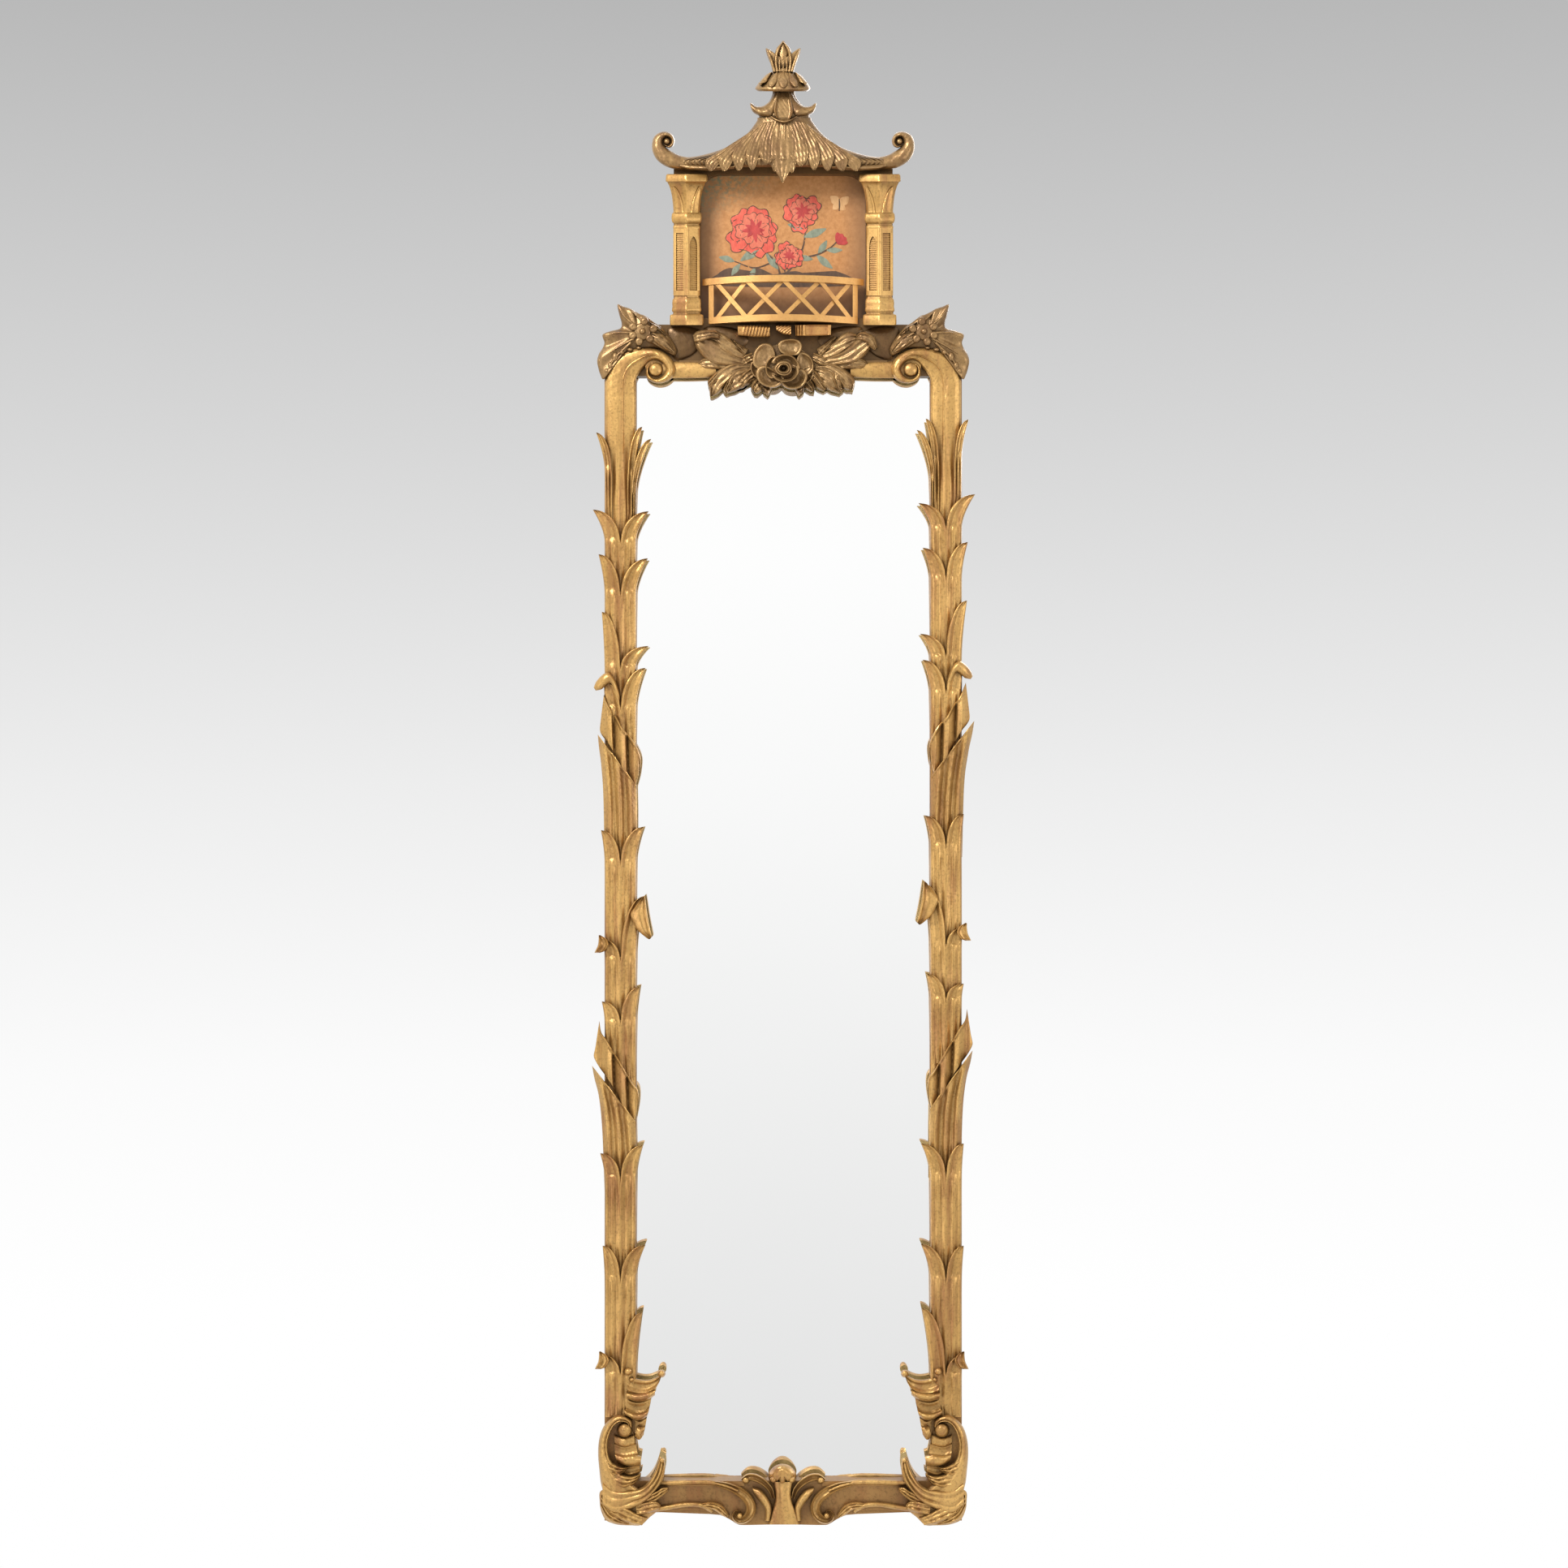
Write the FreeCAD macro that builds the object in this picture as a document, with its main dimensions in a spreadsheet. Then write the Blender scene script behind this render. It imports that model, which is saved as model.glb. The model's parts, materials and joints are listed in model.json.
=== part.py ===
import FreeCAD, Part
import math
import os

import Sketcher

# A carved giltwood pier mirror with a pagoda crest, hung on a wall.
# Millimetres. +X is the viewer's right, +Z is up and the front faces -Y.
# The origin is the middle of the bottom rail's back face, which lies on the wall plane y = 0.

Vector = FreeCAD.Vector

SIZES = {
    # Carcass
    "sight_width": 317.0,
    "sight_height": 1190.5,
    "stile_width": 34.0,
    "carcass_depth": 24.0,
    "stile_top_rise": 28.0,
    "stile_foot_drop": 10.0,
    "bottom_rail_height": 33.0,
    "top_rail_height": 55.5,
    "hanging_gap": 7.0,
    "tenon_length": 16.0,
    "tenon_thickness": 5.0,
    "tenon_height": 18.0,
    "joint_clearance": 0.1,
    # Sunk field and bead of the bottom rail
    "rail_field_start": 42.0,
    "rail_field_end": 118.0,
    "rail_field_height": 19.0,
    "rail_field_sink": 3.0,
    "rail_bead_height": 5.0,
    "rail_bead_depth": 4.0,
    "top_bead_height": 16.0,
    "top_bead_depth": 6.0,
    "top_bead_start": 86.0,
    "top_bead_end": 112.0,
    # Glazing
    "glass_thickness": 4.0,
    "glass_cover": 6.0,
    "backboard_thickness": 4.0,
    "backboard_cover": 13.0,
    "glazing_clearance": 0.3,
    "screw_shank": 2.4,
    "screw_head": 5.2,
    "screw_head_rise": 1.6,
    "screw_length": 10.0,
    "screw_clearance": 0.05,
    # Crest board, window and panel
    "board_width": 236.0,
    "board_eave_rise": 6.0,
    "tongue_width": 17.0,
    "tongue_rise": 66.0,
    "window_width": 178.0,
    "window_sill": 7.0,
    "window_corner": 22.0,
    "panel_cover": 5.0,
    "panel_thickness": 4.0,
    "panel_backing_thickness": 3.0,
    "batten_width": 24.0,
    "batten_thickness": 6.0,
    "batten_drop": 28.0,
    # Columns
    "column_spacing": 209.0,
    "column_width": 28.5,
    "column_depth": 18.0,
    "plinth_width": 36.0,
    "plinth_height": 11.5,
    "base_height": 15.0,
    "shaft_height": 78.5,
    "collar_height": 15.5,
    "capital_height": 42.0,
    "capital_width": 45.0,
    "column_recess": 1.6,
    # Balcony
    "railing_bow": 22.0,
    "railing_gap": 1.0,
    "railing_height": 49.0,
    "railing_top_height": 7.0,
    "railing_top_depth": 7.0,
    "railing_foot_height": 7.0,
    "railing_foot_depth": 6.0,
    "railing_inset": 9.0,
    "lattice_width": 4.4,
    "lattice_depth": 2.4,
    "post_width": 5.4,
    "ledge_height": 5.0,
    "stone_height": 12.0,
    "stone_depth": 20.0,
    "stone_gap": 0.6,
    # Roof and finial
    "roof_span": 246.0,
    "roof_rise": 58.0,
    "roof_depth": 34.0,
    "roof_top_width": 58.0,
    "roof_top_depth": 19.0,
    "eave_drop": 4.0,
    "eave_leaf_drop": 9.0,
    "scroll_spacing": 224.0,
    "scroll_reach": 30.0,
    "scroll_rise": 46.0,
    "scroll_relief": 17.0,
    "tier_height": 29.0,
    "tier_width": 67.0,
    "tier_depth": 24.0,
    "dome_height": 24.0,
    "dome_width": 59.0,
    "dome_depth": 27.0,
    "crown_height": 33.0,
    "crown_width": 29.0,
    "crown_depth": 20.0,
    # Relief of the carving, forward of the boards
    "stem_relief": 9.0,
    "sheath_relief": 13.0,
    "ribbon_relief": 15.0,
    "tip_thickness": 6.0,
    "leaf_undercut": 1.5,
    "corner_scroll_relief": 14.0,
    "corner_leaf_relief": 13.0,
    "corner_ground": 4.0,
    "flower_relief": 19.0,
    "rose_relief": 30.0,
    "spray_relief": 13.0,
    "foot_scroll_relief": 17.0,
    "foot_leaf_relief": 15.0,
    "shell_relief": 20.0,
    "cartouche_relief": 20.0,
    "cartouche_scroll_relief": 11.0,
    "carving_clearance": 0.4,
    # Hanging hardware
    "hanger_spacing": 270.0,
    "strap_width": 12.0,
    "strap_thickness": 1.2,
    "strap_length": 31.0,
    "ring_wire": 2.6,
    "ring_width": 24.0,
    "ring_length": 19.0,
    "ring_clearance": 0.08,
    "hanger_rise": 45.0,
    # Cuts run this far past the faces they open
    "overrun": 5.0,
}

doc = FreeCAD.newDocument("PierMirror")
sheet = doc.addObject("Spreadsheet::Sheet", "Sizes")
for row, (alias, value) in enumerate(SIZES.items(), 1):
    sheet.set(f"A{row}", alias)
    sheet.set(f"B{row}", str(value))
    sheet.setAlias(f"B{row}", alias)
doc.recompute()


class Size:
    """Reads a driving dimension from the sheet by its name."""

    def __getattr__(self, alias):
        return float(sheet.get(alias))


size = Size()

# Heights that several pieces share, as expressions on the sheet
SILL = "Sizes.bottom_rail_height / 2"
SIGHT_TOP = f"{SILL} + Sizes.sight_height"
RAIL_TOP = f"{SIGHT_TOP} + Sizes.top_rail_height"
COLUMN_HEIGHT = ("Sizes.plinth_height + Sizes.base_height + Sizes.shaft_height"
                 " + Sizes.collar_height + Sizes.capital_height")
EAVES = f"{RAIL_TOP} + {COLUMN_HEIGHT}"
ROOF_TOP = f"{EAVES} + Sizes.roof_rise"
BOARD_BACK = "Sizes.hanging_gap"
BOARD_FRONT = "Sizes.hanging_gap + Sizes.backboard_thickness"
GLASS_SEAT = f"{BOARD_FRONT} + Sizes.glass_thickness + Sizes.glazing_clearance"
HALF_SIGHT = "Sizes.sight_width / 2"
HALF_FRAME = f"{HALF_SIGHT} + Sizes.stile_width"


def measure(expression):
    """The value in millimetres of an expression on the sheet."""
    return float(sheet.evalExpression(expression))


sill = measure(SILL)
sight_top = measure(SIGHT_TOP)
rail_top = measure(RAIL_TOP)
eaves = measure(EAVES)
roof_top = measure(ROOF_TOP)
half_sight = measure(HALF_SIGHT)
half_frame = measure(HALF_FRAME)
ground = size.carcass_depth

# Drawing of the front in pixels of the photograph: where each zone of the frame starts and ends
AXIS_PX = 965.0
HALF_SIGHT_PX = 181.2
HALF_FRAME_PX = 220.0
SILL_PX = 1824.4
SIGHT_TOP_PX = 463.5
RAIL_TOP_PX = 400.0
RAIL_FOOT_PX = 1862.0


def frame_x(u):
    """Drawing column to frame x: the opening and the stiles each keep their own scale."""
    reach = abs(u - AXIS_PX)
    side = math.copysign(1.0, u - AXIS_PX)
    if reach <= HALF_SIGHT_PX:
        return side * reach * half_sight / HALF_SIGHT_PX
    return side * (half_sight + (reach - HALF_SIGHT_PX) * size.stile_width / (HALF_FRAME_PX - HALF_SIGHT_PX))


def frame_z(v):
    """Drawing row to frame z: bottom rail, opening and top rail each keep their own scale."""
    if v > SILL_PX:
        return sill - (v - SILL_PX) * size.bottom_rail_height / (RAIL_FOOT_PX - SILL_PX)
    if v > SIGHT_TOP_PX:
        return sill + (SILL_PX - v) * size.sight_height / (SILL_PX - SIGHT_TOP_PX)
    return sight_top + (SIGHT_TOP_PX - v) * size.top_rail_height / (SIGHT_TOP_PX - RAIL_TOP_PX)


def spot(point, depth):
    """A drawn point at a distance forward of the wall plane."""
    return Vector(frame_x(point[0]), -depth, frame_z(point[1]))


# Front profiles of the carving: shares across the piece and shares of its crown
RIDGE_SHARES = ((0.0, 0.35), (0.5, 1.0), (1.0, 0.35))
ROUND_SHARES = ((0.0, 0.3), (0.18, 0.75), (0.5, 1.0), (0.82, 0.75), (1.0, 0.3))
VEIN_SHARES = ((0.0, 0.7), (0.28, 0.55), (0.5, 1.0), (0.72, 0.55), (1.0, 0.7))
BAND_SHARES = ((0.0, 0.5), (0.2, 0.85), (0.52, 1.0), (0.8, 0.55), (1.0, 0.45))


def section(left, right, crown, profile_shares, back=0):
    """Closed section standing on the boards between two points, with its carved front."""
    base_left = Vector(left.x, -ground - back, left.z)
    base_right = Vector(right.x, -ground - back, right.z)
    points = [base_left]
    for across_share, crown_share in profile_shares:
        point = base_left + (base_right - base_left) * across_share
        point.y = -ground - max(crown * crown_share, back + size.carving_clearance)
        points.append(point)
    points.append(base_right)
    points.append(points[0])
    return Part.makePolygon(points)


def relief(stations, crowns, profile_shares, back=0):
    """Carving lofted through drawn pairs of edge points, each with its own crown height."""
    sections = []
    for (left, right), crown in zip(stations, crowns):
        sections.append(section(spot(left, ground), spot(right, ground), crown, profile_shares, back))
    return Part.makeLoft(sections, True, True)


BUTTON_SHARES = ((1.0, 0.0), (0.95, 0.45), (0.7, 0.8), (0.3, 1.0))
BUTTON_SIDES = 8


def button(centre, radius_px, height, foot=0):
    """Carved bead: a low faceted dome on the boards, or on a foot above them."""
    rings = []
    for radius_share, height_share in BUTTON_SHARES:
        depth = ground + foot + (height - foot) * height_share
        points = []
        for step in range(BUTTON_SIDES):
            turn = 2 * math.pi * (step + 1 / 2) / BUTTON_SIDES
            reach = radius_px * radius_share
            points.append(spot((centre[0] + reach * math.cos(turn), centre[1] + reach * math.sin(turn)), depth))
        rings.append(Part.makePolygon(points + points[:1]))
    return Part.makeLoft(rings, True, True)


def block(outline, start, end):
    """Straight block over a drawn outline, between two distances forward of the wall plane."""
    points = [spot(point, start) for point in outline]
    return Part.Face(Part.makePolygon(points + points[:1])).extrude(Vector(0, start - end, 0))


def prism(outline):
    """Cutter through the whole depth of the carving over a drawn outline."""
    return block(outline, 0, ground + size.rose_relief * 2)


def scaled(crown, shares):
    return [crown * share for share in shares]


def join(shapes):
    """Carving cut from one piece of wood."""
    shapes = list(shapes)
    whole = shapes[0]
    if len(shapes) > 1:
        whole = whole.fuse(shapes[1:])
    return whole.removeSplitter()


def mirrored(shape):
    return shape.mirror(Vector(), Vector(1, 0, 0))


def box(x, depth, z):
    """Block between pairs of x, distances forward of the wall plane and z."""
    corner = Vector(min(x), -max(depth), min(z))
    return Part.makeBox(abs(x[1] - x[0]), abs(depth[1] - depth[0]), abs(z[1] - z[0]), corner)


subparts = []


def carve(label, shape):
    """Adds a carved or formed piece to the document."""
    piece = doc.addObject("Part::Feature", label)
    piece.Shape = shape
    piece.Placement = FreeCAD.Placement()
    subparts.append(piece)
    return piece


def keep(piece):
    subparts.append(piece)
    return piece


# Sketched boards


def board_body(label):
    body = doc.addObject("PartDesign::Body", label)
    body.Label = label
    return keep(body)


def front_sketch(body, name, corners, depth):
    """Closed outline on the front plane; each corner is a pair of expressions for x and z."""
    sketch = body.newObject("Sketcher::SketchObject", name)
    plane = [item for item in body.Origin.OriginFeatures if item.Role == "XZ_Plane"][0]
    sketch.AttachmentSupport = [(plane, "")]
    sketch.MapMode = "FlatFace"
    sketch.setExpression("AttachmentOffset.Base.z", depth)
    points = [Vector(measure(x), measure(z), 0) for x, z in corners]
    count = len(points)
    for index in range(count):
        sketch.addGeometry(Part.LineSegment(points[index], points[(index + 1) % count]), False)
    for index in range(count):
        sketch.addConstraint(Sketcher.Constraint("Coincident", index, 2, (index + 1) % count, 1))
    for index, (x, z) in enumerate(corners):
        for kind, expression, value in (("DistanceX", x, points[index].x), ("DistanceY", z, points[index].y)):
            number = sketch.addConstraint(Sketcher.Constraint(kind, -1, 1, index, 1, value))
            sketch.setExpression(f"Constraints[{number}]", expression)
    return sketch


def rectangle(left, right, bottom, top):
    return [(left, bottom), (right, bottom), (right, top), (left, top)]


def pad(body, name, corners, depth, thickness):
    feature = body.newObject("PartDesign::Pad", name)
    feature.Profile = front_sketch(body, name + "_outline", corners, depth)
    feature.setExpression("Length", thickness)
    doc.recompute()
    return feature


def pocket(body, name, corners, depth, thickness):
    """Cuts forward from a distance off the wall plane."""
    feature = body.newObject("PartDesign::Pocket", name)
    feature.Profile = front_sketch(body, name + "_outline", corners, depth)
    feature.Reversed = True
    feature.setExpression("Length", thickness)
    doc.recompute()
    return feature


def fillet(body, name, edges, radius):
    feature = body.newObject("PartDesign::Fillet", name)
    feature.Base = edges
    feature.setExpression("Radius", radius)
    doc.recompute()
    return feature


def upright_edges(feature, half_width, height):
    """Names of the front-to-back edges of a feature at a half width and a height."""
    names = []
    for number, edge in enumerate(feature.Shape.Edges, 1):
        middle = edge.CenterOfMass
        along = abs(edge.BoundBox.YLength - edge.Length) < Part.Precision.confusion()
        if along and math.isclose(abs(middle.x), half_width) and math.isclose(middle.z, height):
            names.append(f"Edge{number}")
    return names


# Stiles: boards with a double rebate for glass and backboard, and mortises for the rails
TENON_DEPTH = f"{GLASS_SEAT} + Sizes.joint_clearance"
REBATE_FOOT = f"{SILL} - Sizes.backboard_cover"
REBATE_HEAD = f"{SIGHT_TOP} + Sizes.backboard_cover"
GLASS_FOOT = f"{SILL} - Sizes.glass_cover"
GLASS_HEAD = f"{SIGHT_TOP} + Sizes.glass_cover"
STILE_FOOT = f"0 - {SILL} - Sizes.stile_foot_drop"
STILE_HEAD = f"{SIGHT_TOP} + Sizes.stile_top_rise"
TENON_PLACES = {"foot": f"0 - {SILL} + Sizes.joint_clearance", "head": f"{SIGHT_TOP} + Sizes.glass_cover"}


def side_rectangle(side, inner, outer, bottom, top):
    """Rectangle between two distances from the centre line, on one side of it."""
    if side > 0:
        return rectangle(inner, outer, bottom, top)
    return rectangle(f"0 - ({outer})", f"0 - ({inner})", bottom, top)


def stile(side, label):
    body = board_body(label)
    inner_over = f"{HALF_SIGHT} - Sizes.overrun"
    pad(body, label + "_board", side_rectangle(side, HALF_SIGHT, HALF_FRAME, STILE_FOOT, STILE_HEAD),
        "0", "Sizes.carcass_depth")
    pocket(body, label + "_board_rebate", side_rectangle(
        side, inner_over, f"{HALF_SIGHT} + Sizes.backboard_cover", REBATE_FOOT, REBATE_HEAD),
        "0", BOARD_FRONT)
    pocket(body, label + "_glass_rebate", side_rectangle(
        side, inner_over, f"{HALF_SIGHT} + Sizes.glass_cover", GLASS_FOOT, GLASS_HEAD),
        "0", GLASS_SEAT)
    for place, bottom in TENON_PLACES.items():
        pocket(body, f"{label}_{place}_mortise", side_rectangle(
            side, inner_over, f"{HALF_SIGHT} + Sizes.tenon_length + Sizes.joint_clearance",
            f"{bottom} - Sizes.joint_clearance", f"{bottom} + Sizes.tenon_height + Sizes.joint_clearance"),
            f"{TENON_DEPTH} - Sizes.joint_clearance", "Sizes.tenon_thickness + 2 * Sizes.joint_clearance")
    return body


left_stile = stile(-1, "left_stile")
right_stile = stile(1, "right_stile")

# Bottom rail: the rebate on its upper edge, a sunk field between a bead and the lower lip
bottom_rail = board_body("bottom_rail")
pad(bottom_rail, "bottom_rail_board", [
    (f"0 - ({HALF_SIGHT})", f"0 - {SILL}"),
    (f"0 - ({HALF_SIGHT}) / 2", f"0 - {SILL} - Sizes.rail_field_sink"),
    ("0", f"0 - {SILL} - 2 * Sizes.rail_bead_height"),
    (f"({HALF_SIGHT}) / 2", f"0 - {SILL} - Sizes.rail_field_sink"),
    (HALF_SIGHT, f"0 - {SILL}"), (HALF_SIGHT, SILL), (f"0 - ({HALF_SIGHT})", SILL)],
    "0", "Sizes.carcass_depth")
pad(bottom_rail, "bottom_rail_tenons", rectangle(
    f"0 - ({HALF_SIGHT} + Sizes.tenon_length)", f"{HALF_SIGHT} + Sizes.tenon_length",
    TENON_PLACES["foot"], f"{TENON_PLACES['foot']} + Sizes.tenon_height"), TENON_DEPTH, "Sizes.tenon_thickness")
pocket(bottom_rail, "bottom_rail_board_rebate", rectangle(
    f"0 - ({HALF_SIGHT})", HALF_SIGHT, REBATE_FOOT, f"{SILL} + Sizes.overrun"), "0", BOARD_FRONT)
pocket(bottom_rail, "bottom_rail_glass_rebate", rectangle(
    f"0 - ({HALF_SIGHT})", HALF_SIGHT, GLASS_FOOT, f"{SILL} + Sizes.overrun"), "0", GLASS_SEAT)
for side, name in ((-1, "left"), (1, "right")):
    pocket(bottom_rail, f"bottom_rail_{name}_field", side_rectangle(
        side, "Sizes.rail_field_start", "Sizes.rail_field_end",
        "0 - Sizes.rail_field_height / 2", "Sizes.rail_field_height / 2"),
        "Sizes.carcass_depth - Sizes.rail_field_sink", "Sizes.rail_field_sink + Sizes.overrun")
    pad(bottom_rail, f"bottom_rail_{name}_bead", side_rectangle(
        side, "Sizes.rail_field_start", "Sizes.rail_field_end", f"{SILL} - Sizes.rail_bead_height", SILL),
        "Sizes.carcass_depth", "Sizes.rail_bead_depth")

# Top rail: set forward of the wall plane, so that the hanger rings lie behind it
top_rail = board_body("top_rail")
pad(top_rail, "top_rail_board", rectangle(f"0 - ({HALF_SIGHT})", HALF_SIGHT, SIGHT_TOP, RAIL_TOP),
    BOARD_BACK, "Sizes.carcass_depth - Sizes.hanging_gap")
pad(top_rail, "top_rail_tenons", rectangle(
    f"0 - ({HALF_SIGHT} + Sizes.tenon_length)", f"{HALF_SIGHT} + Sizes.tenon_length",
    TENON_PLACES["head"], f"{TENON_PLACES['head']} + Sizes.tenon_height"), TENON_DEPTH, "Sizes.tenon_thickness")
pocket(top_rail, "top_rail_board_rebate", rectangle(
    f"0 - ({HALF_SIGHT})", HALF_SIGHT, f"{SIGHT_TOP} - Sizes.overrun", REBATE_HEAD), "0", BOARD_FRONT)
pocket(top_rail, "top_rail_glass_rebate", rectangle(
    f"0 - ({HALF_SIGHT})", HALF_SIGHT, f"{SIGHT_TOP} - Sizes.overrun", GLASS_HEAD), "0", GLASS_SEAT)
for side, name in ((-1, "left"), (1, "right")):
    pad(top_rail, f"top_rail_{name}_bead", side_rectangle(
        side, "Sizes.top_bead_start", "Sizes.top_bead_end", SIGHT_TOP, f"{SIGHT_TOP} + Sizes.top_bead_height"),
        "Sizes.carcass_depth", "Sizes.top_bead_depth")

# Glass and backboard lie in the two rebates
glass = board_body("mirror_glass")
GLASS_EDGE = f"{HALF_SIGHT} + Sizes.glass_cover - Sizes.glazing_clearance"
pad(glass, "glass_plate", rectangle(
    f"0 - ({GLASS_EDGE})", GLASS_EDGE, f"{GLASS_FOOT} + Sizes.glazing_clearance",
    f"{GLASS_HEAD} - Sizes.glazing_clearance"), f"{BOARD_FRONT} + Sizes.glazing_clearance", "Sizes.glass_thickness")

backboard = board_body("backboard")
BOARD_EDGE = f"{HALF_SIGHT} + Sizes.backboard_cover - Sizes.glazing_clearance"
pad(backboard, "backboard_sheet", rectangle(
    f"0 - ({BOARD_EDGE})", BOARD_EDGE, f"{REBATE_FOOT} + Sizes.glazing_clearance",
    f"{REBATE_HEAD} - Sizes.glazing_clearance"), BOARD_BACK, "Sizes.backboard_thickness")

# Crest board: stands on the top rail, with the arched window for the painted panel
crest_board = board_body("crest_board")
HALF_BOARD = "Sizes.board_width / 2"
HALF_TONGUE = "Sizes.tongue_width / 2"
BOARD_EAVES = f"{EAVES} + Sizes.board_eave_rise"
ROOF_SHOULDER = f"{EAVES} + Sizes.roof_rise / 2"
HALF_ROOF_TOP = "Sizes.roof_top_width / 2"
TONGUE_TOP = f"{ROOF_TOP} + Sizes.tongue_rise"
RAIL_DEPTH = "Sizes.carcass_depth - Sizes.hanging_gap"
pad(crest_board, "crest_outline", [
    (f"0 - {HALF_BOARD}", RAIL_TOP), (HALF_BOARD, RAIL_TOP), (HALF_BOARD, BOARD_EAVES),
    (HALF_ROOF_TOP, ROOF_SHOULDER), (HALF_TONGUE, ROOF_TOP), (HALF_TONGUE, TONGUE_TOP),
    (f"0 - {HALF_TONGUE}", TONGUE_TOP), (f"0 - {HALF_TONGUE}", ROOF_TOP),
    (f"0 - {HALF_ROOF_TOP}", ROOF_SHOULDER), (f"0 - {HALF_BOARD}", BOARD_EAVES)],
    BOARD_BACK, RAIL_DEPTH)
HALF_WINDOW = "Sizes.window_width / 2"
WINDOW_FOOT = f"{RAIL_TOP} + Sizes.window_sill"
window = pocket(crest_board, "crest_window", rectangle(
    f"0 - {HALF_WINDOW}", HALF_WINDOW, WINDOW_FOOT, EAVES), "0", "Sizes.carcass_depth + Sizes.overrun")
fillet(crest_board, "crest_window_arch",
       (window, upright_edges(window, measure(HALF_WINDOW), eaves)), "Sizes.window_corner")
HALF_PANEL = f"{HALF_WINDOW} + Sizes.panel_cover"
PANEL_FOOT = f"{WINDOW_FOOT} - Sizes.panel_cover"
PANEL_HEAD = f"{EAVES} + Sizes.panel_cover"
PANEL_STACK = "Sizes.panel_thickness + Sizes.panel_backing_thickness"
pocket(crest_board, "crest_panel_rebate", rectangle(
    f"0 - ({HALF_PANEL})", HALF_PANEL, PANEL_FOOT, PANEL_HEAD), "0", f"{BOARD_BACK} + {PANEL_STACK}")


def panel_sheet(label, depth, thickness):
    body = board_body(label)
    pad(body, label + "_sheet", rectangle(
        f"0 - ({HALF_PANEL} - Sizes.glazing_clearance)", f"{HALF_PANEL} - Sizes.glazing_clearance",
        f"{PANEL_FOOT} + Sizes.glazing_clearance", f"{PANEL_HEAD} - Sizes.glazing_clearance"), depth, thickness)
    return body


panel_sheet("painted_panel", f"{BOARD_BACK} + Sizes.panel_backing_thickness", "Sizes.panel_thickness")
panel_sheet("panel_backing", BOARD_BACK, "Sizes.panel_backing_thickness")

# Battens behind the crest tie its board to the top rail
BATTEN_FOOT = f"{RAIL_TOP} - Sizes.batten_drop"
BATTEN_HEAD = f"{EAVES} - Sizes.batten_drop"
for side, name in ((-1, "left"), (1, "right")):
    batten = board_body(f"{name}_crest_batten")
    pad(batten, f"{name}_batten_strip", side_rectangle(
        side, "(Sizes.column_spacing - Sizes.batten_width) / 2", "(Sizes.column_spacing + Sizes.batten_width) / 2",
        BATTEN_FOOT, BATTEN_HEAD), f"{BOARD_BACK} - Sizes.batten_thickness", "Sizes.batten_thickness")


HEAD_CROWN_SHARE = 0.55


def screw(x, depth, z):
    """Pan-head screw whose head sits at a distance forward of the wall plane and points to the front."""
    seat = Vector(x, -depth, z)
    shank = Part.makeCylinder(size.screw_shank / 2, size.screw_length, seat, Vector(0, -1, 0))
    radius = size.screw_head / 2
    head = Part.makeCone(radius, radius * HEAD_CROWN_SHARE, size.screw_head_rise, seat, Vector(0, 1, 0))
    return shank.fuse(head).removeSplitter()


def screw_hole(x, depth, z):
    radius = size.screw_shank / 2 + size.screw_clearance
    return Part.makeCylinder(radius, size.screw_length + size.screw_clearance, Vector(x, -depth, z), Vector(0, -1, 0))


def drill(label, host, places):
    """Cuts the screws' holes in a sketched board, which stays in the document as the base."""
    holes = doc.addObject("Part::Feature", label + "_holes")
    holes.Shape = Part.makeCompound([screw_hole(*place) for place in places])
    cut = doc.addObject("Part::Cut", label + "_drilled")
    cut.Base = host
    cut.Tool = holes
    host.Label = label + "_blank"
    cut.Label = label
    subparts[subparts.index(host)] = cut
    doc.recompute()
    return cut


def named(label):
    return [piece for piece in subparts if piece.Label == label][0]


# Screws of the backboard, in the ledge between the two rebates
LEDGE = "(Sizes.glass_cover + Sizes.backboard_cover) / 2"
ledge = measure(LEDGE)
board_back = size.hanging_gap
SIDE_SCREW_SHARES = (0.04, 0.27, 0.5, 0.73, 0.96)
END_SCREW_SHARES = (-0.5, 0.0, 0.5)
side_heights = [sill + share * size.sight_height for share in SIDE_SCREW_SHARES]
left_places = [(-half_sight - ledge, board_back, z) for z in side_heights]
right_places = [(half_sight + ledge, board_back, z) for z in side_heights]
foot_places = [(share * size.sight_width, board_back, sill - ledge) for share in END_SCREW_SHARES[1:2]]
head_places = [(share * size.sight_width, board_back, sight_top + ledge) for share in END_SCREW_SHARES[1:2]]
board_places = left_places + right_places + foot_places + head_places
carve("backboard_screws", Part.makeCompound([screw(*place) for place in board_places]))
drill("backboard", backboard, board_places)
drill("left_stile", left_stile, left_places)
drill("right_stile", right_stile, right_places)
drill("bottom_rail", bottom_rail, foot_places)

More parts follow.
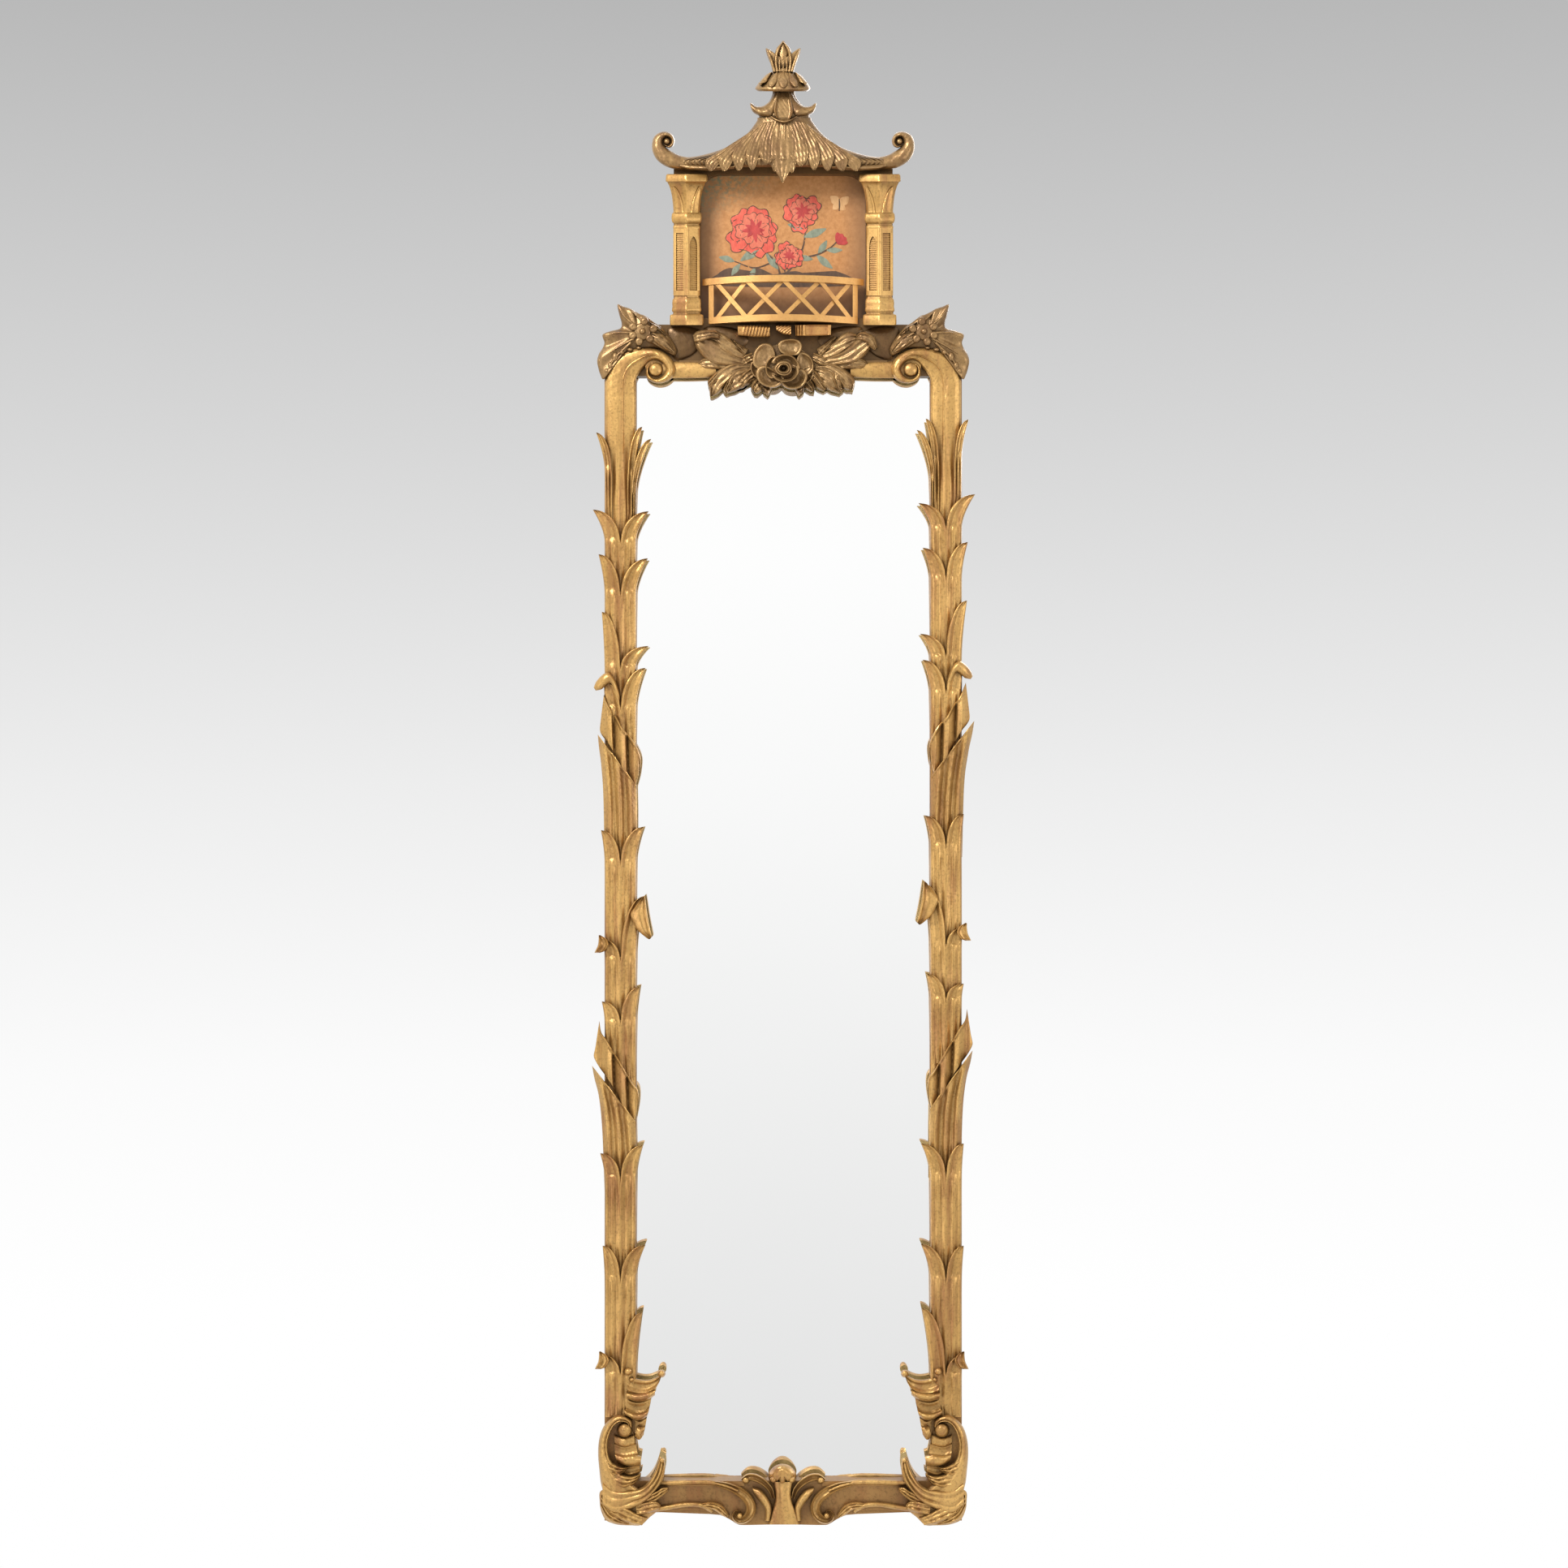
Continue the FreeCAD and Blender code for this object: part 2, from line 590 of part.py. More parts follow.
# Screws of the battens, two into the top rail and two into the crest board on each side
batten_back = board_back - size.batten_thickness
column_axis = size.column_spacing / 2
BATTEN_RAIL_SHARES = (0.3, 0.75)
BATTEN_BOARD_SHARES = (0.3, 0.85)
rail_heights = [rail_top - share * size.batten_drop for share in BATTEN_RAIL_SHARES]
board_heights = [rail_top + share * (eaves - size.batten_drop - rail_top) for share in BATTEN_BOARD_SHARES]
rail_batten_places = [(x, batten_back, z) for x in (-column_axis, column_axis) for z in rail_heights]
board_batten_places = [(x, batten_back, z) for x in (-column_axis, column_axis) for z in board_heights]
carve("batten_screws", Part.makeCompound([screw(*p) for p in rail_batten_places + board_batten_places]))
drill("crest_board", crest_board, board_batten_places)
for side, name in ((-1, "left"), (1, "right")):
    places = [p for p in rail_batten_places + board_batten_places if p[0] * side > 0]
    drill(f"{name}_crest_batten", named(f"{name}_crest_batten"), places)

# Hangers: a folded strap screwed to the top rail, and a D ring that swings in its fold
hanger_z = sight_top + size.hanger_rise
fold_radius = size.ring_wire / 2 + size.ring_clearance
fold_outer = fold_radius + size.strap_thickness
fold_depth = board_back - fold_outer
strap_screws = []
HANGER_SCREW_SHARE = 0.84
for side, name in ((-1, "left"), (1, "right")):
    x = side * size.hanger_spacing / 2
    half = size.strap_width / 2
    roll = Part.makeCylinder(fold_outer, size.strap_width, Vector(x - half, -fold_depth, hanger_z), Vector(1, 0, 0))
    plate = box((x - half, x + half), (board_back - size.strap_thickness, board_back),
                (hanger_z - size.strap_length, hanger_z))
    bore = Part.makeCylinder(fold_radius, size.strap_width, Vector(x - half, -fold_depth, hanger_z), Vector(1, 0, 0))
    place = (x, board_back - size.strap_thickness, hanger_z - HANGER_SCREW_SHARE * size.strap_length)
    strap_screws.append(place)
    strap = roll.fuse(plate).cut(bore).cut(screw_hole(*place)).removeSplitter()
    carve(f"{name}_hanger_strap", strap)
    # Ring: a straight bar through the fold, two short sides and a round end that hangs down
    wide = size.ring_width / 2
    drop = size.ring_length - wide
    bar_left = Vector(x - wide, -fold_depth, hanger_z)
    bar_right = Vector(x + wide, -fold_depth, hanger_z)
    foot_left = bar_left - Vector(0, 0, drop)
    foot_right = bar_right - Vector(0, 0, drop)
    lowest = Vector(x, -fold_depth, hanger_z - drop - wide)
    radius = size.ring_wire / 2
    bar = Part.makeCylinder(radius, size.ring_width, bar_left, Vector(1, 0, 0))
    sides = [Part.makeCylinder(radius, drop, foot, Vector(0, 0, 1)) for foot in (foot_left, foot_right)]
    knees = [Part.makeSphere(radius, knee) for knee in (bar_left, bar_right)]
    turn = Part.Wire([Part.Arc(foot_left, lowest, foot_right).toShape()])
    start = Part.Wire([Part.Circle(foot_left, Vector(0, 0, 1), radius).toShape()])
    bend = turn.makePipeShell([start], True, False)
    carve(f"{name}_hanger_ring", join([bar, bend] + sides + knees))
carve("hanger_screws", Part.makeCompound([screw(*place) for place in strap_screws]))
drill("top_rail", top_rail, head_places + rail_batten_places + strap_screws)

# Columns: half hexagons with a ridge to the front, recessed panels, flared capitals
capital_foot = eaves - size.capital_height
collar_foot = capital_foot - size.collar_height
shaft_foot = collar_foot - size.shaft_height
base_foot = shaft_foot - size.base_height
COLUMN_FACE_SHARES = ((-0.5, 0.0), (-0.5, 0.45), (0.0, 1.0), (0.5, 0.45), (0.5, 0.0))
ARCH_SHARES = ((0.0, 0.0), (1.0, 0.0), (1.0, 0.72), (0.5, 1.0), (0.0, 0.72))


def column_section(x, width, depth, z):
    points = [Vector(x + across * width, -ground - out * depth, z) for across, out in COLUMN_FACE_SHARES]
    return Part.makePolygon(points + points[:1])


def column_block(x, levels):
    """Lofted length of a column through width, depth and height triples."""
    return Part.makeLoft([column_section(x, *level) for level in levels], True, True)


PANEL_EDGE_SHARE = 0.2
PANEL_HEIGHT_SHARE = 0.88


def column_panels(x):
    """Pointed recesses in the two front faces of a shaft."""
    cuts = []
    for side in (-1, 1):
        outer = Vector(x + side * size.column_width / 2, -ground - COLUMN_FACE_SHARES[1][1] * size.column_depth, 0)
        ridge = Vector(x, -ground - size.column_depth, 0)
        across = ridge - outer
        normal = Vector(0, 0, 1).cross(across).normalize() * side
        height = PANEL_HEIGHT_SHARE * size.shaft_height
        start = outer + across * PANEL_EDGE_SHARE - normal * size.column_recess
        wide = across * (1 - 2 * PANEL_EDGE_SHARE)
        foot = shaft_foot + (size.shaft_height - height) / 2
        points = [start + wide * s + Vector(0, 0, foot + t * height) for s, t in ARCH_SHARES]
        face = Part.Face(Part.makePolygon(points + points[:1]))
        cuts.append(face.extrude(normal * size.overrun))
    return cuts


COLLAR_SHARES = ((1.0, 0.0), (1.12, 0.25), (1.0, 0.5), (1.12, 0.75), (1.0, 1.0))
CAPITAL_SHARES = ((0.0, 0.0), (0.1, 0.35), (0.45, 0.75), (1.0, 0.9), (0.9, 1.0))
BASE_SHARES = ((1.1, 0.0), (1.1, 0.35), (1.0, 0.6), (1.0, 1.0))
for side, name in ((-1, "left"), (1, "right")):
    x = side * column_axis
    wide = size.column_width
    deep = size.column_depth
    plinth = column_block(x, [(size.plinth_width, deep * size.plinth_width / wide, z) for z in (rail_top, base_foot)])
    base = column_block(x, [(wide * w, deep * w, base_foot + t * size.base_height) for w, t in BASE_SHARES])
    shaft = column_block(x, [(wide, deep, z) for z in (shaft_foot, collar_foot)]).cut(column_panels(x))
    collar = column_block(x, [(wide * w, deep * w, collar_foot + t * size.collar_height) for w, t in COLLAR_SHARES])
    flare = size.capital_width - wide
    capital = column_block(x, [(wide + w * flare, deep + w * flare / 2, capital_foot + t * size.capital_height)
                               for w, t in CAPITAL_SHARES])
    carve(f"{name}_column", join([plinth, base, shaft, collar]))
    carve(f"{name}_capital", capital)

# Balcony: the railing bows forward between the columns
rail_half = column_axis - size.column_width / 2 - size.railing_gap
foot_half = rail_half - size.railing_inset
bow_radius = (foot_half ** 2 + size.railing_bow ** 2) / (2 * size.railing_bow)
bow_centre = Vector(0, -ground - size.railing_bow + bow_radius, 0)
railing_foot = rail_top
railing_head = railing_foot + size.railing_height
lattice_foot = railing_foot + size.railing_foot_height
lattice_head = railing_head - size.railing_top_height


def bowed(inner, outer, bottom, top, half):
    """Bowed wall between two distances out from the bow line, within a half width, in front of the boards."""
    base = Vector(bow_centre.x, bow_centre.y, bottom)
    wall = Part.makeCylinder(bow_radius + outer, top - bottom, base).cut(
        Part.makeCylinder(bow_radius + inner, top - bottom, base))
    reach = ground + size.railing_bow + size.railing_top_depth + size.overrun
    return wall.common(box((-half, half), (ground, reach), (bottom, top)))


def bar_face(start, end, width):
    """Upright strip between two points of the front plane, seen from the front."""
    along = (end - start).normalize()
    across = Vector(0, 1, 0).cross(along) * (width / 2)
    run = along * width
    points = [start - run - across, end + run - across, end + run + across, start - run + across]
    reach = ground + size.railing_bow + size.railing_top_depth + size.overrun
    return Part.Face(Part.makePolygon(points + points[:1])).extrude(Vector(0, -reach, 0))


carve("railing_top_rail", bowed(-size.railing_top_depth / 2, size.railing_top_depth / 2,
                                lattice_head, railing_head, rail_half))
carve("railing_foot_rail", bowed(-size.railing_foot_depth / 2, size.railing_foot_depth / 2,
                                 railing_foot, lattice_foot, foot_half))
NODE_SHARES = (-1.0, -0.54, 0.0, 0.54, 1.0)
post_half = foot_half - size.post_width
nodes = [share * (post_half - size.lattice_width / 2) for share in NODE_SHARES]
front_bars = []
back_bars = []
for left, right in zip(nodes, nodes[1:]):
    low_left = Vector(left + size.lattice_width / 2, 0, lattice_foot)
    low_right = Vector(right - size.lattice_width / 2, 0, lattice_foot)
    high_left = Vector(left + size.lattice_width / 2, 0, lattice_head)
    high_right = Vector(right - size.lattice_width / 2, 0, lattice_head)
    front_bars.append(bar_face(high_left, low_right, size.lattice_width))
    back_bars.append(bar_face(low_left, high_right, size.lattice_width))
front_wall = bowed(0, size.lattice_depth, lattice_foot, lattice_head, post_half)
back_wall = bowed(-size.lattice_depth, 0, lattice_foot, lattice_head, post_half)
carve("front_lattice", Part.makeCompound([front_wall.common(bar) for bar in front_bars]))
carve("back_lattice", Part.makeCompound([back_wall.common(bar) for bar in back_bars]))
posts = bowed(-size.lattice_depth, size.lattice_depth, lattice_foot, lattice_head, foot_half).cut(
    box((-post_half, post_half), (0, ground + size.railing_bow + size.overrun * 2), (lattice_foot, lattice_head)))
carve("railing_posts", Part.makeCompound(posts.Solids))

# Stone blocks under the balcony, drawn edges in the photograph's pixels
STONE_EDGES_PX = ((909.0, 948.5), (954.5, 975.0), (980.0, 1024.0))
STONE_TAPER_SHARES = (1.0, 0.88)
stones = []
stone_top = rail_top - size.stone_gap
for left, right in STONE_EDGES_PX:
    middle = (frame_x(left) + frame_x(right)) / 2
    half = (frame_x(right) - frame_x(left)) / 2
    rings = []
    for share, z in zip(STONE_TAPER_SHARES, (stone_top, stone_top - size.stone_height)):
        front = ground + size.stone_depth * share
        rings.append(Part.makePolygon([
            Vector(middle - half * share, -ground, z), Vector(middle + half * share, -ground, z),
            Vector(middle + half * share, -front, z), Vector(middle - half * share, -front, z),
            Vector(middle - half * share, -ground, z)]))
    stones.append(Part.makeLoft(rings, True, True))
carve("stone_blocks", Part.makeCompound(stones))
half_ledge = foot_half - size.railing_foot_depth
carve("balcony_ledge", Part.makeCylinder(
    bow_radius - size.railing_foot_depth / 2 - size.joint_clearance, size.ledge_height,
    Vector(bow_centre.x, bow_centre.y, rail_top)).common(
    box((-half_ledge, half_ledge), (ground, ground + size.railing_bow), (rail_top, rail_top + size.ledge_height))))

# Pagoda roof: a pleated skirt that sweeps out to the eaves, with leaf tips along the edge
PLEATS = 24
PLEAT_SHARE = 0.07


def skirt_section(half, depth, z, pleat_share):
    """Half oval standing on the boards; every other point is drawn in to make the pleats."""
    points = []
    for step in range(PLEATS + 1):
        turn = math.pi * step / PLEATS
        reach = 1 - pleat_share * (step % 2)
        points.append(Vector(-half * math.cos(turn) * reach, -ground - depth * math.sin(turn) * reach, z))
    points[0].y = points[-1].y = -ground
    return Part.makePolygon(points + points[:1])


def skirt(levels):
    return Part.makeLoft([skirt_section(*level) for level in levels], True, True)


# Shares of the way out from the top to the eaves, of the depth, of the rise and of the pleat
ROOF_SHARES = ((1.0, 0.92, -0.02, 0.5), (1.0, 1.0, 0.08, 1.0), (0.72, 0.86, 0.16, 1.0), (0.44, 0.66, 0.32, 1.0),
               (0.16, 0.34, 0.6, 0.9), (0.02, 0.1, 0.85, 0.7), (0.0, 0.0, 1.0, 0.5))
roof_levels = []
for out, deep, up, fold in ROOF_SHARES:
    half = (size.roof_top_width + out * (size.roof_span - size.roof_top_width)) / 2
    depth = size.roof_top_depth + deep * (size.roof_depth - size.roof_top_depth)
    roof_levels.append((half, depth, eaves + size.eave_drop + up * (size.roof_rise - size.eave_drop),
                        PLEAT_SHARE * fold))


LEAF_END_SHARES = (1.0, 1.0, 0.12)


def hanging_leaf(x, depth, top, bottom, half):
    """Pointed leaf end that hangs from the eaves, thick as a carved tip."""
    thick = size.tip_thickness / 2
    heights = (top, (top + bottom) / 2, bottom)
    outline = []
    for share, z in zip(LEAF_END_SHARES, heights):
        reach = half * share
        outline.append(Part.makePolygon([
            Vector(x - reach, -depth + thick, z), Vector(x, -depth - thick, z),
            Vector(x + reach, -depth + thick, z), Vector(x - reach, -depth + thick, z)]))
    return Part.makeLoft(outline, True, True)


EAVE_LEAF_SHARES = (-0.72, -0.48, -0.24, 0.0, 0.24, 0.48, 0.72)
EAVE_DEPTH_SHARE = 0.94
SIDE_DROP_SHARE = 0.35
eave_leaves = []
for share in EAVE_LEAF_SHARES:
    depth = ground + size.roof_depth * EAVE_DEPTH_SHARE * math.sqrt(1 - share ** 2)
    drop = size.eave_leaf_drop * (1 if share == 0 else SIDE_DROP_SHARE)
    eave_leaves.append(hanging_leaf(share * size.roof_span / 2, depth, eaves + size.eave_drop * 2,
                                    eaves + size.eave_drop - drop, size.roof_span / len(EAVE_LEAF_SHARES) / 3))
scroll_start = size.scroll_spacing / 2
roof_slab = box((-scroll_start, scroll_start), (0, ground + size.roof_depth + size.tip_thickness),
                (rail_top, roof_top + size.roof_rise))
carve("pagoda_roof", join([skirt(roof_levels)] + eave_leaves).common(roof_slab))

# Eave scrolls: horns that roll up at the ends of the eaves; shares of reach and rise, inner and outer edge
SCROLL_SHARES = (((0.0, 0.09), (0.0, 0.39)), ((0.29, 0.106), (0.23, 0.39)), ((0.58, 0.22), (0.5, 0.45)),
                 ((0.845, 0.39), (0.64, 0.58)), ((0.975, 0.66), (0.71, 0.7)), ((0.9, 0.87), (0.685, 0.79)),
                 ((0.64, 0.99), (0.55, 0.86)), ((0.35, 0.94), (0.41, 0.84)), ((0.175, 0.77), (0.335, 0.75)),
                 ((0.26, 0.66), (0.35, 0.7)))
SCROLL_CROWN_SHARES = (1.0, 1.0, 1.0, 0.95, 0.9, 0.85, 0.85, 0.85, 0.8, 0.7)
sections = []
for (outer, inner), crown in zip(SCROLL_SHARES, SCROLL_CROWN_SHARES):
    ends = [Vector(-scroll_start - across * size.scroll_reach, 0, eaves + up * size.scroll_rise)
            for across, up in (outer, inner)]
    sections.append(section(ends[0], ends[1], size.scroll_relief * crown, ROUND_SHARES))
horn = Part.makeLoft(sections, True, True)
carve("left_eave_scroll", horn)
carve("right_eave_scroll", mirrored(horn))

# Finial: an upturned tier, a lobed dome and a leaf crown, all flat behind and fixed to the board's tongue
TIER_SHARES = ((0.84, 0.0, 0.4), (0.96, 0.3, 1.0), (1.0, 0.58, 1.0), (0.86, 0.5, 1.0), (0.66, 0.5, 1.0),
               (0.46, 0.66, 0.6), (0.37, 1.0, 0.2))
TIER_BACK_SHARE = 0.35
tier_levels = [(size.tier_width / 2 * w, size.tier_depth * (TIER_BACK_SHARE + (1 - TIER_BACK_SHARE) * w),
                roof_top + up * size.tier_height, PLEAT_SHARE * fold) for w, up, fold in TIER_SHARES]
carve("roof_tier", skirt(tier_levels))
dome_foot = roof_top + size.tier_height
DOME_SHARES = ((0.8, 0.0, 0.4), (1.0, 0.1, 1.0), (1.0, 0.3, 1.0), (0.86, 0.62, 1.0), (0.55, 0.9, 1.0),
               (0.36, 1.0, 0.5))
carve("finial_dome", skirt([(size.dome_width / 2 * w, size.dome_depth * w, dome_foot + up * size.dome_height,
                             PLEAT_SHARE * fold) for w, up, fold in DOME_SHARES]))
crown_foot = dome_foot + size.dome_height
CROWN_LEAF_SHARES = (((-0.3, 0.0), (0.1, 0.0)), ((-0.42, 0.25), (0.05, 0.2)), ((-0.52, 0.5), (-0.1, 0.5)),
                     ((-0.62, 0.72), (-0.4, 0.62)), ((-0.52, 0.74), (-0.5, 0.7)))
CENTRE_LEAF_SHARES = (((-0.2, 0.0), (0.2, 0.0)), ((-0.3, 0.35), (0.3, 0.35)), ((-0.26, 0.65), (0.26, 0.65)),
                      ((-0.03, 1.0), (0.03, 1.0)))
SIDE_LEAF_CROWN_SHARES = (0.7, 0.75, 0.7, 0.55, 0.4)
CENTRE_LEAF_CROWN_SHARES = (0.9, 1.0, 0.9, 0.5)


def crown_leaf(shares, crowns):
    stations = []
    for left, right in shares:
        stations.append([Vector(across * size.crown_width, 0, crown_foot + up * size.crown_height)
                         for across, up in (left, right)])
    return Part.makeLoft([section(left, right, size.crown_depth * crown, ROUND_SHARES)
                          for (left, right), crown in zip(stations, crowns)], True, True)


side_leaf = crown_leaf(CROWN_LEAF_SHARES, SIDE_LEAF_CROWN_SHARES)
centre_leaf = crown_leaf(CENTRE_LEAF_SHARES, CENTRE_LEAF_CROWN_SHARES)
carve("finial_crown", join([centre_leaf, side_leaf, mirrored(side_leaf)]))

# Palm trunks: nested leaf sheaths on a ribbed stem, cut in three lengths
STILE_AXIS_PX = 200.6
STEM_HALF_PX = 13.5
BAND_HALF_PX = 17.8
LEAF_FOOT_PX = 15.2
LEAF_HALF_PX = 18.6
LEAF_LAP_PX = 1.2
FLARE_POWER = 1.6
LEAF_FOOT_SHARE = 0.78
TIP_LOSS_SHARE = 0.25
TRUNK_HEAD_PX = 489.0
TRUNK_FOOT_PX = 1742.0
SHEATH_SHARES = ((0.0, 0.9), (0.25, 1.0), (0.6, 0.92), (1.0, 0.62))
SHEATH_LEVEL_SHARES = (0.0, 0.35, 0.65, 0.86, 0.97)
# Each leaf: +1 towards the opening or -1 away from it, then foot, fork and tip rows, tip reach and fork offset
LEFT_LEAVES_PX = (
    (-1, 655, 578, 533, 30, 11), (1, 655, 582, 526, 27, 9), (1, 655, 606, 541, 38, 14),
    (-1, 735, 666, 628, 34, 0), (1, 735, 666, 630, 35, 0), (-1, 826, 730, 683, 27, 0), (1, 826, 730, 688, 34, 0),
    (-1, 876, 821, 754, 23, 0), (1, 876, 821, 796, 35, 0), (-1, 940, 871, 832, 30, 0), (1, 940, 871, 823, 31, 0),
    (-1, 1066, 975, 906, 28, 0), (-1, 1185, 1061, 1023, 24, 0), (1, 1185, 1061, 1019, 29, 0),
    (-1, 1262, 1180, 1153, 30, 0), (1, 1262, 1180, 1106, 32, 0), (-1, 1330, 1258, 1234, 23, 0),
    (1, 1330, 1258, 1216, 24, 0), (-1, 1454, 1388, 1314, 34, 0), (-1, 1580, 1450, 1421, 25, 0),
    (1, 1580, 1450, 1411, 28, 0), (-1, 1698, 1574, 1535, 22, 0), (1, 1698, 1574, 1534, 31, 0),
    (-1, 1742, 1692, 1666, 31, 0), (1, 1742, 1692, 1617, 27, 0))
RIGHT_LEAVES_PX = (
    (-1, 640, 562, 517, 28, 11), (1, 640, 566, 516, 25, 9), (1, 640, 590, 530, 36, 14),
    (-1, 716, 649, 609, 36, 0), (1, 716, 649, 620, 34, 0), (-1, 812, 711, 668, 27, 0), (1, 812, 711, 675, 29, 0),
    (-1, 850, 808, 740, 26, 0), (1, 850, 808, 781, 32, 0), (-1, 920, 845, 816, 32, 0), (1, 920, 845, 813, 29, 0),
    (-1, 1046, 955, 889, 34, 0), (-1, 1168, 1041, 1003, 22, 0), (1, 1168, 1041, 1005, 26, 0),
    (-1, 1236, 1164, 1138, 31, 0), (1, 1236, 1164, 1089, 34, 0), (-1, 1310, 1230, 1212, 22, 0),
    (1, 1310, 1230, 1200, 24, 0), (-1, 1450, 1372, 1295, 32, 0), (-1, 1580, 1447, 1409, 22, 0),
    (1, 1580, 1447, 1409, 31, 0), (-1, 1698, 1575, 1535, 22, 0), (1, 1698, 1575, 1533, 31, 0),
    (-1, 1742, 1692, 1666, 30, 0), (1, 1742, 1692, 1612, 30, 0))
# Ribbons wound over the stem: outer end row and inner end row of the upper edge, and the width in rows
LEFT_RIBBONS_PX = ((862, 938, 34), (1268, 1342, 36))
RIGHT_RIBBONS_PX = ((843, 922, 36), (1246, 1330, 36))
# Drooping tips: +1 inner or -1 outer, rows of the shoulder and of the tip, reach of shoulder and tip
LEFT_DROOPS_PX = ((-1, 836, 848, 22, 33), (1, 1108, 1156, 25, 37), (-1, 1158, 1174, 24, 33),
                  (-1, 1670, 1687, 24, 32))
RIGHT_DROOPS_PX = ((-1, 820, 833, 22, 34), (1, 1092, 1138, 26, 36), (-1, 1142, 1159, 24, 33),
                   (-1, 1670, 1688, 24, 32))
CUTS_PX = {"left": (624.0, 1075.0), "right": (606.0, 1058.0)}


def stile_point(side, across, v):
    """Point of a trunk: across is pixels from the stile's middle, towards the opening."""
    return (AXIS_PX + side * (STILE_AXIS_PX - across), v)


def sheath_leaf(side, way, foot, fork, tip, reach, offset):
    """One half of a sheath: rises with the stem to the fork, then parts from it to a pointed tip."""
    lap = LEAF_LAP_PX if offset == 0 else 0
    stations = [((way * (offset - lap), foot), (way * LEAF_FOOT_PX, foot))]
    crowns = [LEAF_FOOT_SHARE]
    for share in SHEATH_LEVEL_SHARES:
        v = fork + (tip - fork) * share
        curl = 1 - math.sqrt(1 - share ** 2)
        inner = offset + (reach - offset) * curl
        outer = LEAF_HALF_PX + (reach - LEAF_HALF_PX) * share ** FLARE_POWER
        if share == 0:
            inner -= lap
        stations.append(((way * min(inner, outer - LEAF_LAP_PX), v), (way * outer, v)))
        crowns.append(1 - TIP_LOSS_SHARE * share)
    pairs = [(stile_point(side, *left), stile_point(side, *right)) for left, right in stations]
    return relief(pairs, scaled(size.sheath_relief, crowns), SHEATH_SHARES, size.leaf_undercut)


RIBBON_STEP_SHARES = (0.04, 0.22, 0.5, 0.78, 0.96)
RIBBON_CROWN_SHARES = (0.6, 0.85, 1.0, 0.85, 0.55)
RIBBON_ENDS_PX = (-23.0, 22.0)


def ribbon(side, outer_row, inner_row, width):
    """Leaf wound slantwise over the stem, from its outer edge down to its inner edge."""
    pairs = []
    for share in RIBBON_STEP_SHARES:
        across = RIBBON_ENDS_PX[0] + share * (RIBBON_ENDS_PX[1] - RIBBON_ENDS_PX[0])
        v = outer_row + share * (inner_row - outer_row)
        taper = width * (1 + math.sin(math.pi * share)) / 2
        pairs.append((stile_point(side, across, v), stile_point(side, across, v + taper)))
    return relief(pairs, scaled(size.ribbon_relief, RIBBON_CROWN_SHARES), ROUND_SHARES, size.leaf_undercut)


DROOP_CROWN_SHARES = (0.85, 0.95, 0.85, 0.65)
DROOP_LAP_PX = 8.0
DROOP_WIDTH_PX = 5.0
DROOP_EDGE_PX = 2.0
DROOP_POINT_PX = 1.0


def droop(side, way, shoulder, tip, near, far):
    """Tip of a sheath that rolls over and hangs outwards."""
    middle = (shoulder + tip) / 2
    lap = near - DROOP_LAP_PX
    stations = (((lap, shoulder + DROOP_LAP_PX), (lap + DROOP_EDGE_PX, shoulder - DROOP_EDGE_PX)),
                ((near, middle), (near + DROOP_WIDTH_PX, shoulder - DROOP_EDGE_PX)),
                ((far - DROOP_WIDTH_PX, tip - DROOP_POINT_PX), (far, middle)),
                ((far - DROOP_EDGE_PX, tip + DROOP_POINT_PX), (far, tip)))
    pairs = [(stile_point(side, way * left[0], left[1]), stile_point(side, way * right[0], right[1]))
             for left, right in stations]
    return relief(pairs, scaled(size.sheath_relief, DROOP_CROWN_SHARES), ROUND_SHARES, size.leaf_undercut)


STEM_SHARES = ((0.0, 0.55), (0.22, 0.9), (0.5, 1.0), (0.78, 0.9), (1.0, 0.55))
# The shell stack of the foot takes the place of the trunk's inner edge, within this drawn corner
SHELL_EDGE_PX = 770.0
SHELL_HEAD_PX = 1684.0


def stem(side, half, head, foot, profile_shares):
    pairs = [(stile_point(side, -half, v), stile_point(side, half, v)) for v in (foot, head)]
    return relief(pairs, [size.stem_relief] * 2, profile_shares)


def trunk_length(side, head, foot, leaves, ribbons, droops):
    """One length of a trunk: every leaf that crosses it, joined to its stem and cut square at its ends."""
    carvings = [sheath_leaf(side, *row) for row in leaves if row[3] < foot and row[1] > head]
    carvings += [ribbon(side, *row) for row in ribbons if head < row[0] < foot]
    carvings += [droop(side, *row) for row in droops if head < row[1] < foot]
    half, profile_shares = (BAND_HALF_PX, BAND_SHARES) if head == TRUNK_HEAD_PX else (STEM_HALF_PX, STEM_SHARES)
    core = stem(side, half, head, foot, profile_shares)
    reach = ground + size.ribbon_relief + size.sheath_relief
    slab = box((side * half_sight / 2, side * half_frame * 2), (0, reach), (frame_z(foot), frame_z(head)))
    for carving in carvings:
        core = core.fuse(carving.common(slab))
    if foot == TRUNK_FOOT_PX:
        corner = [(SHELL_EDGE_PX, SHELL_HEAD_PX), (AXIS_PX, SHELL_HEAD_PX),
                  (AXIS_PX, foot + STEM_HALF_PX), (SHELL_EDGE_PX, foot + STEM_HALF_PX)]
        core = core.cut(prism([(AXIS_PX + side * (AXIS_PX - u), v) for u, v in corner]))
    return core.removeSplitter()


for side, name, leaves, ribbons, droops in (
        (-1, "left", LEFT_LEAVES_PX, LEFT_RIBBONS_PX, LEFT_DROOPS_PX),
        (1, "right", RIGHT_LEAVES_PX, RIGHT_RIBBONS_PX, RIGHT_DROOPS_PX)):
    rows = (TRUNK_HEAD_PX, *CUTS_PX[name], TRUNK_FOOT_PX)
    for length, head, foot in zip(("upper", "middle", "lower"), rows, rows[1:]):
        carve(f"{name}_{length}_palm", trunk_length(side, head, foot, leaves, ribbons, droops))


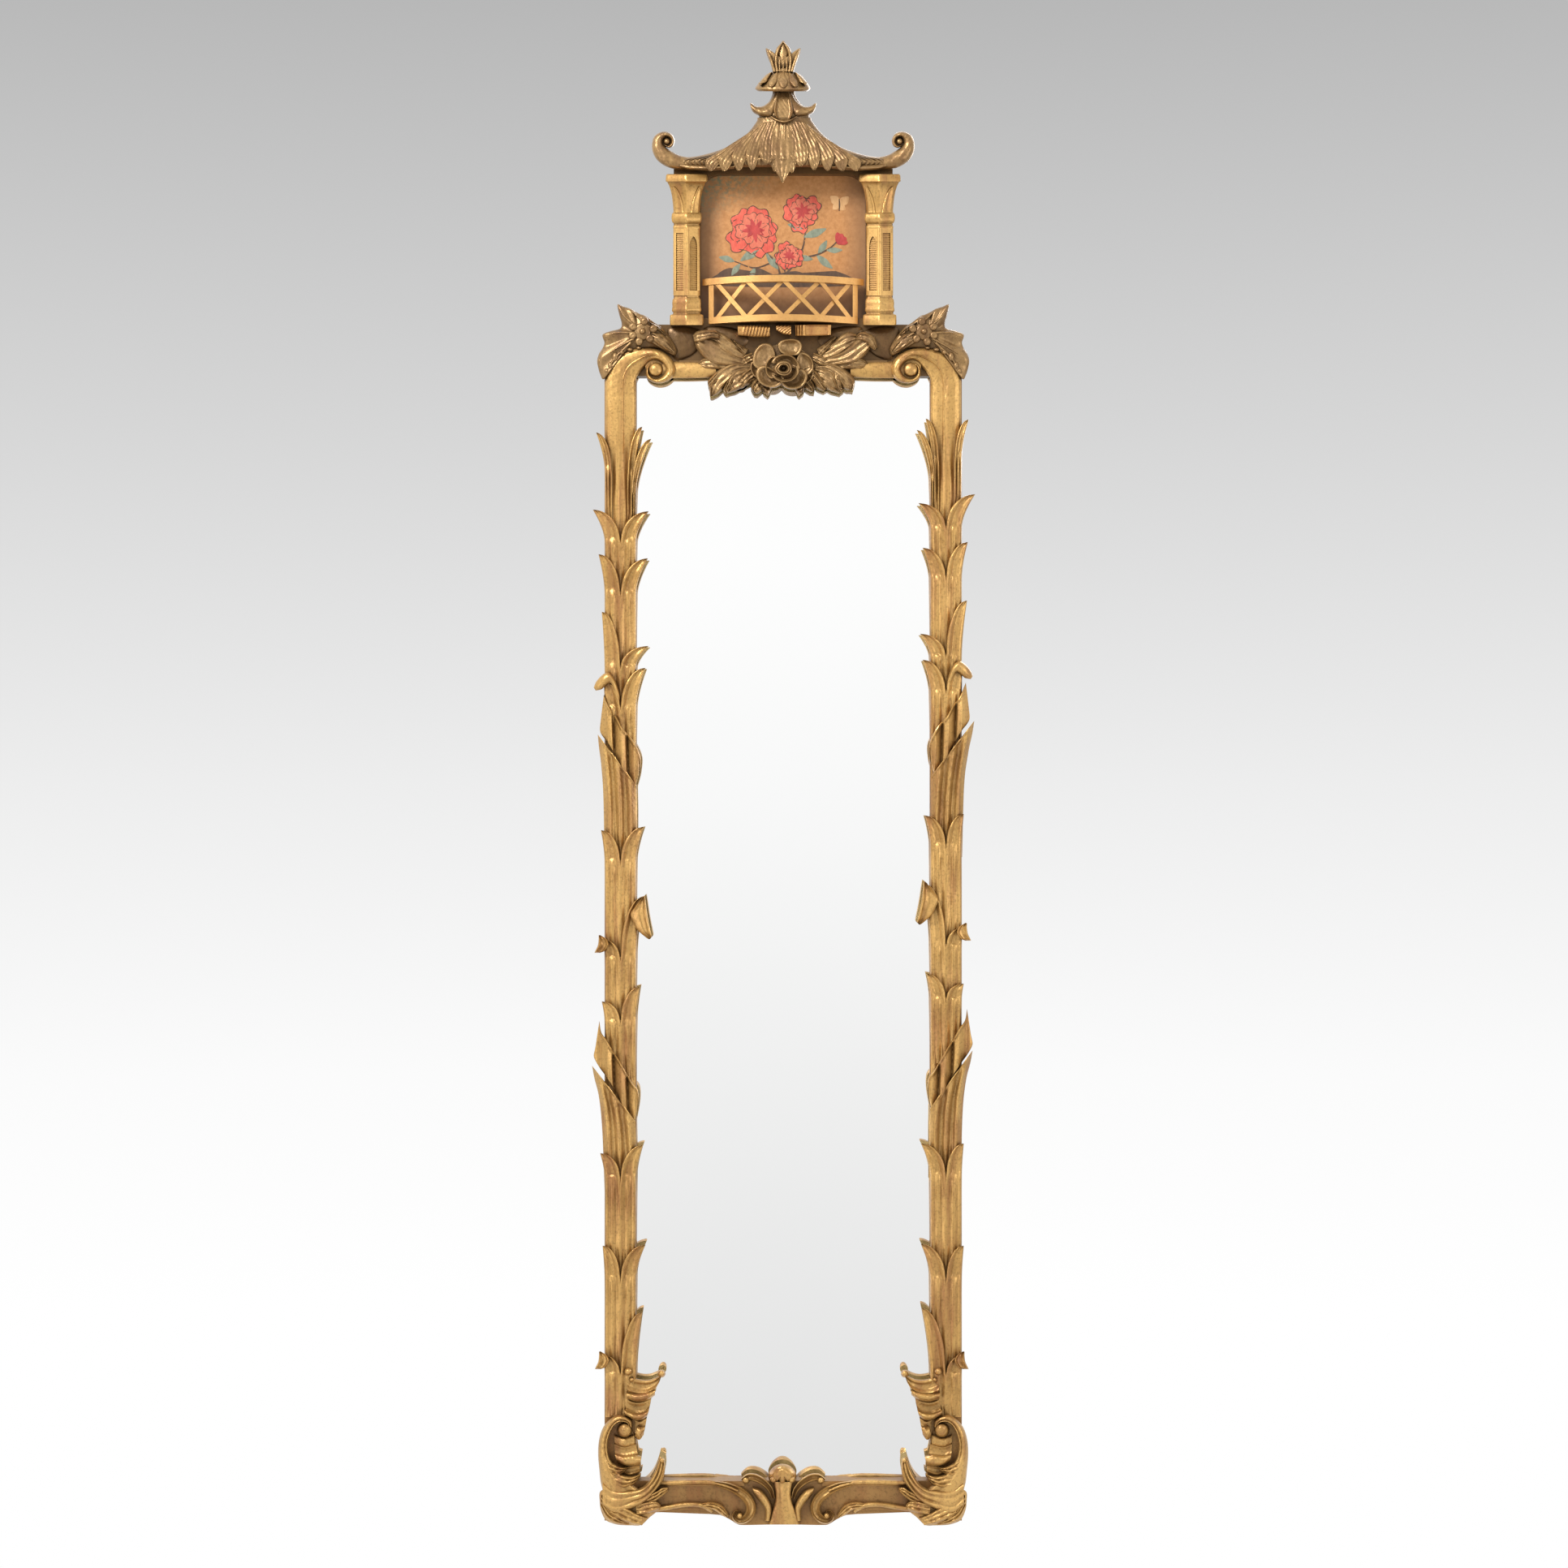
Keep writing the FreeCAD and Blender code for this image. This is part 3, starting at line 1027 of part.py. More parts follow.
def both(name, shape):
    """A left carving and its mirror image."""
    carve(f"left_{name}", shape)
    carve(f"right_{name}", mirrored(shape))


# Corner scrolls: the stem's band bends over and rolls into a volute round an eye
CORNER_BAND_PX = (((746, 489), (782, 489)), ((746, 470), (782.5, 472)), ((750, 451), (785, 464)),
                  ((761, 437), (789, 458)), ((777, 430), (794, 452)), ((795, 428.5), (800, 445.5)),
                  ((812, 431), (807, 443.5)), ((825, 439), (815, 447)), ((832.5, 452), (819, 454.5)),
                  ((829.5, 464), (816.5, 461)), ((820, 470.5), (811, 465.5)), ((808, 471), (805.5, 465.5)),
                  ((800.5, 467.5), (801.5, 463.5)))
CORNER_BAND_SHARES = (0.65, 0.7, 0.75, 0.8, 0.85, 0.9, 0.95, 1.0, 1.0, 1.0, 0.95, 0.85, 0.7)
CORNER_DISC_PX = (808.5, 451.0)
CORNER_DISC_RADIUS_PX = 18.5
CORNER_DISC_SHARE = 0.45
CORNER_EYE_PX = (806.6, 455.5)
CORNER_EYE_RADIUS_PX = 7.5
corner_band = relief(CORNER_BAND_PX, scaled(size.corner_scroll_relief, CORNER_BAND_SHARES), BAND_SHARES)
corner_disc = button(CORNER_DISC_PX, CORNER_DISC_RADIUS_PX, size.corner_scroll_relief * CORNER_DISC_SHARE)
corner_eye = button(CORNER_EYE_PX, CORNER_EYE_RADIUS_PX, size.corner_scroll_relief)
both("corner_scroll", join([corner_band, corner_disc, corner_eye]))

# Corner leaves: pointed lobes fanned round the outside of the scroll, with a beaded flower
CORNER_EDGE_PX = ((745, 500), (745, 470), (749, 450), (760.3, 436), (776.6, 429), (795, 427.4), (812.6, 430),
                  (826, 438.2), (834, 452), (834, 500))
CORNER_LOBES_PX = (
    (((772, 432), (800, 425)), ((763, 405), (787, 400)), ((760.5, 390), (777, 386)), ((761, 376), (762.5, 375.5))),
    (((785, 405), (790, 436)), ((758, 408), (764, 432)), ((748, 410), (752, 422)), ((741.5, 412), (742.5, 415))),
    (((780, 415), (772, 446)), ((752, 424), (750, 448)), ((741, 435), (742, 450)), ((735.5, 443), (736, 446))),
    (((752, 425), (741, 432)), ((749, 438), (738, 445)), ((746, 452), (739.5, 456)), ((744, 466), (742.5, 467))),
    (((790, 400), (786, 432)), ((808, 402), (806, 432)), ((823, 418), (820, 436)), ((833, 433), (832, 437))),
    (((785, 402), (788, 418)), ((801, 396), (806, 414)), ((816.5, 403), (816, 407))))
LOBE_CROWN_SHARES = (1.0, 0.95, 0.75, 0.45)
FLOWER_PX = (792.0, 407.0)
FLOWER_RING_PX = 10.2
FLOWER_BEAD_PX = 4.9
FLOWER_EYE_PX = 5.6
FLOWER_SEAT_PX = 16.5
FLOWER_GROUND_PX = 19.0
FLOWER_RING_SHARE = 0.6
FLOWER_BEAD_SHARE = 0.8
FLOWER_BEADS = 8


def circle(centre, radius_px):
    """Drawn outline of a round seat."""
    turns = [math.pi * step / BUTTON_SIDES for step in range(2 * BUTTON_SIDES)]
    return [(centre[0] + radius_px * math.cos(turn), centre[1] + radius_px * math.sin(turn)) for turn in turns]


leaf_ground = ground + size.corner_ground
flower_seat = block(circle(FLOWER_PX, FLOWER_SEAT_PX), leaf_ground, leaf_ground + size.flower_relief)
flower_ground = block(circle(FLOWER_PX, FLOWER_GROUND_PX), ground, leaf_ground)
lobe_crowns = scaled(size.corner_leaf_relief, LOBE_CROWN_SHARES)
lobes = [relief(lobe, lobe_crowns, VEIN_SHARES) for lobe in CORNER_LOBES_PX]
corner_leaves = join(lobes + [flower_ground]).cut(prism(CORNER_EDGE_PX)).cut(flower_seat)
both("corner_leaves", corner_leaves.removeSplitter())
petals = [button(FLOWER_PX, FLOWER_RING_PX, size.flower_relief * FLOWER_RING_SHARE, size.corner_ground),
          button(FLOWER_PX, FLOWER_EYE_PX, size.flower_relief, size.corner_ground)]
for step in range(FLOWER_BEADS):
    turn = 2 * math.pi * step / FLOWER_BEADS
    centre = (FLOWER_PX[0] + FLOWER_RING_PX * math.cos(turn), FLOWER_PX[1] + FLOWER_RING_PX * math.sin(turn))
    petals.append(button(centre, FLOWER_BEAD_PX, size.flower_relief * FLOWER_BEAD_SHARE, size.corner_ground))
both("corner_flower", join(petals))

# Rose: two rings of petals round a bud
ROSE_PX = (965.0, 450.0)
ROSE_TALL_SHARE = 0.84
ROSE_BUD_PX = 9.0
PETAL_SHARES = ((0.0, 0.5), (0.45, 1.0), (0.8, 0.92), (1.0, 0.45))


def petal(turn, near, far, half, crown_shares):
    stations = []
    for reach_share, half_share in PETAL_SHARES:
        reach = near + (far - near) * reach_share
        ends = []
        for way in (-1, 1):
            u = reach * math.cos(turn) - way * half * half_share * math.sin(turn)
            v = reach * math.sin(turn) + way * half * half_share * math.cos(turn)
            ends.append((ROSE_PX[0] + u, ROSE_PX[1] + v * ROSE_TALL_SHARE))
        stations.append(ends)
    return relief(stations, scaled(size.rose_relief, crown_shares), ROUND_SHARES)


# Count, first turn as a share of the step, near and far reach, half width and crown shares
OUTER_PETALS = (6, 0.5, 4, 37, 17, (0.62, 0.6, 0.5, 0.3))
INNER_PETALS = (5, 0.25, 3, 22, 12, (0.95, 0.92, 0.84, 0.7))
rose = [button(ROSE_PX, ROSE_BUD_PX, size.rose_relief)]
for count, first, near, far, half, crown_shares in (OUTER_PETALS, INNER_PETALS):
    rose += [petal(2 * math.pi * (n + first) / count, near, far, half, crown_shares) for n in range(count)]
carve("rose", join(rose))

# Rose leaves: one long leaf that rolls up, one that hangs over the glass and two short ones
ROSE_REACH_PX = (38.5, 33.0)
ROSE_EDGE_PX = [(ROSE_PX[0] + ROSE_REACH_PX[0] * math.cos(math.pi * n / 12),
                 ROSE_PX[1] + ROSE_REACH_PX[1] * math.sin(math.pi * n / 12)) for n in range(24)]
SPRAY_PX = (
    (((940, 436), (936, 464)), ((908, 420), (905, 454)), ((885, 409), (880, 441)), ((866, 407), (862, 428)),
     ((854, 414), (855, 417.5))),
    (((940, 448), (942, 472)), ((905, 452), (910, 476)), ((889, 463), (895, 483)), ((880, 476), (884, 487)),
     ((875.3, 487), (877, 488.7))),
    (((935, 455), (945, 470)), ((916, 462), (925, 474)), ((908, 469), (914, 477)), ((904, 475.5), (907, 478)),
     ((903, 477), (904.5, 478.5))),
    (((935, 462), (955, 470)), ((930, 470), (944, 478)), ((928, 476), (937, 482)), ((927, 481), (931, 484)),
     ((926.5, 483), (928, 484.5))))
SPRAY_CROWN_SHARES = (0.85, 1.0, 0.95, 0.8, 0.45)
spray = [relief(leaf, scaled(size.spray_relief, SPRAY_CROWN_SHARES), VEIN_SHARES) for leaf in SPRAY_PX]
both("rose_leaves", join(spray).cut(prism(ROSE_EDGE_PX)))

# Foot scrolls: a C scroll that rolls in at the top and runs down to the corner
FOOT_BAND_PX = (((783, 1764), (775, 1761)), ((780, 1751), (772, 1757)), ((768, 1744), (766, 1754.5)),
                ((756, 1744.5), (760, 1757)), ((746, 1752), (754, 1764)), ((739, 1767), (750, 1774)),
                ((736.5, 1785), (749, 1786)), ((737, 1804), (752, 1799)), ((738.5, 1824), (759, 1812)),
                ((740, 1846), (768, 1822)), ((747, 1871), (776, 1830)))
FOOT_BAND_SHARES = (0.75, 0.85, 0.9, 0.95, 1.0, 1.0, 1.0, 1.0, 0.95, 0.9, 0.75)
FOOT_EYE_PX = (771.5, 1763.5)
FOOT_EYE_RADIUS_PX = 5.5
FOOT_GROUND_SHARES = (0.5, 0.5, 0.5, 0.5)
FOOT_GROUND_PX = (((756, 1752), (783, 1752)), ((748, 1775), (783, 1775)), ((749, 1800), (783, 1800)),
                  ((757, 1815), (783, 1815)))
foot_band = relief(FOOT_BAND_PX, scaled(size.foot_scroll_relief, FOOT_BAND_SHARES), ROUND_SHARES)
foot_ground = relief(FOOT_GROUND_PX, scaled(size.foot_scroll_relief, FOOT_GROUND_SHARES), RIDGE_SHARES)
both("foot_scroll", join([foot_band, foot_ground, button(FOOT_EYE_PX, FOOT_EYE_RADIUS_PX, size.foot_scroll_relief)]))

# Foot leaves: lobes that spread from the corner over the rail, and a blade that points into the glass
FOOT_LEAVES_PX = (
    (((786, 1806), (790, 1832)), ((796, 1800), (803, 1822)), ((808, 1796), (814, 1810)), ((818, 1793.5), (819, 1797))),
    (((780, 1828), (772, 1868)), ((792, 1822), (790, 1872)), ((806, 1826), (806, 1866)), ((821, 1836), (820.5, 1842))),
    (((784, 1840), (758, 1858)), ((790, 1856), (760, 1871)), ((792, 1868), (770, 1877)), ((789, 1877), (784, 1879))))
FOOT_EDGE_PX = ((736, 1740), (784, 1740), (784.5, 1815), (769, 1822.6), (776.8, 1830.6), (747.6, 1871.6), (730, 1871))
foot_crowns = scaled(size.foot_leaf_relief, LOBE_CROWN_SHARES)
foot_leaves = [relief(leaf, foot_crowns, VEIN_SHARES) for leaf in FOOT_LEAVES_PX]
both("foot_leaves", join(foot_leaves).cut(prism(FOOT_EDGE_PX)))

# Shell stack: ridged rocaille tiers beside the trunk's foot
SHELL_TIERS_PX = (
    (((773, 1688), (781, 1688)), ((771, 1694), (817, 1691)), ((773, 1708), (812, 1704)), ((775, 1716), (806, 1716))),
    (((775, 1710), (806, 1710)), ((771.5, 1718), (809, 1714)), ((773, 1728), (805, 1726)), ((776, 1734), (800, 1734))),
    (((776, 1730), (800, 1730)), ((771.5, 1736), (804, 1732)), ((774, 1741), (800, 1744)), ((784, 1752), (797, 1750))),
    (((784.6, 1746), (797, 1746)), ((784.6, 1754), (797, 1752)), ((784.6, 1762), (795, 1762)), ((785, 1773), (792, 1771))))
SHELL_CROWN_SHARES = (0.6, 1.0, 0.85, 0.55)
SHELL_STEP_SHARE = 0.12
shells = [relief(tier, scaled(size.shell_relief * (1 - SHELL_STEP_SHARE * n), SHELL_CROWN_SHARES), ROUND_SHARES)
          for n, tier in enumerate(SHELL_TIERS_PX)]
SHELL_EDGE_CUT_PX = ((760, 1743.5), (784.2, 1743.5), (784.2, 1780), (760, 1780))
both("shell_stack", join(shells).cut(prism(SHELL_EDGE_CUT_PX)))

# Cartouche: a cabochon over a waisted stem at the middle of the bottom rail, between two scrolls
CARTOUCHE_PX = (((961, 1797), (967, 1797)), ((950, 1801), (978, 1801)), ((944, 1813), (983, 1813)),
                ((949, 1827), (979, 1827)), ((953, 1844), (977, 1844)), ((949, 1862), (982, 1862)),
                ((946, 1878.5), (986, 1878.5)))
CARTOUCHE_CROWN_SHARES = (0.5, 0.85, 1.0, 0.9, 0.75, 0.8, 0.6)
carve("bottom_cartouche", relief(CARTOUCHE_PX, scaled(size.cartouche_relief, CARTOUCHE_CROWN_SHARES), ROUND_SHARES))
CARTOUCHE_SCROLL_PX = (((939, 1808), (941, 1813)), ((926, 1806), (934, 1817)), ((921, 1818), (936, 1824)),
                       ((924, 1834), (937, 1832)), ((925, 1848), (938, 1848)), ((918, 1856), (937, 1862)),
                       ((909, 1861), (932, 1873)), ((906, 1870), (916, 1878.5)))
CARTOUCHE_SCROLL_SHARES = (0.6, 0.9, 0.9, 0.8, 0.85, 0.95, 1.0, 0.7)
CARTOUCHE_EYE_PX = (914.0, 1868.0)
CARTOUCHE_EYE_RADIUS_PX = 8.5
cartouche_crowns = scaled(size.cartouche_scroll_relief, CARTOUCHE_SCROLL_SHARES)
cartouche_band = relief(CARTOUCHE_SCROLL_PX, cartouche_crowns, ROUND_SHARES)
cartouche_eye = button(CARTOUCHE_EYE_PX, CARTOUCHE_EYE_RADIUS_PX, size.cartouche_scroll_relief)
both("cartouche_scroll", join([cartouche_band, cartouche_eye]))


def check():
    doc.recompute()
    for item in doc.Objects:
        if "Invalid" in item.State or "Error" in item.State:
            raise RuntimeError(f"{item.Label} failed: {item.State}")
    for piece in subparts:
        if piece.Shape.isNull() or not piece.Shape.isValid() or not piece.Shape.Solids:
            raise RuntimeError(f"{piece.Label} has no valid solid")


check()
os.makedirs("parts", exist_ok=True)
for piece in subparts:
    piece.Shape.exportStep(f"parts/{piece.Label}.step")
    print(piece.Label, len(piece.Shape.Solids), "solids", round(piece.Shape.Volume / 1000, 2), "cm3")
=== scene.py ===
import json
import math

import bmesh
import bpy
import numpy as np
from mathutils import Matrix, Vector


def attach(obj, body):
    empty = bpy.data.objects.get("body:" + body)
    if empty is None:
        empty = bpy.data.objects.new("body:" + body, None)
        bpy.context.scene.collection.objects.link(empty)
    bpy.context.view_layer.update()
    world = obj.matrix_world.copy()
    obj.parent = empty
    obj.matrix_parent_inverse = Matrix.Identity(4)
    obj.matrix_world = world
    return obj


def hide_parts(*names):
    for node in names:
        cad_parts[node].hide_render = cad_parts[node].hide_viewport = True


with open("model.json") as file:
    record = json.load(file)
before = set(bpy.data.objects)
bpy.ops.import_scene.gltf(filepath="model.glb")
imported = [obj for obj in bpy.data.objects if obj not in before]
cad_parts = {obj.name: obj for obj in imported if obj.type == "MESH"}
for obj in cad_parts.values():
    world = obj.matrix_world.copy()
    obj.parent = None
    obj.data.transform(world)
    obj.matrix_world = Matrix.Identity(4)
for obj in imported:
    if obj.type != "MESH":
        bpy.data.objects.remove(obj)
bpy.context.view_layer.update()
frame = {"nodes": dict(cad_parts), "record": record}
nodes = frame["nodes"]

# Drawing of the front: columns and rows in pixels of the photograph, heights in millimetres over the boards
AXIS_PX = 965.0
SILL_PX = 1824.4
METRES_PER_PX = 0.00087475
SILL = 0.0165
GROUND = -0.024
PHOTO_PX = 1932
CAMERA_REACH = 3.0
CAMERA_X = (PHOTO_PX / 2 - AXIS_PX) * METRES_PER_PX
CAMERA_Z = SILL + (SILL_PX - PHOTO_PX / 2) * METRES_PER_PX
MM = 0.001
EIGHTH_TURN = 0.785
SHARP_DEGREES = 62


def place(u, v, height):
    """Points that the camera sees at a drawn column and row, at a height in millimetres over the boards."""
    depth = np.asarray(height, float) * MM
    near = (CAMERA_REACH - depth) / CAMERA_REACH
    x = CAMERA_X + ((np.asarray(u, float) - AXIS_PX) * METRES_PER_PX - CAMERA_X) * near
    z = CAMERA_Z + (SILL + (SILL_PX - np.asarray(v, float)) * METRES_PER_PX - CAMERA_Z) * near
    x, y, z = np.broadcast_arrays(x, GROUND - depth, z)
    return np.stack([x, y, z], -1)


def spline(points, count):
    """Smooth curve through the points, sampled evenly by their order."""
    points = np.asarray(points, float)
    if len(points) == 2:
        share = np.linspace(0, 1, count)[:, None]
        return points[0] * (1 - share) + points[1] * share
    padded = np.vstack([2 * points[0] - points[1], points, 2 * points[-1] - points[-2]])
    at = np.linspace(0, len(points) - 1, count)
    start = np.minimum(at.astype(int), len(points) - 2)
    t = (at - start)[:, None]
    a, b, c, d = (padded[start + k] for k in range(4))
    square = 2 * a - 5 * b + 4 * c - d
    cube = 3 * b - a - 3 * c + d
    return 0.5 * (2 * b + (c - a) * t + square * t ** 2 + cube * t ** 3)


def levels(values, count):
    """One number, or numbers spread evenly along a piece."""
    if np.ndim(values) == 0:
        return np.full(count, float(values))
    return np.interp(np.linspace(0, 1, count), np.linspace(0, 1, len(values)), values)


def smooth(low, high, x):
    t = np.clip((x - low) / (high - low), 0, 1)
    return t * t * (3 - 2 * t)


def quads(start, rows, ring):
    """Faces between rows of points, where each row is a closed ring."""
    faces = []
    for row in range(rows):
        for k in range(ring):
            a = start + row * ring + k
            b = start + row * ring + (k + 1) % ring
            faces.append((a, b, b + ring, a + ring))
    return faces


def skin(front, rear_left, rear_right):
    """Closed mesh: a carved front, rows of points from left to right, over a back edge on each side."""
    rows, columns = front.shape[:2]
    ring = columns + 2
    points = np.concatenate([front, rear_right[:, None], rear_left[:, None]], 1).reshape(-1, 3)
    faces = quads(0, rows - 1, ring)
    faces.append(tuple(range(ring))[::-1])
    faces.append(tuple((rows - 1) * ring + k for k in range(ring)))
    return points, faces


def waver(u, v):
    """Slight unevenness of hand carving, in millimetres."""
    return 0.35 * np.sin(0.55 * u + 0.21 * v) * np.cos(0.37 * v - 0.18 * u) + 0.2 * np.sin(1.3 * u - 0.9 * v)


def polyline(points, count):
    """The points themselves, for a piece with straight runs."""
    return np.asarray(points, float)


def sheet(stations, height, back=0.0, along=40, across=14, curve=spline):
    """Carving between two drawn edges: stations are (u, v, u, v), and height gives millimetres."""
    edges = curve(stations, along)
    s, t = np.meshgrid(np.linspace(0, 1, across), np.linspace(0, 1, along))
    u = edges[:, 0:1] + (edges[:, 2:3] - edges[:, 0:1]) * s
    v = edges[:, 1:2] + (edges[:, 3:4] - edges[:, 1:2]) * s
    back = levels(back, along)
    return skin(place(u, v, np.maximum(height(u, v, s, t), back[:, None] + 0.1)),
                place(edges[:, 0], edges[:, 1], back), place(edges[:, 2], edges[:, 3], back))


def strip(stations, crown, profile, back=0.0, along=40, across=14):
    """Carving between two drawn edges, whose profile gives shares of its height across and along."""
    top = levels(crown, along)[:, None]
    low = levels(back, along)[:, None]

    def height(u, v, s, t):
        share = profile(s, t)
        return low + (top - low) * share + waver(u, v) * np.clip(share - 0.4, 0, 0.6)

    return sheet(stations, height, back, along, across)


def fan(outline, centre, rises, back=0.0, dip=0.0, rings=12, around=64):
    """Carving round a centre: its outline's points carry a share, 1 at a tip and 0 in a notch that dips."""
    outline = np.asarray(outline, float)
    steps = 24
    closed = np.vstack([outline[-1], outline, outline[:2]])
    edge = spline(closed, (len(outline) + 2) * steps + 1)[steps:-steps - 1]
    edge = edge[np.linspace(0, len(edge), around, endpoint=False).astype(int)]
    share = np.clip(edge[:, 2], 0, 1)
    radii, heights = zip(*rises)
    points = [place([centre[0]], [centre[1]], [heights[0]])]
    for ring in range(1, rings + 1):
        reach = ring / rings
        u = centre[0] + (edge[:, 0] - centre[0]) * reach
        v = centre[1] + (edge[:, 1] - centre[1]) * reach
        rise = np.interp(reach, radii, heights) - back
        height = back + rise * (1 - dip * (1 - share) * smooth(0.15, 0.9, reach))
        points.append(place(u, v, height + 0.5 * waver(u, v) * (1 - reach)))
    points.append(place(edge[:, 0], edge[:, 1], np.full(around, back)))
    faces = [(0, 1 + k, 1 + (k + 1) % around) for k in range(around)] + quads(1, rings, around)
    faces.append(tuple(1 + rings * around + k for k in range(around)))
    return np.concatenate(points), faces


def even(outline):
    """Outline for a fan without notches."""
    return [(u, v, 1) for u, v in outline]


def oval(u, v, wide, high, count=8, step=EIGHTH_TURN):
    """Oval outline for a fan."""
    return [(u + wide * math.cos(k * step), v + high * math.sin(k * step), 1) for k in range(count)]


def turned(shape, u, v, turn, length, width):
    """Outline of a unit shape that is scaled, turned and set at a drawn point."""
    return [(u + length * a * math.cos(turn) - width * b * math.sin(turn),
             v + length * a * math.sin(turn) + width * b * math.cos(turn)) for a, b in shape]


def cord_strip(path, width, crown, profile, back=0.0, along=48, across=10):
    """Moulding of a given width along a drawn line."""
    line = spline(path, along)
    ahead = np.gradient(line, axis=0)
    ahead /= np.linalg.norm(ahead, axis=1)[:, None]
    side = np.stack([ahead[:, 1], -ahead[:, 0]], 1) * (levels(width, along)[:, None] / 2)
    stations = np.concatenate([line + side, line - side], 1)
    return strip(stations, crown, profile, back, along, across)


def knob(u, v, radius, height, foot=0.0, squash=1.0, rings=7, sides=20):
    """Carved bead: a dome on a foot height, with an oval outline if squashed."""
    turn = np.linspace(0, 2 * math.pi, sides, endpoint=False)
    points = []
    for ring in range(rings):
        lift = ring / rings
        reach = radius * math.sqrt(1 - lift ** 2.4)
        level = foot + (height - foot) * lift
        points.append(place(u + reach * np.cos(turn), v + reach * squash * np.sin(turn), level))
    points.append(place([u], [v], [height]))
    points = np.concatenate(points)
    faces = [tuple(range(sides))] + quads(0, rings - 1, sides)
    last = (rings - 1) * sides
    for k in range(sides):
        faces.append((last + k, last + (k + 1) % sides, rings * sides))
    return points, faces


def mirrored(parts):
    """Parts for the other side of the mirror's axis."""
    flipped = []
    for points, faces in parts:
        points = points.copy()
        points[:, 0] = -points[:, 0]
        flipped.append((points, faces))
    return flipped


def twin(stations):
    """Drawn stations mirrored to the other side."""
    return [tuple(2 * AXIS_PX - x if k % 2 == 0 else x for k, x in enumerate(station))
            for station in stations]


def moved(stations, du, dv):
    return [tuple(x + (du if k % 2 == 0 else dv) for k, x in enumerate(station)) for station in stations]


def put(name, data):
    """New object in the scene."""
    made = bpy.data.objects.new(name, data)
    bpy.context.scene.collection.objects.link(made)
    return made


def mesh_object(name, parts):
    points = []
    faces = []
    for part_points, part_faces in parts:
        start = sum(len(p) for p in points)
        points.append(part_points)
        faces += [tuple(start + k for k in face) for face in part_faces]
    mesh = bpy.data.meshes.new(name)
    mesh.from_pydata(np.concatenate(points).tolist(), [], faces)
    work = bmesh.new()
    work.from_mesh(mesh)
    bmesh.ops.remove_doubles(work, verts=work.verts, dist=1e-6)
    bmesh.ops.recalc_face_normals(work, faces=work.faces)
    work.to_mesh(mesh)
    work.free()
    mesh.shade_smooth()
    mesh.set_sharp_from_angle(angle=math.radians(SHARP_DEGREES))
    return put(name, mesh)


def piece(name, parts, material, slot, *stands_for):
    made = mesh_object(name, parts)
    made.data.materials.append(material)
    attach(made, "frame")
    if stands_for:
        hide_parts(*stands_for)
    return made


def both_sides(*drawn):
    """Pieces drawn on the left and mirrored to the right: name, parts, material, slot (not used), node
    replaced.
    """
    for name, sided in (("left", list), ("right", mirrored)):
        for look, parts, material, slot, *stands_for in drawn:
            piece(f"{name}_{look}", sided(parts), material, slot, *(f"{name}_{node}" for node in stands_for))


# Height profiles across a carving


def rounded(edge):
    return lambda s, t: edge + (1 - edge) * np.sqrt(np.clip(1 - (2 * s - 1) ** 2, 0, 1))


def fluted(count, depth, edge=0.55):
    """Round body with hollow flutes along it."""
    def shape(s, t):
        flutes = 0.5 + 0.5 * np.cos(2 * math.pi * count * s)
        return rounded(edge)(s, t) - depth * flutes * np.sin(math.pi * s) ** 0.3
    return shape


def band(s, t):
    """Broad outer face, a fine raised line and a lower inner face."""
    return np.interp(s, [0, 0.06, 0.2, 0.42, 0.52, 0.555, 0.585, 0.62, 0.8, 0.94, 1],
                     [0.42, 0.76, 0.95, 1.0, 0.93, 0.86, 1.0, 0.82, 0.76, 0.62, 0.4])


# Materials


def nodes_of(name):
    material = bpy.data.materials.new(name)
    material.use_nodes = True
    tree = material.node_tree
    return material, tree, tree.nodes["Principled BSDF"]


def ramp(tree, source, stops):
    node = tree.nodes.new("ShaderNodeValToRGB")
    while len(node.color_ramp.elements) < len(stops):
        node.color_ramp.elements.new(1.0)
    for element, (position, value) in zip(node.color_ramp.elements, stops):
        element.position = position
        element.color = (*value, 1.0) if np.ndim(value) else (value, value, value, 1.0)
    tree.links.new(source, node.inputs["Fac"])
    return node.outputs["Color"]


def mix(tree, factor, first, second):
    node = tree.nodes.new("ShaderNodeMix")
    node.data_type = "RGBA"
    color_a = [i for i in node.inputs if i.name == "A" and i.type == "RGBA"][0]
    color_b = [i for i in node.inputs if i.name == "B" and i.type == "RGBA"][0]
    factor_in = [i for i in node.inputs if i.name == "Factor" and i.type == "VALUE"][0]
    for socket, value in ((factor_in, factor), (color_a, first), (color_b, second)):
        if isinstance(value, bpy.types.NodeSocket):
            tree.links.new(value, socket)
        elif np.ndim(value):
            socket.default_value = (*value, 1.0)
        else:
            socket.default_value = value
    return [o for o in node.outputs if o.type == "RGBA"][0]


def two_tone(tree, source, first, second):
    """Two colours blended by a noise."""
    return mix(tree, ramp(tree, source, [(0.3, 0.0), (0.7, 1.0)]), first, second)


def coat(tree, shader, colour, rough):
    tree.links.new(colour, shader.inputs["Base Color"])
    tree.links.new(rough, shader.inputs["Roughness"])


def relief(tree, shader, height, strength, distance):
    """Grain too fine for the mesh."""
    bump = tree.nodes.new("ShaderNodeBump")
    bump.inputs["Strength"].default_value = strength
    bump.inputs["Distance"].default_value = distance
    tree.links.new(height, bump.inputs["Height"])
    tree.links.new(bump.outputs["Normal"], shader.inputs["Normal"])


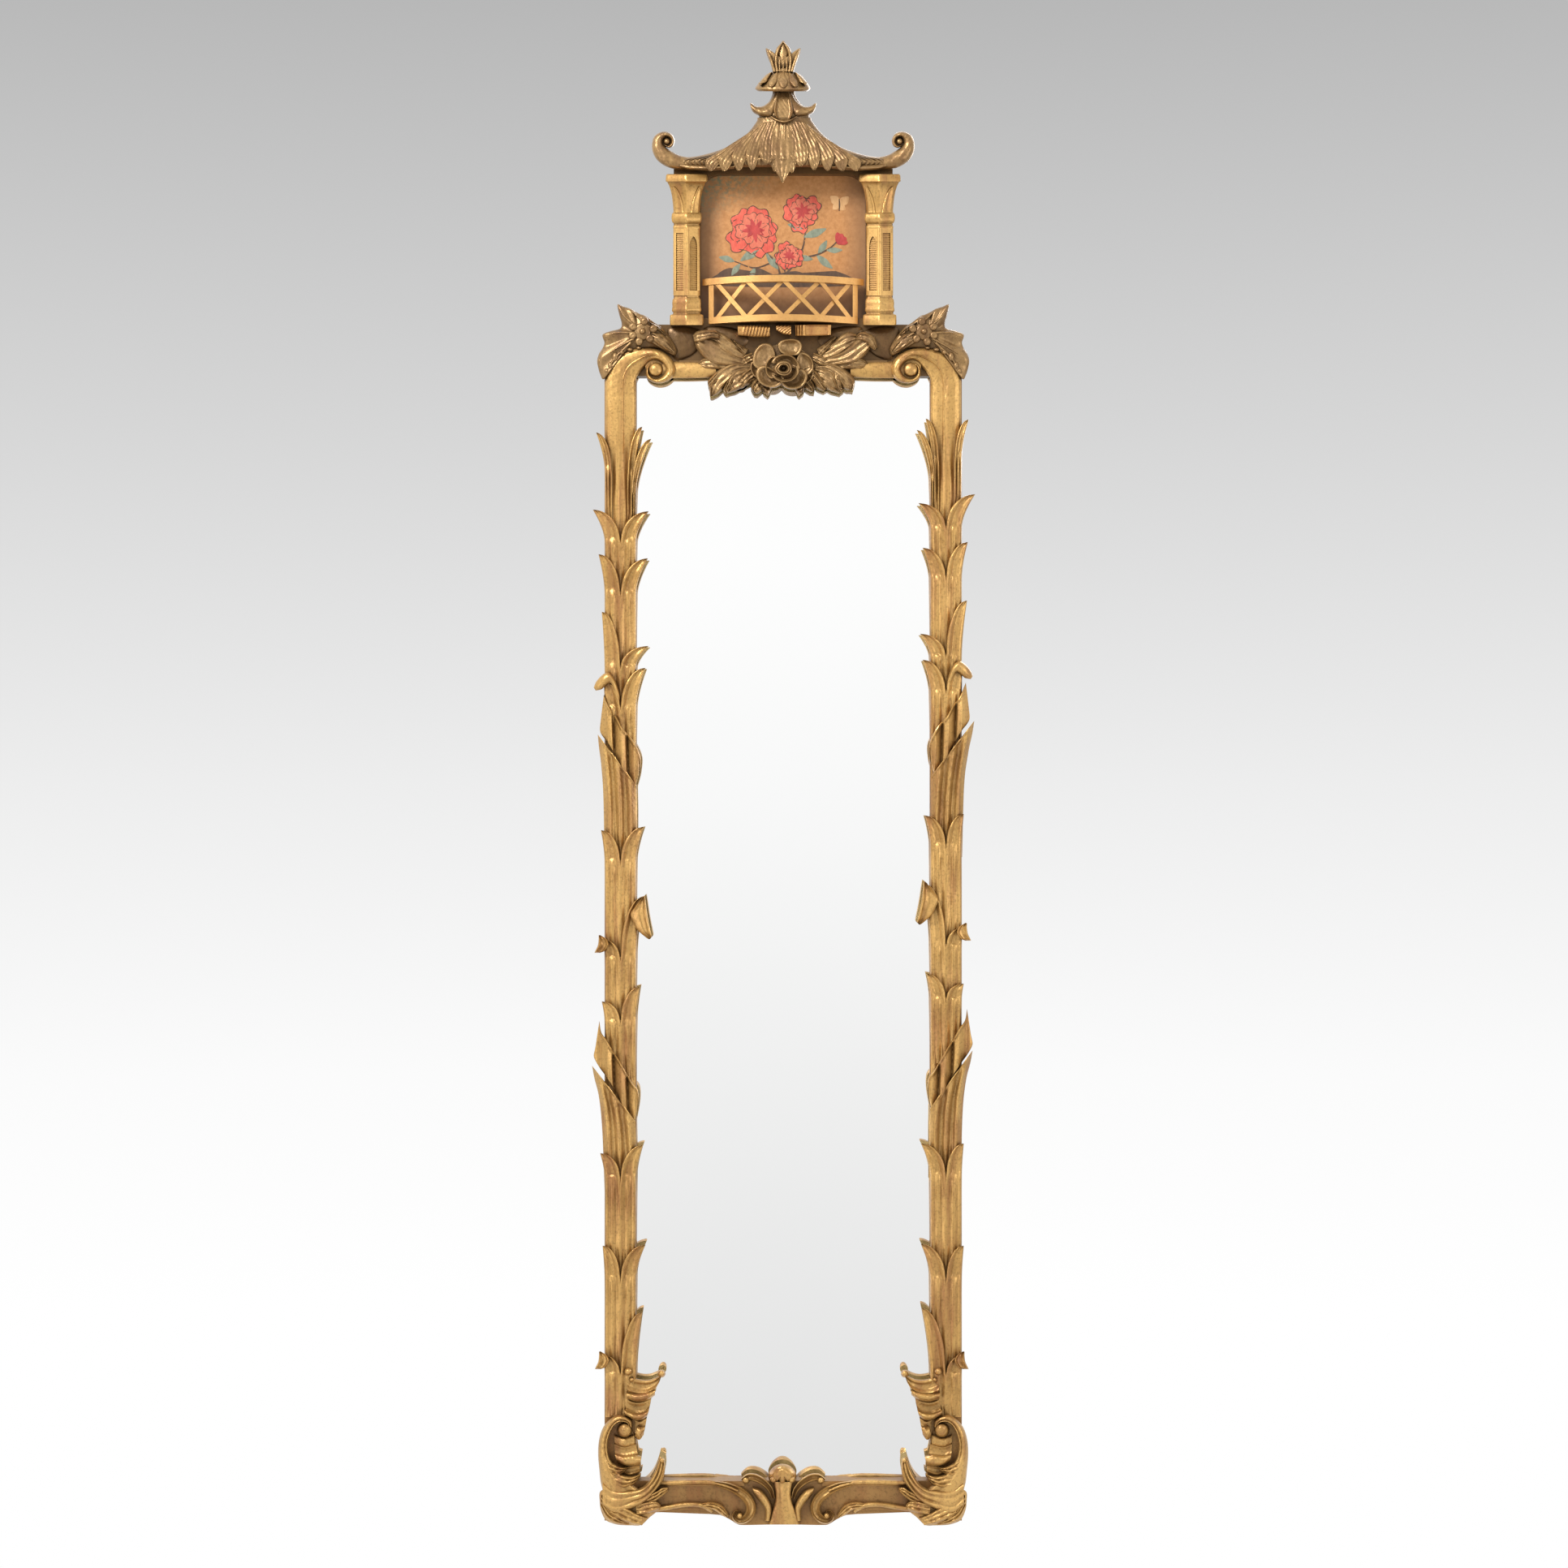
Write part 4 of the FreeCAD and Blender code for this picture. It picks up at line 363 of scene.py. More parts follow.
def noise(tree, scale, detail=4.0, rough=0.55, stretch=(1, 1, 1)):
    where = tree.nodes.new("ShaderNodeTexCoord")
    mapping = tree.nodes.new("ShaderNodeMapping")
    mapping.inputs["Scale"].default_value = stretch
    tree.links.new(where.outputs["Object"], mapping.inputs["Vector"])
    texture = tree.nodes.new("ShaderNodeTexNoise")
    texture.inputs["Scale"].default_value = scale
    texture.inputs["Detail"].default_value = detail
    texture.inputs["Roughness"].default_value = rough
    tree.links.new(mapping.outputs["Vector"], texture.inputs["Vector"])
    return texture.outputs["Fac"]


GLAZE_AND_SHADE_REACH = 0.014
GILT_METALLIC = 0.55
GILT_GRAIN = 0.0006
TIMBER_GRAIN = 0.0008


def gilt(name, deep, middle, bright, bole, glaze_and_shade, back):
    """Water gilding: umber glazing and painted shade in the hollows, rubbed edges with a painted highlight,
    patches of bole, and a plainer back.
    """
    material, tree, shader = nodes_of(name)
    cloud = noise(tree, 16.0, 5.0)
    streak = noise(tree, 60.0, 4.0, 0.6, (1, 1, 0.12))
    speck = noise(tree, 420.0, 3.0)
    colour = two_tone(tree, cloud, middle, bright)
    colour = mix(tree, ramp(tree, streak, [(0.42, 0.0), (0.75, 0.55)]), colour, bright)
    colour = mix(tree, ramp(tree, streak, [(0.3, 0.8), (0.52, 0.0)]), colour, bole)
    colour = mix(tree, ramp(tree, speck, [(0.3, 0.42), (0.5, 0.0)]), colour, deep)
    # Umber glazing with painted shade: ambient occlusion darkens hollows and recesses towards the deep colour
    hollow = tree.nodes.new("ShaderNodeAmbientOcclusion")
    hollow.samples = 8
    hollow.inputs["Distance"].default_value = GLAZE_AND_SHADE_REACH
    shade = ramp(tree, hollow.outputs["AO"], [(0.3, glaze_and_shade), (0.88, 0.0)])
    colour = mix(tree, shade, colour, deep)
    # Rubbed wear with a painted highlight: sharp convex edges are lightened past the bright colour
    edge = tree.nodes.new("ShaderNodeNewGeometry")
    wear_and_highlight = ramp(tree, edge.outputs["Pointiness"], [(0.52, 0.0), (0.62, 0.5)])
    colour = mix(tree, wear_and_highlight, colour, tuple(min(1.0, 1.18 * c) for c in bright))
    # Dirt with painted shade: concave creases are darkened towards the deep colour
    grime_and_shade = ramp(tree, edge.outputs["Pointiness"], [(0.38, 0.75), (0.495, 0.0)])
    colour = mix(tree, grime_and_shade, colour, deep)
    facing = tree.nodes.new("ShaderNodeSeparateXYZ")
    tree.links.new(edge.outputs["True Normal"], facing.inputs[0])
    bare = mix(tree, ramp(tree, streak, [(0.34, 0.0), (0.66, 1.0)]), *back)
    colour = mix(tree, ramp(tree, facing.outputs["Y"], [(0.45, 0.0), (0.7, 1.0)]), colour, bare)
    coat(tree, shader, colour, ramp(tree, cloud, [(0.2, 0.3), (0.8, 0.44)]))
    shader.inputs["Metallic"].default_value = GILT_METALLIC
    relief(tree, shader, mix(tree, 0.5, streak, speck), 0.42, GILT_GRAIN)
    return material


# Backs: an ochre wash on the carvings, which the glass reflects, and bare wood on the boards
OCHRE_WASH = ((0.34, 0.235, 0.09), (0.60, 0.44, 0.19))
BARE_WOOD = ((0.15, 0.108, 0.06), (0.33, 0.262, 0.16))
GILT = gilt("gilding", (0.10, 0.048, 0.013), (0.37, 0.195, 0.05), (0.60, 0.36, 0.115), (0.30, 0.12, 0.045),
            0.8, OCHRE_WASH)
AGED = gilt("aged_gilding", (0.07, 0.037, 0.013), (0.225, 0.124, 0.043), (0.41, 0.25, 0.10),
            (0.18, 0.088, 0.038), 0.8, OCHRE_WASH)
BRIGHT = gilt("bright_gilding", (0.09, 0.037, 0.010), (0.37, 0.172, 0.046), (0.58, 0.32, 0.10),
              (0.30, 0.11, 0.04), 0.8, OCHRE_WASH)
# Darker gilding for the boards and ledge behind the carving: umber glazing with painted shade of their
# recessed ground
SHADE = gilt("glazed_gilding_with_painted_shade", (0.045, 0.023, 0.008), (0.105, 0.054, 0.017), (0.18, 0.098, 0.033),
             (0.11, 0.048, 0.017), 0.8, BARE_WOOD)
WEATHERED = gilt("weathered_gilding", (0.065, 0.034, 0.012), (0.185, 0.100, 0.034), (0.355, 0.212, 0.084),
                 (0.15, 0.072, 0.03), 0.8, OCHRE_WASH)
# Sunk brown field of the bottom rail, and painted shade on the edges of the stiles and bottom rail
FIELD_AND_EDGE_SHADE = gilt("rail_field", (0.08, 0.04, 0.012), (0.235, 0.12, 0.037), (0.36, 0.195, 0.064),
             (0.25, 0.10, 0.035), 0.7, BARE_WOOD)


def timber(name, dark, light, grain_axis):
    """Plain sawn board with grain along one axis."""
    material, tree, shader = nodes_of(name)
    stretch = tuple(0.08 if k == grain_axis else 1.0 for k in range(3))
    fibre = noise(tree, 90.0, 6.0, 0.65, stretch)
    cloud = noise(tree, 6.0, 3.0)
    colour = two_tone(tree, fibre, dark, light)
    colour = mix(tree, ramp(tree, cloud, [(0.35, 0.3), (0.6, 0.0)]), colour, dark)
    coat(tree, shader, colour, ramp(tree, fibre, [(0.2, 0.62), (0.8, 0.8)]))
    relief(tree, shader, fibre, 0.25, TIMBER_GRAIN)
    return material


PLY = timber("plywood", (0.23, 0.14, 0.07), (0.42, 0.28, 0.15), 2)
PINE = timber("pine", (0.30, 0.18, 0.09), (0.50, 0.34, 0.18), 2)


def metal(name, dark, light, rough):
    material, tree, shader = nodes_of(name)
    wear = noise(tree, 150.0, 4.0)
    fine = noise(tree, 900.0, 2.0, 0.5, (1, 1, 0.2))
    colour = mix(tree, ramp(tree, wear, [(0.35, 0.0), (0.65, 1.0)]), dark, light)
    coat(tree, shader, colour, ramp(tree, fine, [(0.3, rough - 0.08), (0.7, rough + 0.1)]))
    shader.inputs["Metallic"].default_value = 1.0
    return material


STEEL = metal("zinc_steel", (0.36, 0.36, 0.35), (0.56, 0.55, 0.53), 0.36)
BRASS = metal("brass", (0.34, 0.22, 0.08), (0.62, 0.44, 0.18), 0.35)

MIRROR, mirror_tree, mirror_shader = nodes_of("silvered_glass")
mirror_shader.inputs["Metallic"].default_value = 1.0
haze = noise(mirror_tree, 5.0, 3.0)
coat(mirror_tree, mirror_shader, two_tone(mirror_tree, haze, (0.962, 0.965, 0.962), (0.97, 0.972, 0.97)),
     ramp(mirror_tree, haze, [(0.3, 0.0), (0.7, 0.012)]))


PANEL_HALF_WIDTH = 0.1
PANEL_LOW_Z = 1.33
PANEL_LOW_REACH = 0.07
STIPPLE_X = -0.02
STIPPLE_Z = 1.395


def painted_ground():
    """Tan panel, darker at its sides and foot as painted shade, with a soft green stipple at the upper left.
    """
    material, tree, shader = nodes_of("painted_panel")
    where = tree.nodes.new("ShaderNodeTexCoord")
    split = tree.nodes.new("ShaderNodeSeparateXYZ")
    tree.links.new(where.outputs["Object"], split.inputs["Vector"])

    def value(kind, first, second):
        node = tree.nodes.new("ShaderNodeMath")
        node.operation = kind
        for socket, item in zip(node.inputs, (first, second)):
            if isinstance(item, bpy.types.NodeSocket):
                tree.links.new(item, socket)
            else:
                socket.default_value = item
        return node.outputs["Value"]

    across = value("ABSOLUTE", split.outputs["X"], 0.0)
    grain = noise(tree, 260.0, 3.0)
    colour = two_tone(tree, grain, (0.38, 0.162, 0.045), (0.50, 0.235, 0.078))
    # Painted shade: darker towards the panel's sides, beside the columns
    side = ramp(tree, value("MULTIPLY", across, 1 / PANEL_HALF_WIDTH), [(0.62, 0.0), (0.92, 0.75)])
    colour = mix(tree, side, colour, (0.20, 0.11, 0.05))
    # Painted shade: darker towards the panel's foot, behind the railing and ledge
    low = value("MULTIPLY", value("SUBTRACT", PANEL_LOW_Z, split.outputs["Z"]), 1 / PANEL_LOW_REACH)
    colour = mix(tree, ramp(tree, low, [(0.0, 0.0), (0.9, 0.85)]), colour, (0.11, 0.055, 0.025))
    stipple = noise(tree, 210.0, 5.0, 0.7)
    corner = value("ADD", value("MULTIPLY", value("ADD", split.outputs["X"], -STIPPLE_X), -9.0),
                   value("MULTIPLY", value("SUBTRACT", split.outputs["Z"], STIPPLE_Z), 16.0))
    mask = value("MULTIPLY", ramp(tree, corner, [(0.15, 0.0), (0.75, 1.0)]),
                 ramp(tree, stipple, [(0.44, 0.0), (0.6, 1.0)]))
    colour = mix(tree, mask, colour, (0.17, 0.165, 0.085))
    coat(tree, shader, colour, ramp(tree, grain, [(0.3, 0.42), (0.7, 0.55)]))
    return material


def paint(name, dark, light):
    """Brushed paint of one hue, thin in places."""
    material, tree, shader = nodes_of(name)
    brush = noise(tree, 240.0, 4.0, 0.6, (1, 1, 0.4))
    coat(tree, shader, two_tone(tree, brush, dark, light), ramp(tree, brush, [(0.3, 0.45), (0.7, 0.6)]))
    return material


PANEL = painted_ground()
CORAL = paint("coral_paint", (0.50, 0.055, 0.035), (0.70, 0.13, 0.075))
SAGE = paint("sage_paint", (0.13, 0.15, 0.10), (0.24, 0.27, 0.19))
ROSE_PAINT = paint("rose_paint", (0.52, 0.10, 0.055), (0.62, 0.17, 0.095))
CRIMSON = paint("crimson_paint", (0.30, 0.02, 0.02), (0.48, 0.05, 0.04))
OCHRE = paint("ochre_paint", (0.52, 0.27, 0.10), (0.68, 0.40, 0.18))
UMBER = paint("umber_paint", (0.05, 0.025, 0.012), (0.11, 0.055, 0.025))

slot_materials = {"gilding": GILT, "aged_gilding": AGED, "bright_gilding": BRIGHT, "mirror": MIRROR,
                  "backboard": PLY, "pine": PINE, "painted_panel": PANEL, "brass": BRASS, "steel": STEEL}


def dress(name, material):
    nodes[name].data.materials.clear()
    nodes[name].data.materials.append(material)


for subpart in frame["record"]["subparts"]:
    dress(subpart["node"], slot_materials[subpart["material_slot"]])
# Darker gildings on the boards: painted shade on the crest board, top rail and ledge behind the carving, and
# on the edges of the stiles and bottom rail
for name, finish in (("crest_board", SHADE), ("top_rail", SHADE), ("balcony_ledge", SHADE),
                     ("bottom_rail", FIELD_AND_EDGE_SHADE), ("left_stile", FIELD_AND_EDGE_SHADE), ("right_stile", FIELD_AND_EDGE_SHADE)):
    dress(name, finish)

# Palm trunks: a ribbed stem under nested sheaths, each with a leaf away from the opening and one towards it
STILE_AXIS_PX = 200.6
LEAF_HALF_PX = 19.6
STEM_HALF_PX = 18.6
STEM_RUN_OUT_PX = 46
# Sheaths: rows of foot and fork, then row and reach of the tip of the leaf away and of the leaf towards
SHEATHS_PX = {
    -1: ((735, 666, 628, 34, 630, 35), (826, 730, 683, 27, 688, 34), (876, 821, 754, 23, 796, 35),
         (940, 871, 840, 20.5, 823, 31), (1185, 1061, 1023, 24, 1019, 29), (1262, 1180, 1158, 21, 1106, 27),
         (1330, 1258, 1234, 23, 1216, 24), (1580, 1450, 1421, 25, 1411, 28), (1698, 1574, 1535, 22, 1534, 31),
         (1744, 1692, 1670, 21, 1617, 27)),
    1: ((716, 649, 609, 36, 620, 34), (812, 711, 668, 27, 675, 29), (850, 808, 740, 26, 781, 32),
        (920, 852, 824, 20.5, 813, 29), (1168, 1041, 1003, 22, 1005, 26), (1236, 1164, 1143, 21, 1089, 27),
        (1310, 1230, 1212, 22, 1200, 24), (1580, 1447, 1409, 22, 1409, 31), (1698, 1575, 1535, 22, 1533, 31),
        (1744, 1692, 1670, 21, 1612, 30))}
# Uppermost leaves: -1 away or 1 towards, rows of foot, fork and tip, reach of the tip, place of the fork
HEAD_LEAVES_PX = {-1: ((-1, 655, 578, 533, 30, 11), (1, 655, 582, 526, 27, 9), (1, 655, 606, 541, 38, 14)),
                  1: ((-1, 640, 562, 517, 28, 11), (1, 640, 566, 516, 25, 9), (1, 640, 590, 530, 36, 14))}
TRUNK_CUTS_PX = {-1: (489, 624, 1075, 1746), 1: (489, 606, 1058, 1746)}
# Leaves wound across the trunk, each followed by a collar whose top edge falls along it
WOUND_PX = (
    [(744, 856, 742, 884), (748.5, 867, 741, 896), (753, 875, 743.5, 903), (760, 884, 750.5, 912),
     (767, 897, 757.5, 923), (777, 908, 766, 939), (784, 919, 772.5, 951), (789.5, 933, 778, 960),
     (788.5, 950, 782, 966), (784.5, 967, 783.5, 968)],
    [(738.5, 1258, 735, 1290), (741, 1272, 733.5, 1299), (748, 1282, 739, 1310), (755, 1294, 746, 1320),
     (764.5, 1309, 755, 1333), (772, 1322, 763.5, 1347), (779, 1334, 769.5, 1360), (786, 1343, 776, 1371),
     (787, 1358, 781, 1379), (783.5, 1381, 782.5, 1382)])
WOUND_MOVES_PX = {-1: ((0, 0), (0, 0)), 1: ((4, -15), (0, -15))}
COLLARS_PX = {
    -1: ([(736.5, 905, 784, 967), (738, 921, 784.5, 980), (741, 945, 785, 1000), (743.5, 985, 785, 1030),
          (745, 1072, 784, 1072)],
         [(729.5, 1313, 783, 1381), (732.5, 1329, 783.5, 1394), (738, 1352, 784, 1410),
          (742, 1392, 784.5, 1436), (745, 1470, 784, 1470)]),
    1: ([(1200.5, 888, 1148, 955), (1198, 904, 1147.5, 968), (1193, 928, 1147, 988),
         (1188, 968, 1146.5, 1018), (1185.5, 1056, 1146, 1056)],
        [(1198.5, 1294, 1146, 1365), (1195.5, 1310, 1145.5, 1378), (1190, 1333, 1145, 1394),
         (1186, 1373, 1145, 1420), (1184, 1454, 1145, 1454)])}
# Rolled tips on the left trunk, and how far they shift for the right one
CREST_ROLL_PX = [(731.5, 847, 734, 851), (734.5, 840, 741, 849.5), (741, 832.5, 746, 845),
                 (748, 828.3, 751, 842), (754.5, 832, 754, 845), (760, 842, 757, 853),
                 (764.5, 857, 760.5, 863), (765.5, 870, 762, 872)]
HOOK_PX = [(791, 1106, 794.5, 1103), (783.5, 1116, 796, 1114), (777, 1126, 797.5, 1126),
           (780, 1136, 799.5, 1137), (785.5, 1146, 802, 1149), (797, 1156, 803, 1154),
           (800, 1157.5, 801, 1157)]
EAR_PX = [(737.5, 1152.5, 739.5, 1152), (737.5, 1158, 747, 1157), (736.5, 1165, 750, 1164),
          (733.5, 1171.5, 745, 1171.5), (732.5, 1174, 740, 1174)]
ROLL_MOVES_PX = {-1: {"crest": (0, 0), "hook": (0, 0), "ears": ((0, 0), (0.5, 513))},
                 1: {"crest": (0, -14), "hook": (3, -18), "ears": ((-1, -15), (-4, 513))}}


def stile_column(side, across):
    return AXIS_PX + side * (STILE_AXIS_PX - across)


def leaves_of(side):
    """Leaves of one trunk, from the top down."""
    leaves = list(HEAD_LEAVES_PX[side])
    for foot, fork, away_tip, away_reach, near_tip, near_reach in SHEATHS_PX[side]:
        leaves += [(-1, foot, fork, away_tip, away_reach, 0), (1, foot, fork, near_tip, near_reach, 0)]
    return leaves


def sheath(side, way, foot, fork, tip, reach, offset):
    """Half of a sheath: it rises with the trunk to the fork, then parts to a tip with a rolled lip."""
    rise = np.concatenate([np.linspace(-1, 0, 24)[:-1], np.sin(np.linspace(0, 0.985 * math.pi / 2, 34))])
    up = np.clip(rise, 0, 1)
    v = np.where(rise < 0, fork - (foot - fork) * rise, fork + (tip - fork) * up)
    inner = offset + (reach - offset) * (1 - np.sqrt(1 - up ** 2))
    outer = LEAF_HALF_PX + np.where(rise < 0, 0.9 * rise, (reach - LEAF_HALF_PX) * up ** 1.6)
    inner = np.minimum(np.where(rise < 0, inner - 0.4, inner), outer - 0.5)
    s, g = np.meshgrid(np.linspace(0, 1, 32), rise)
    body = np.interp(s, [0, 0.1, 0.22, 0.3, 0.44, 0.58, 0.66, 0.72, 0.86, 0.95, 1],
                     [1.0, 0.98, 0.86, 0.8, 0.95, 0.93, 0.82, 0.76, 0.84, 0.7, 0.42])
    lip = np.interp(s, [0, 0.05, 0.14, 0.26, 0.38, 0.6, 0.8, 0.93, 1],
                    [0.78, 0.98, 1.0, 0.86, 0.7, 0.66, 0.72, 0.64, 0.42])
    share = body + (lip - body) * smooth(-0.16, 0.14, g)
    crown = np.interp(rise, [-1, -0.45, 0, 0.6, 1], [7.2, 10.0, 15.4, 15.2, 12.5])
    back = np.interp(rise, [-1, 0.1, 1], [0, 0, 5.5])
    across = inner[:, None] + (outer - inner)[:, None] * s
    u = stile_column(side, way * across)
    rows = np.broadcast_to(v[:, None], u.shape)
    height = back[:, None] + (crown - back)[:, None] * share + waver(u, rows) * (share - 0.4)
    rear = [place(stile_column(side, way * edge), v, back) for edge in (inner, outer)]
    return skin(place(u, rows, height), rear[0], rear[1])


PLEAT_COLUMNS_PX = (735, 739, 743.5, 749, 754, 756.5, 760.5, 766, 771, 773.5, 777, 782, 786.5, 790)
PLEAT_SHARES = (0.6, 0.5, 0.7, 1.0, 0.86, 0.48, 0.7, 1.0, 0.86, 0.48, 0.7, 1.0, 0.84, 0.5)
WOUND_CROWNS = (12, 15, 17.5, 18.5, 19, 19, 18.5, 17, 14, 9)
WOUND_FOOT = 4.0
COLLAR_CROWNS = [17.5, 16.5, 14.5, 11.5, 8.0]
COLLAR_FEET = [5, 3, 1, 0, 0]


def wound_leaf(wound, side, move):
    """Leaf wound across the trunk: upright pleats between a raised upper edge and the collar."""
    stations = placed([(a, b, c - 1.8, d + 3) for a, b, c, d in wound[:-2]] + list(wound[-2:]), side, move)

    def height(u, v, s, t):
        drawn = u - move[0] if side < 0 else 2 * AXIS_PX - (u - move[0])
        fold = np.interp(drawn - 1.6 * (s - 0.5), PLEAT_COLUMNS_PX, PLEAT_SHARES)
        crown = np.interp(t, np.linspace(0, 1, len(WOUND_CROWNS)), WOUND_CROWNS)
        rim = 0.2 * np.exp(-((s - 0.05) / 0.05) ** 2)
        body = 0.82 + 0.18 * np.sqrt(np.clip(1 - (2 * s - 1) ** 2, 0, 1))
        return WOUND_FOOT + (crown - WOUND_FOOT) * np.minimum(fold * body + rim, 1.05)

    return sheet(stations, height, WOUND_FOOT, 150, 30)


def collar_ribs(s, t):
    """Full-width leaf foot: three ribs, with a lip along its falling top edge."""
    ribs = 0.82 + 0.18 * np.cos(2 * math.pi * (3 * s - 0.5))
    edge = np.interp(s, [0, 0.05, 0.16, 0.84, 0.95, 1], [0.5, 0.82, 1, 1, 0.8, 0.5])
    lip = 0.12 * np.exp(-((t - 0.03) / 0.04) ** 2)
    return ribs * edge * (0.94 + 0.06 * np.sin(math.pi * s)) + lip


def flap(s, t):
    """Hollow folded tip between two raised rims."""
    return np.interp(s, [0, 0.1, 0.22, 0.5, 0.76, 0.9, 1], [0.66, 0.98, 0.84, 0.62, 0.74, 1.0, 0.7])


def placed(stations, side, move):
    return moved(stations if side < 0 else twin(stations), *move)


stem_ribs = fluted(4, 0.2)


def stem_head(s, t):
    """The corner's band melts into the stem's ribs."""
    return band(s, t) + (stem_ribs(s, t) - band(s, t)) * smooth(0.2, 0.62, t)


for side, name in ((-1, "left"), (1, "right")):
    cuts = TRUNK_CUTS_PX[side]
    for length, head, foot in zip(("upper", "middle", "lower"), cuts, cuts[1:]):
        upper = length == "upper"
        rows = (head, foot + STEM_RUN_OUT_PX if upper else foot)
        edges = [(stile_column(side, -STEM_HALF_PX), v, stile_column(side, STEM_HALF_PX), v) for v in rows]
        if upper:
            parts = [strip(edges, [9.6, 8.4], stem_head, 0.0, 40, 40)]
        else:
            parts = [strip(edges, 7.6, stem_ribs, 0.0, 90, 40)]
        parts += [sheath(side, *leaf) for leaf in leaves_of(side) if head <= leaf[2] < foot]
        for wound, move, collar in zip(WOUND_PX, WOUND_MOVES_PX[side], COLLARS_PX[side]):
            if head <= wound[0][1] + move[1] < foot:
                parts.append(wound_leaf(wound, side, move))
                parts.append(strip(collar, COLLAR_CROWNS, collar_ribs, COLLAR_FEET, 70, 44))
        rolls = [(CREST_ROLL_PX, ROLL_MOVES_PX[side]["crest"], [11, 15, 18, 18.5, 18, 16.5, 14.5, 11],
                  rounded(0.3)),
                 (HOOK_PX, ROLL_MOVES_PX[side]["hook"], [15, 18, 20, 20, 19, 16, 13], flap)]
        rolls += [(EAR_PX, move, [13, 17, 18, 17, 13], flap) for move in ROLL_MOVES_PX[side]["ears"]]
        for stations, move, crowns, shape in rolls:
            stations = placed(stations, side, move)
            if head <= stations[0][1] < foot:
                parts.append(strip(stations, crowns, shape, [c * 0.45 for c in crowns], 34, 16))
        piece(f"{name}_{length}_trunk", parts, GILT, "gilding", f"{name}_{length}_palm")

# Corner scrolls: the trunk's band bends over and rolls into a volute round an eye
CORNER_BAND_PX = [
    (745.8, 489, 783, 489), (746, 470, 782.8, 472), (750, 451, 785, 464), (761, 437, 789, 458),
    (777, 430, 794, 452), (795, 428.5, 800, 445.5), (812, 431, 807, 443.5), (825, 439, 815, 447),
    (832.5, 452, 819.5, 454.5), (829.5, 464, 817, 461), (820, 471, 812, 465), (808, 472, 806.5, 466),
    (798, 467, 801.5, 462.5), (795.5, 459, 799.5, 457.5), (797, 451, 800.8, 452), (803, 446.5, 804.5, 449)]


def volute(s, t):
    """The band's faces melt into one round roll where it curls."""
    return band(s, t) + (rounded(0.3)(s, t) - band(s, t)) * smooth(0.3, 0.5, t)


CORNER_BAND_CROWNS = [9.6, 10, 10.6, 11.2, 12, 12.8, 13.6, 14.4, 15, 15, 14.4, 13.6, 12.6, 11.6, 10.6, 9]
corner_scroll = [strip(CORNER_BAND_PX, CORNER_BAND_CROWNS, volute, 0.0, 130, 40),
                 fan(even(((796, 446), (812, 440), (824, 452), (816, 466), (800, 466))), (808, 454),
                     ((0, 7.0), (1, 6.0))),
                 fan(oval(808, 455.4, 9.2, 9), (807.5, 455),
                     ((0, 14.4), (0.4, 14), (0.75, 12.4), (0.93, 10), (1, 8)), 1.0)]


def veined(s, t):
    """Leaf with three raised veins and thin edges."""
    shape = np.interp(s, [0, 0.07, 0.2, 0.33, 0.5, 0.66, 0.8, 0.93, 1],
                      [0.5, 0.84, 1.0, 0.86, 0.97, 0.84, 0.96, 0.78, 0.45])
    return shape + 0.03 * np.cos(2 * math.pi * (3 * t + s))


# Corner leaves: one broad lobed leaf behind a flower, with beads and folded leaves along the scroll
CORNER_LEAF_PX = (
    (760.8, 375.2, 1), (769, 378, 0.6), (777, 380.5, 0.9), (783, 384, 0.4), (789, 387, 0.7),
    (796, 389.5, 0.9), (806, 397, 0.5), (812, 401, 0.5), (818, 406, 0.8), (826, 416, 0.5), (831, 424, 0.7),
    (833.6, 431, 1), (831.5, 438, 0.7), (824, 436, 0.4), (816, 431, 0.3), (804, 429, 0.2),
    (790, 430.5, 0.2), (776, 433, 0.3), (768, 438, 0.5), (759, 447, 0.3), (754, 455, 0.6),
    (748.6, 462, 0.5), (743, 467.5, 1), (739.5, 461, 0.6), (737.6, 455, 0.5), (735.8, 445, 1),
    (738, 436, 0.6), (742.5, 429, 0.1), (744.7, 422, 0.3), (742.4, 412.6, 1), (752, 408, 0.7),
    (763.6, 405, 0.2), (766, 399, 0.0), (763, 388, 0.6))
CORNER_LEAF_RISES = ((0, 10), (0.3, 12), (0.6, 11.5), (0.85, 11), (0.95, 9.5), (1, 6))
corner_leaves = [fan(CORNER_LEAF_PX, (786, 411), CORNER_LEAF_RISES, 0.0, 0.45, 16, 170)]
LEAF_VEINS_PX = (((783, 402), (770, 390), (761.5, 377)), ((780, 410), (760, 410), (744, 413)),
                 ((781, 417), (758, 430), (738, 444)), ((777, 422), (757, 442), (744.5, 465)),
                 ((800, 403), (790, 394), (778, 383)), ((804, 410), (820, 421), (832, 433)))
for vein in LEAF_VEINS_PX:
    corner_leaves.append(cord_strip(vein, [4.6, 3.6, 1.4], [13.4, 13, 9.5], rounded(0.45), 6.0, 24, 8))
for u, v, r, h, q in ((758, 439.5, 4.6, 14, 1.5), (766, 434, 4.0, 14.5, 0.9), (776, 430.6, 4.4, 14.5, 0.6),
                      (752, 450, 3.6, 13, 1.4), (787, 428.5, 3.6, 13.5, 0.6), (747.5, 457, 3.0, 12, 1.3)):
    corner_leaves.append(knob(u, v, r, h, 5.0, q))
for stations, crowns in (([(806, 408, 800, 419), (817, 412, 810, 425), (826, 421, 820, 432),
                           (832, 432, 829, 436)], [12, 14.5, 14, 10]),
                         ([(800, 396, 806, 404), (811, 402, 812, 409), (822, 412, 820, 415)], [11, 13, 9])):
    corner_leaves.append(strip(stations, crowns, veined, 4.0, 30, 16))
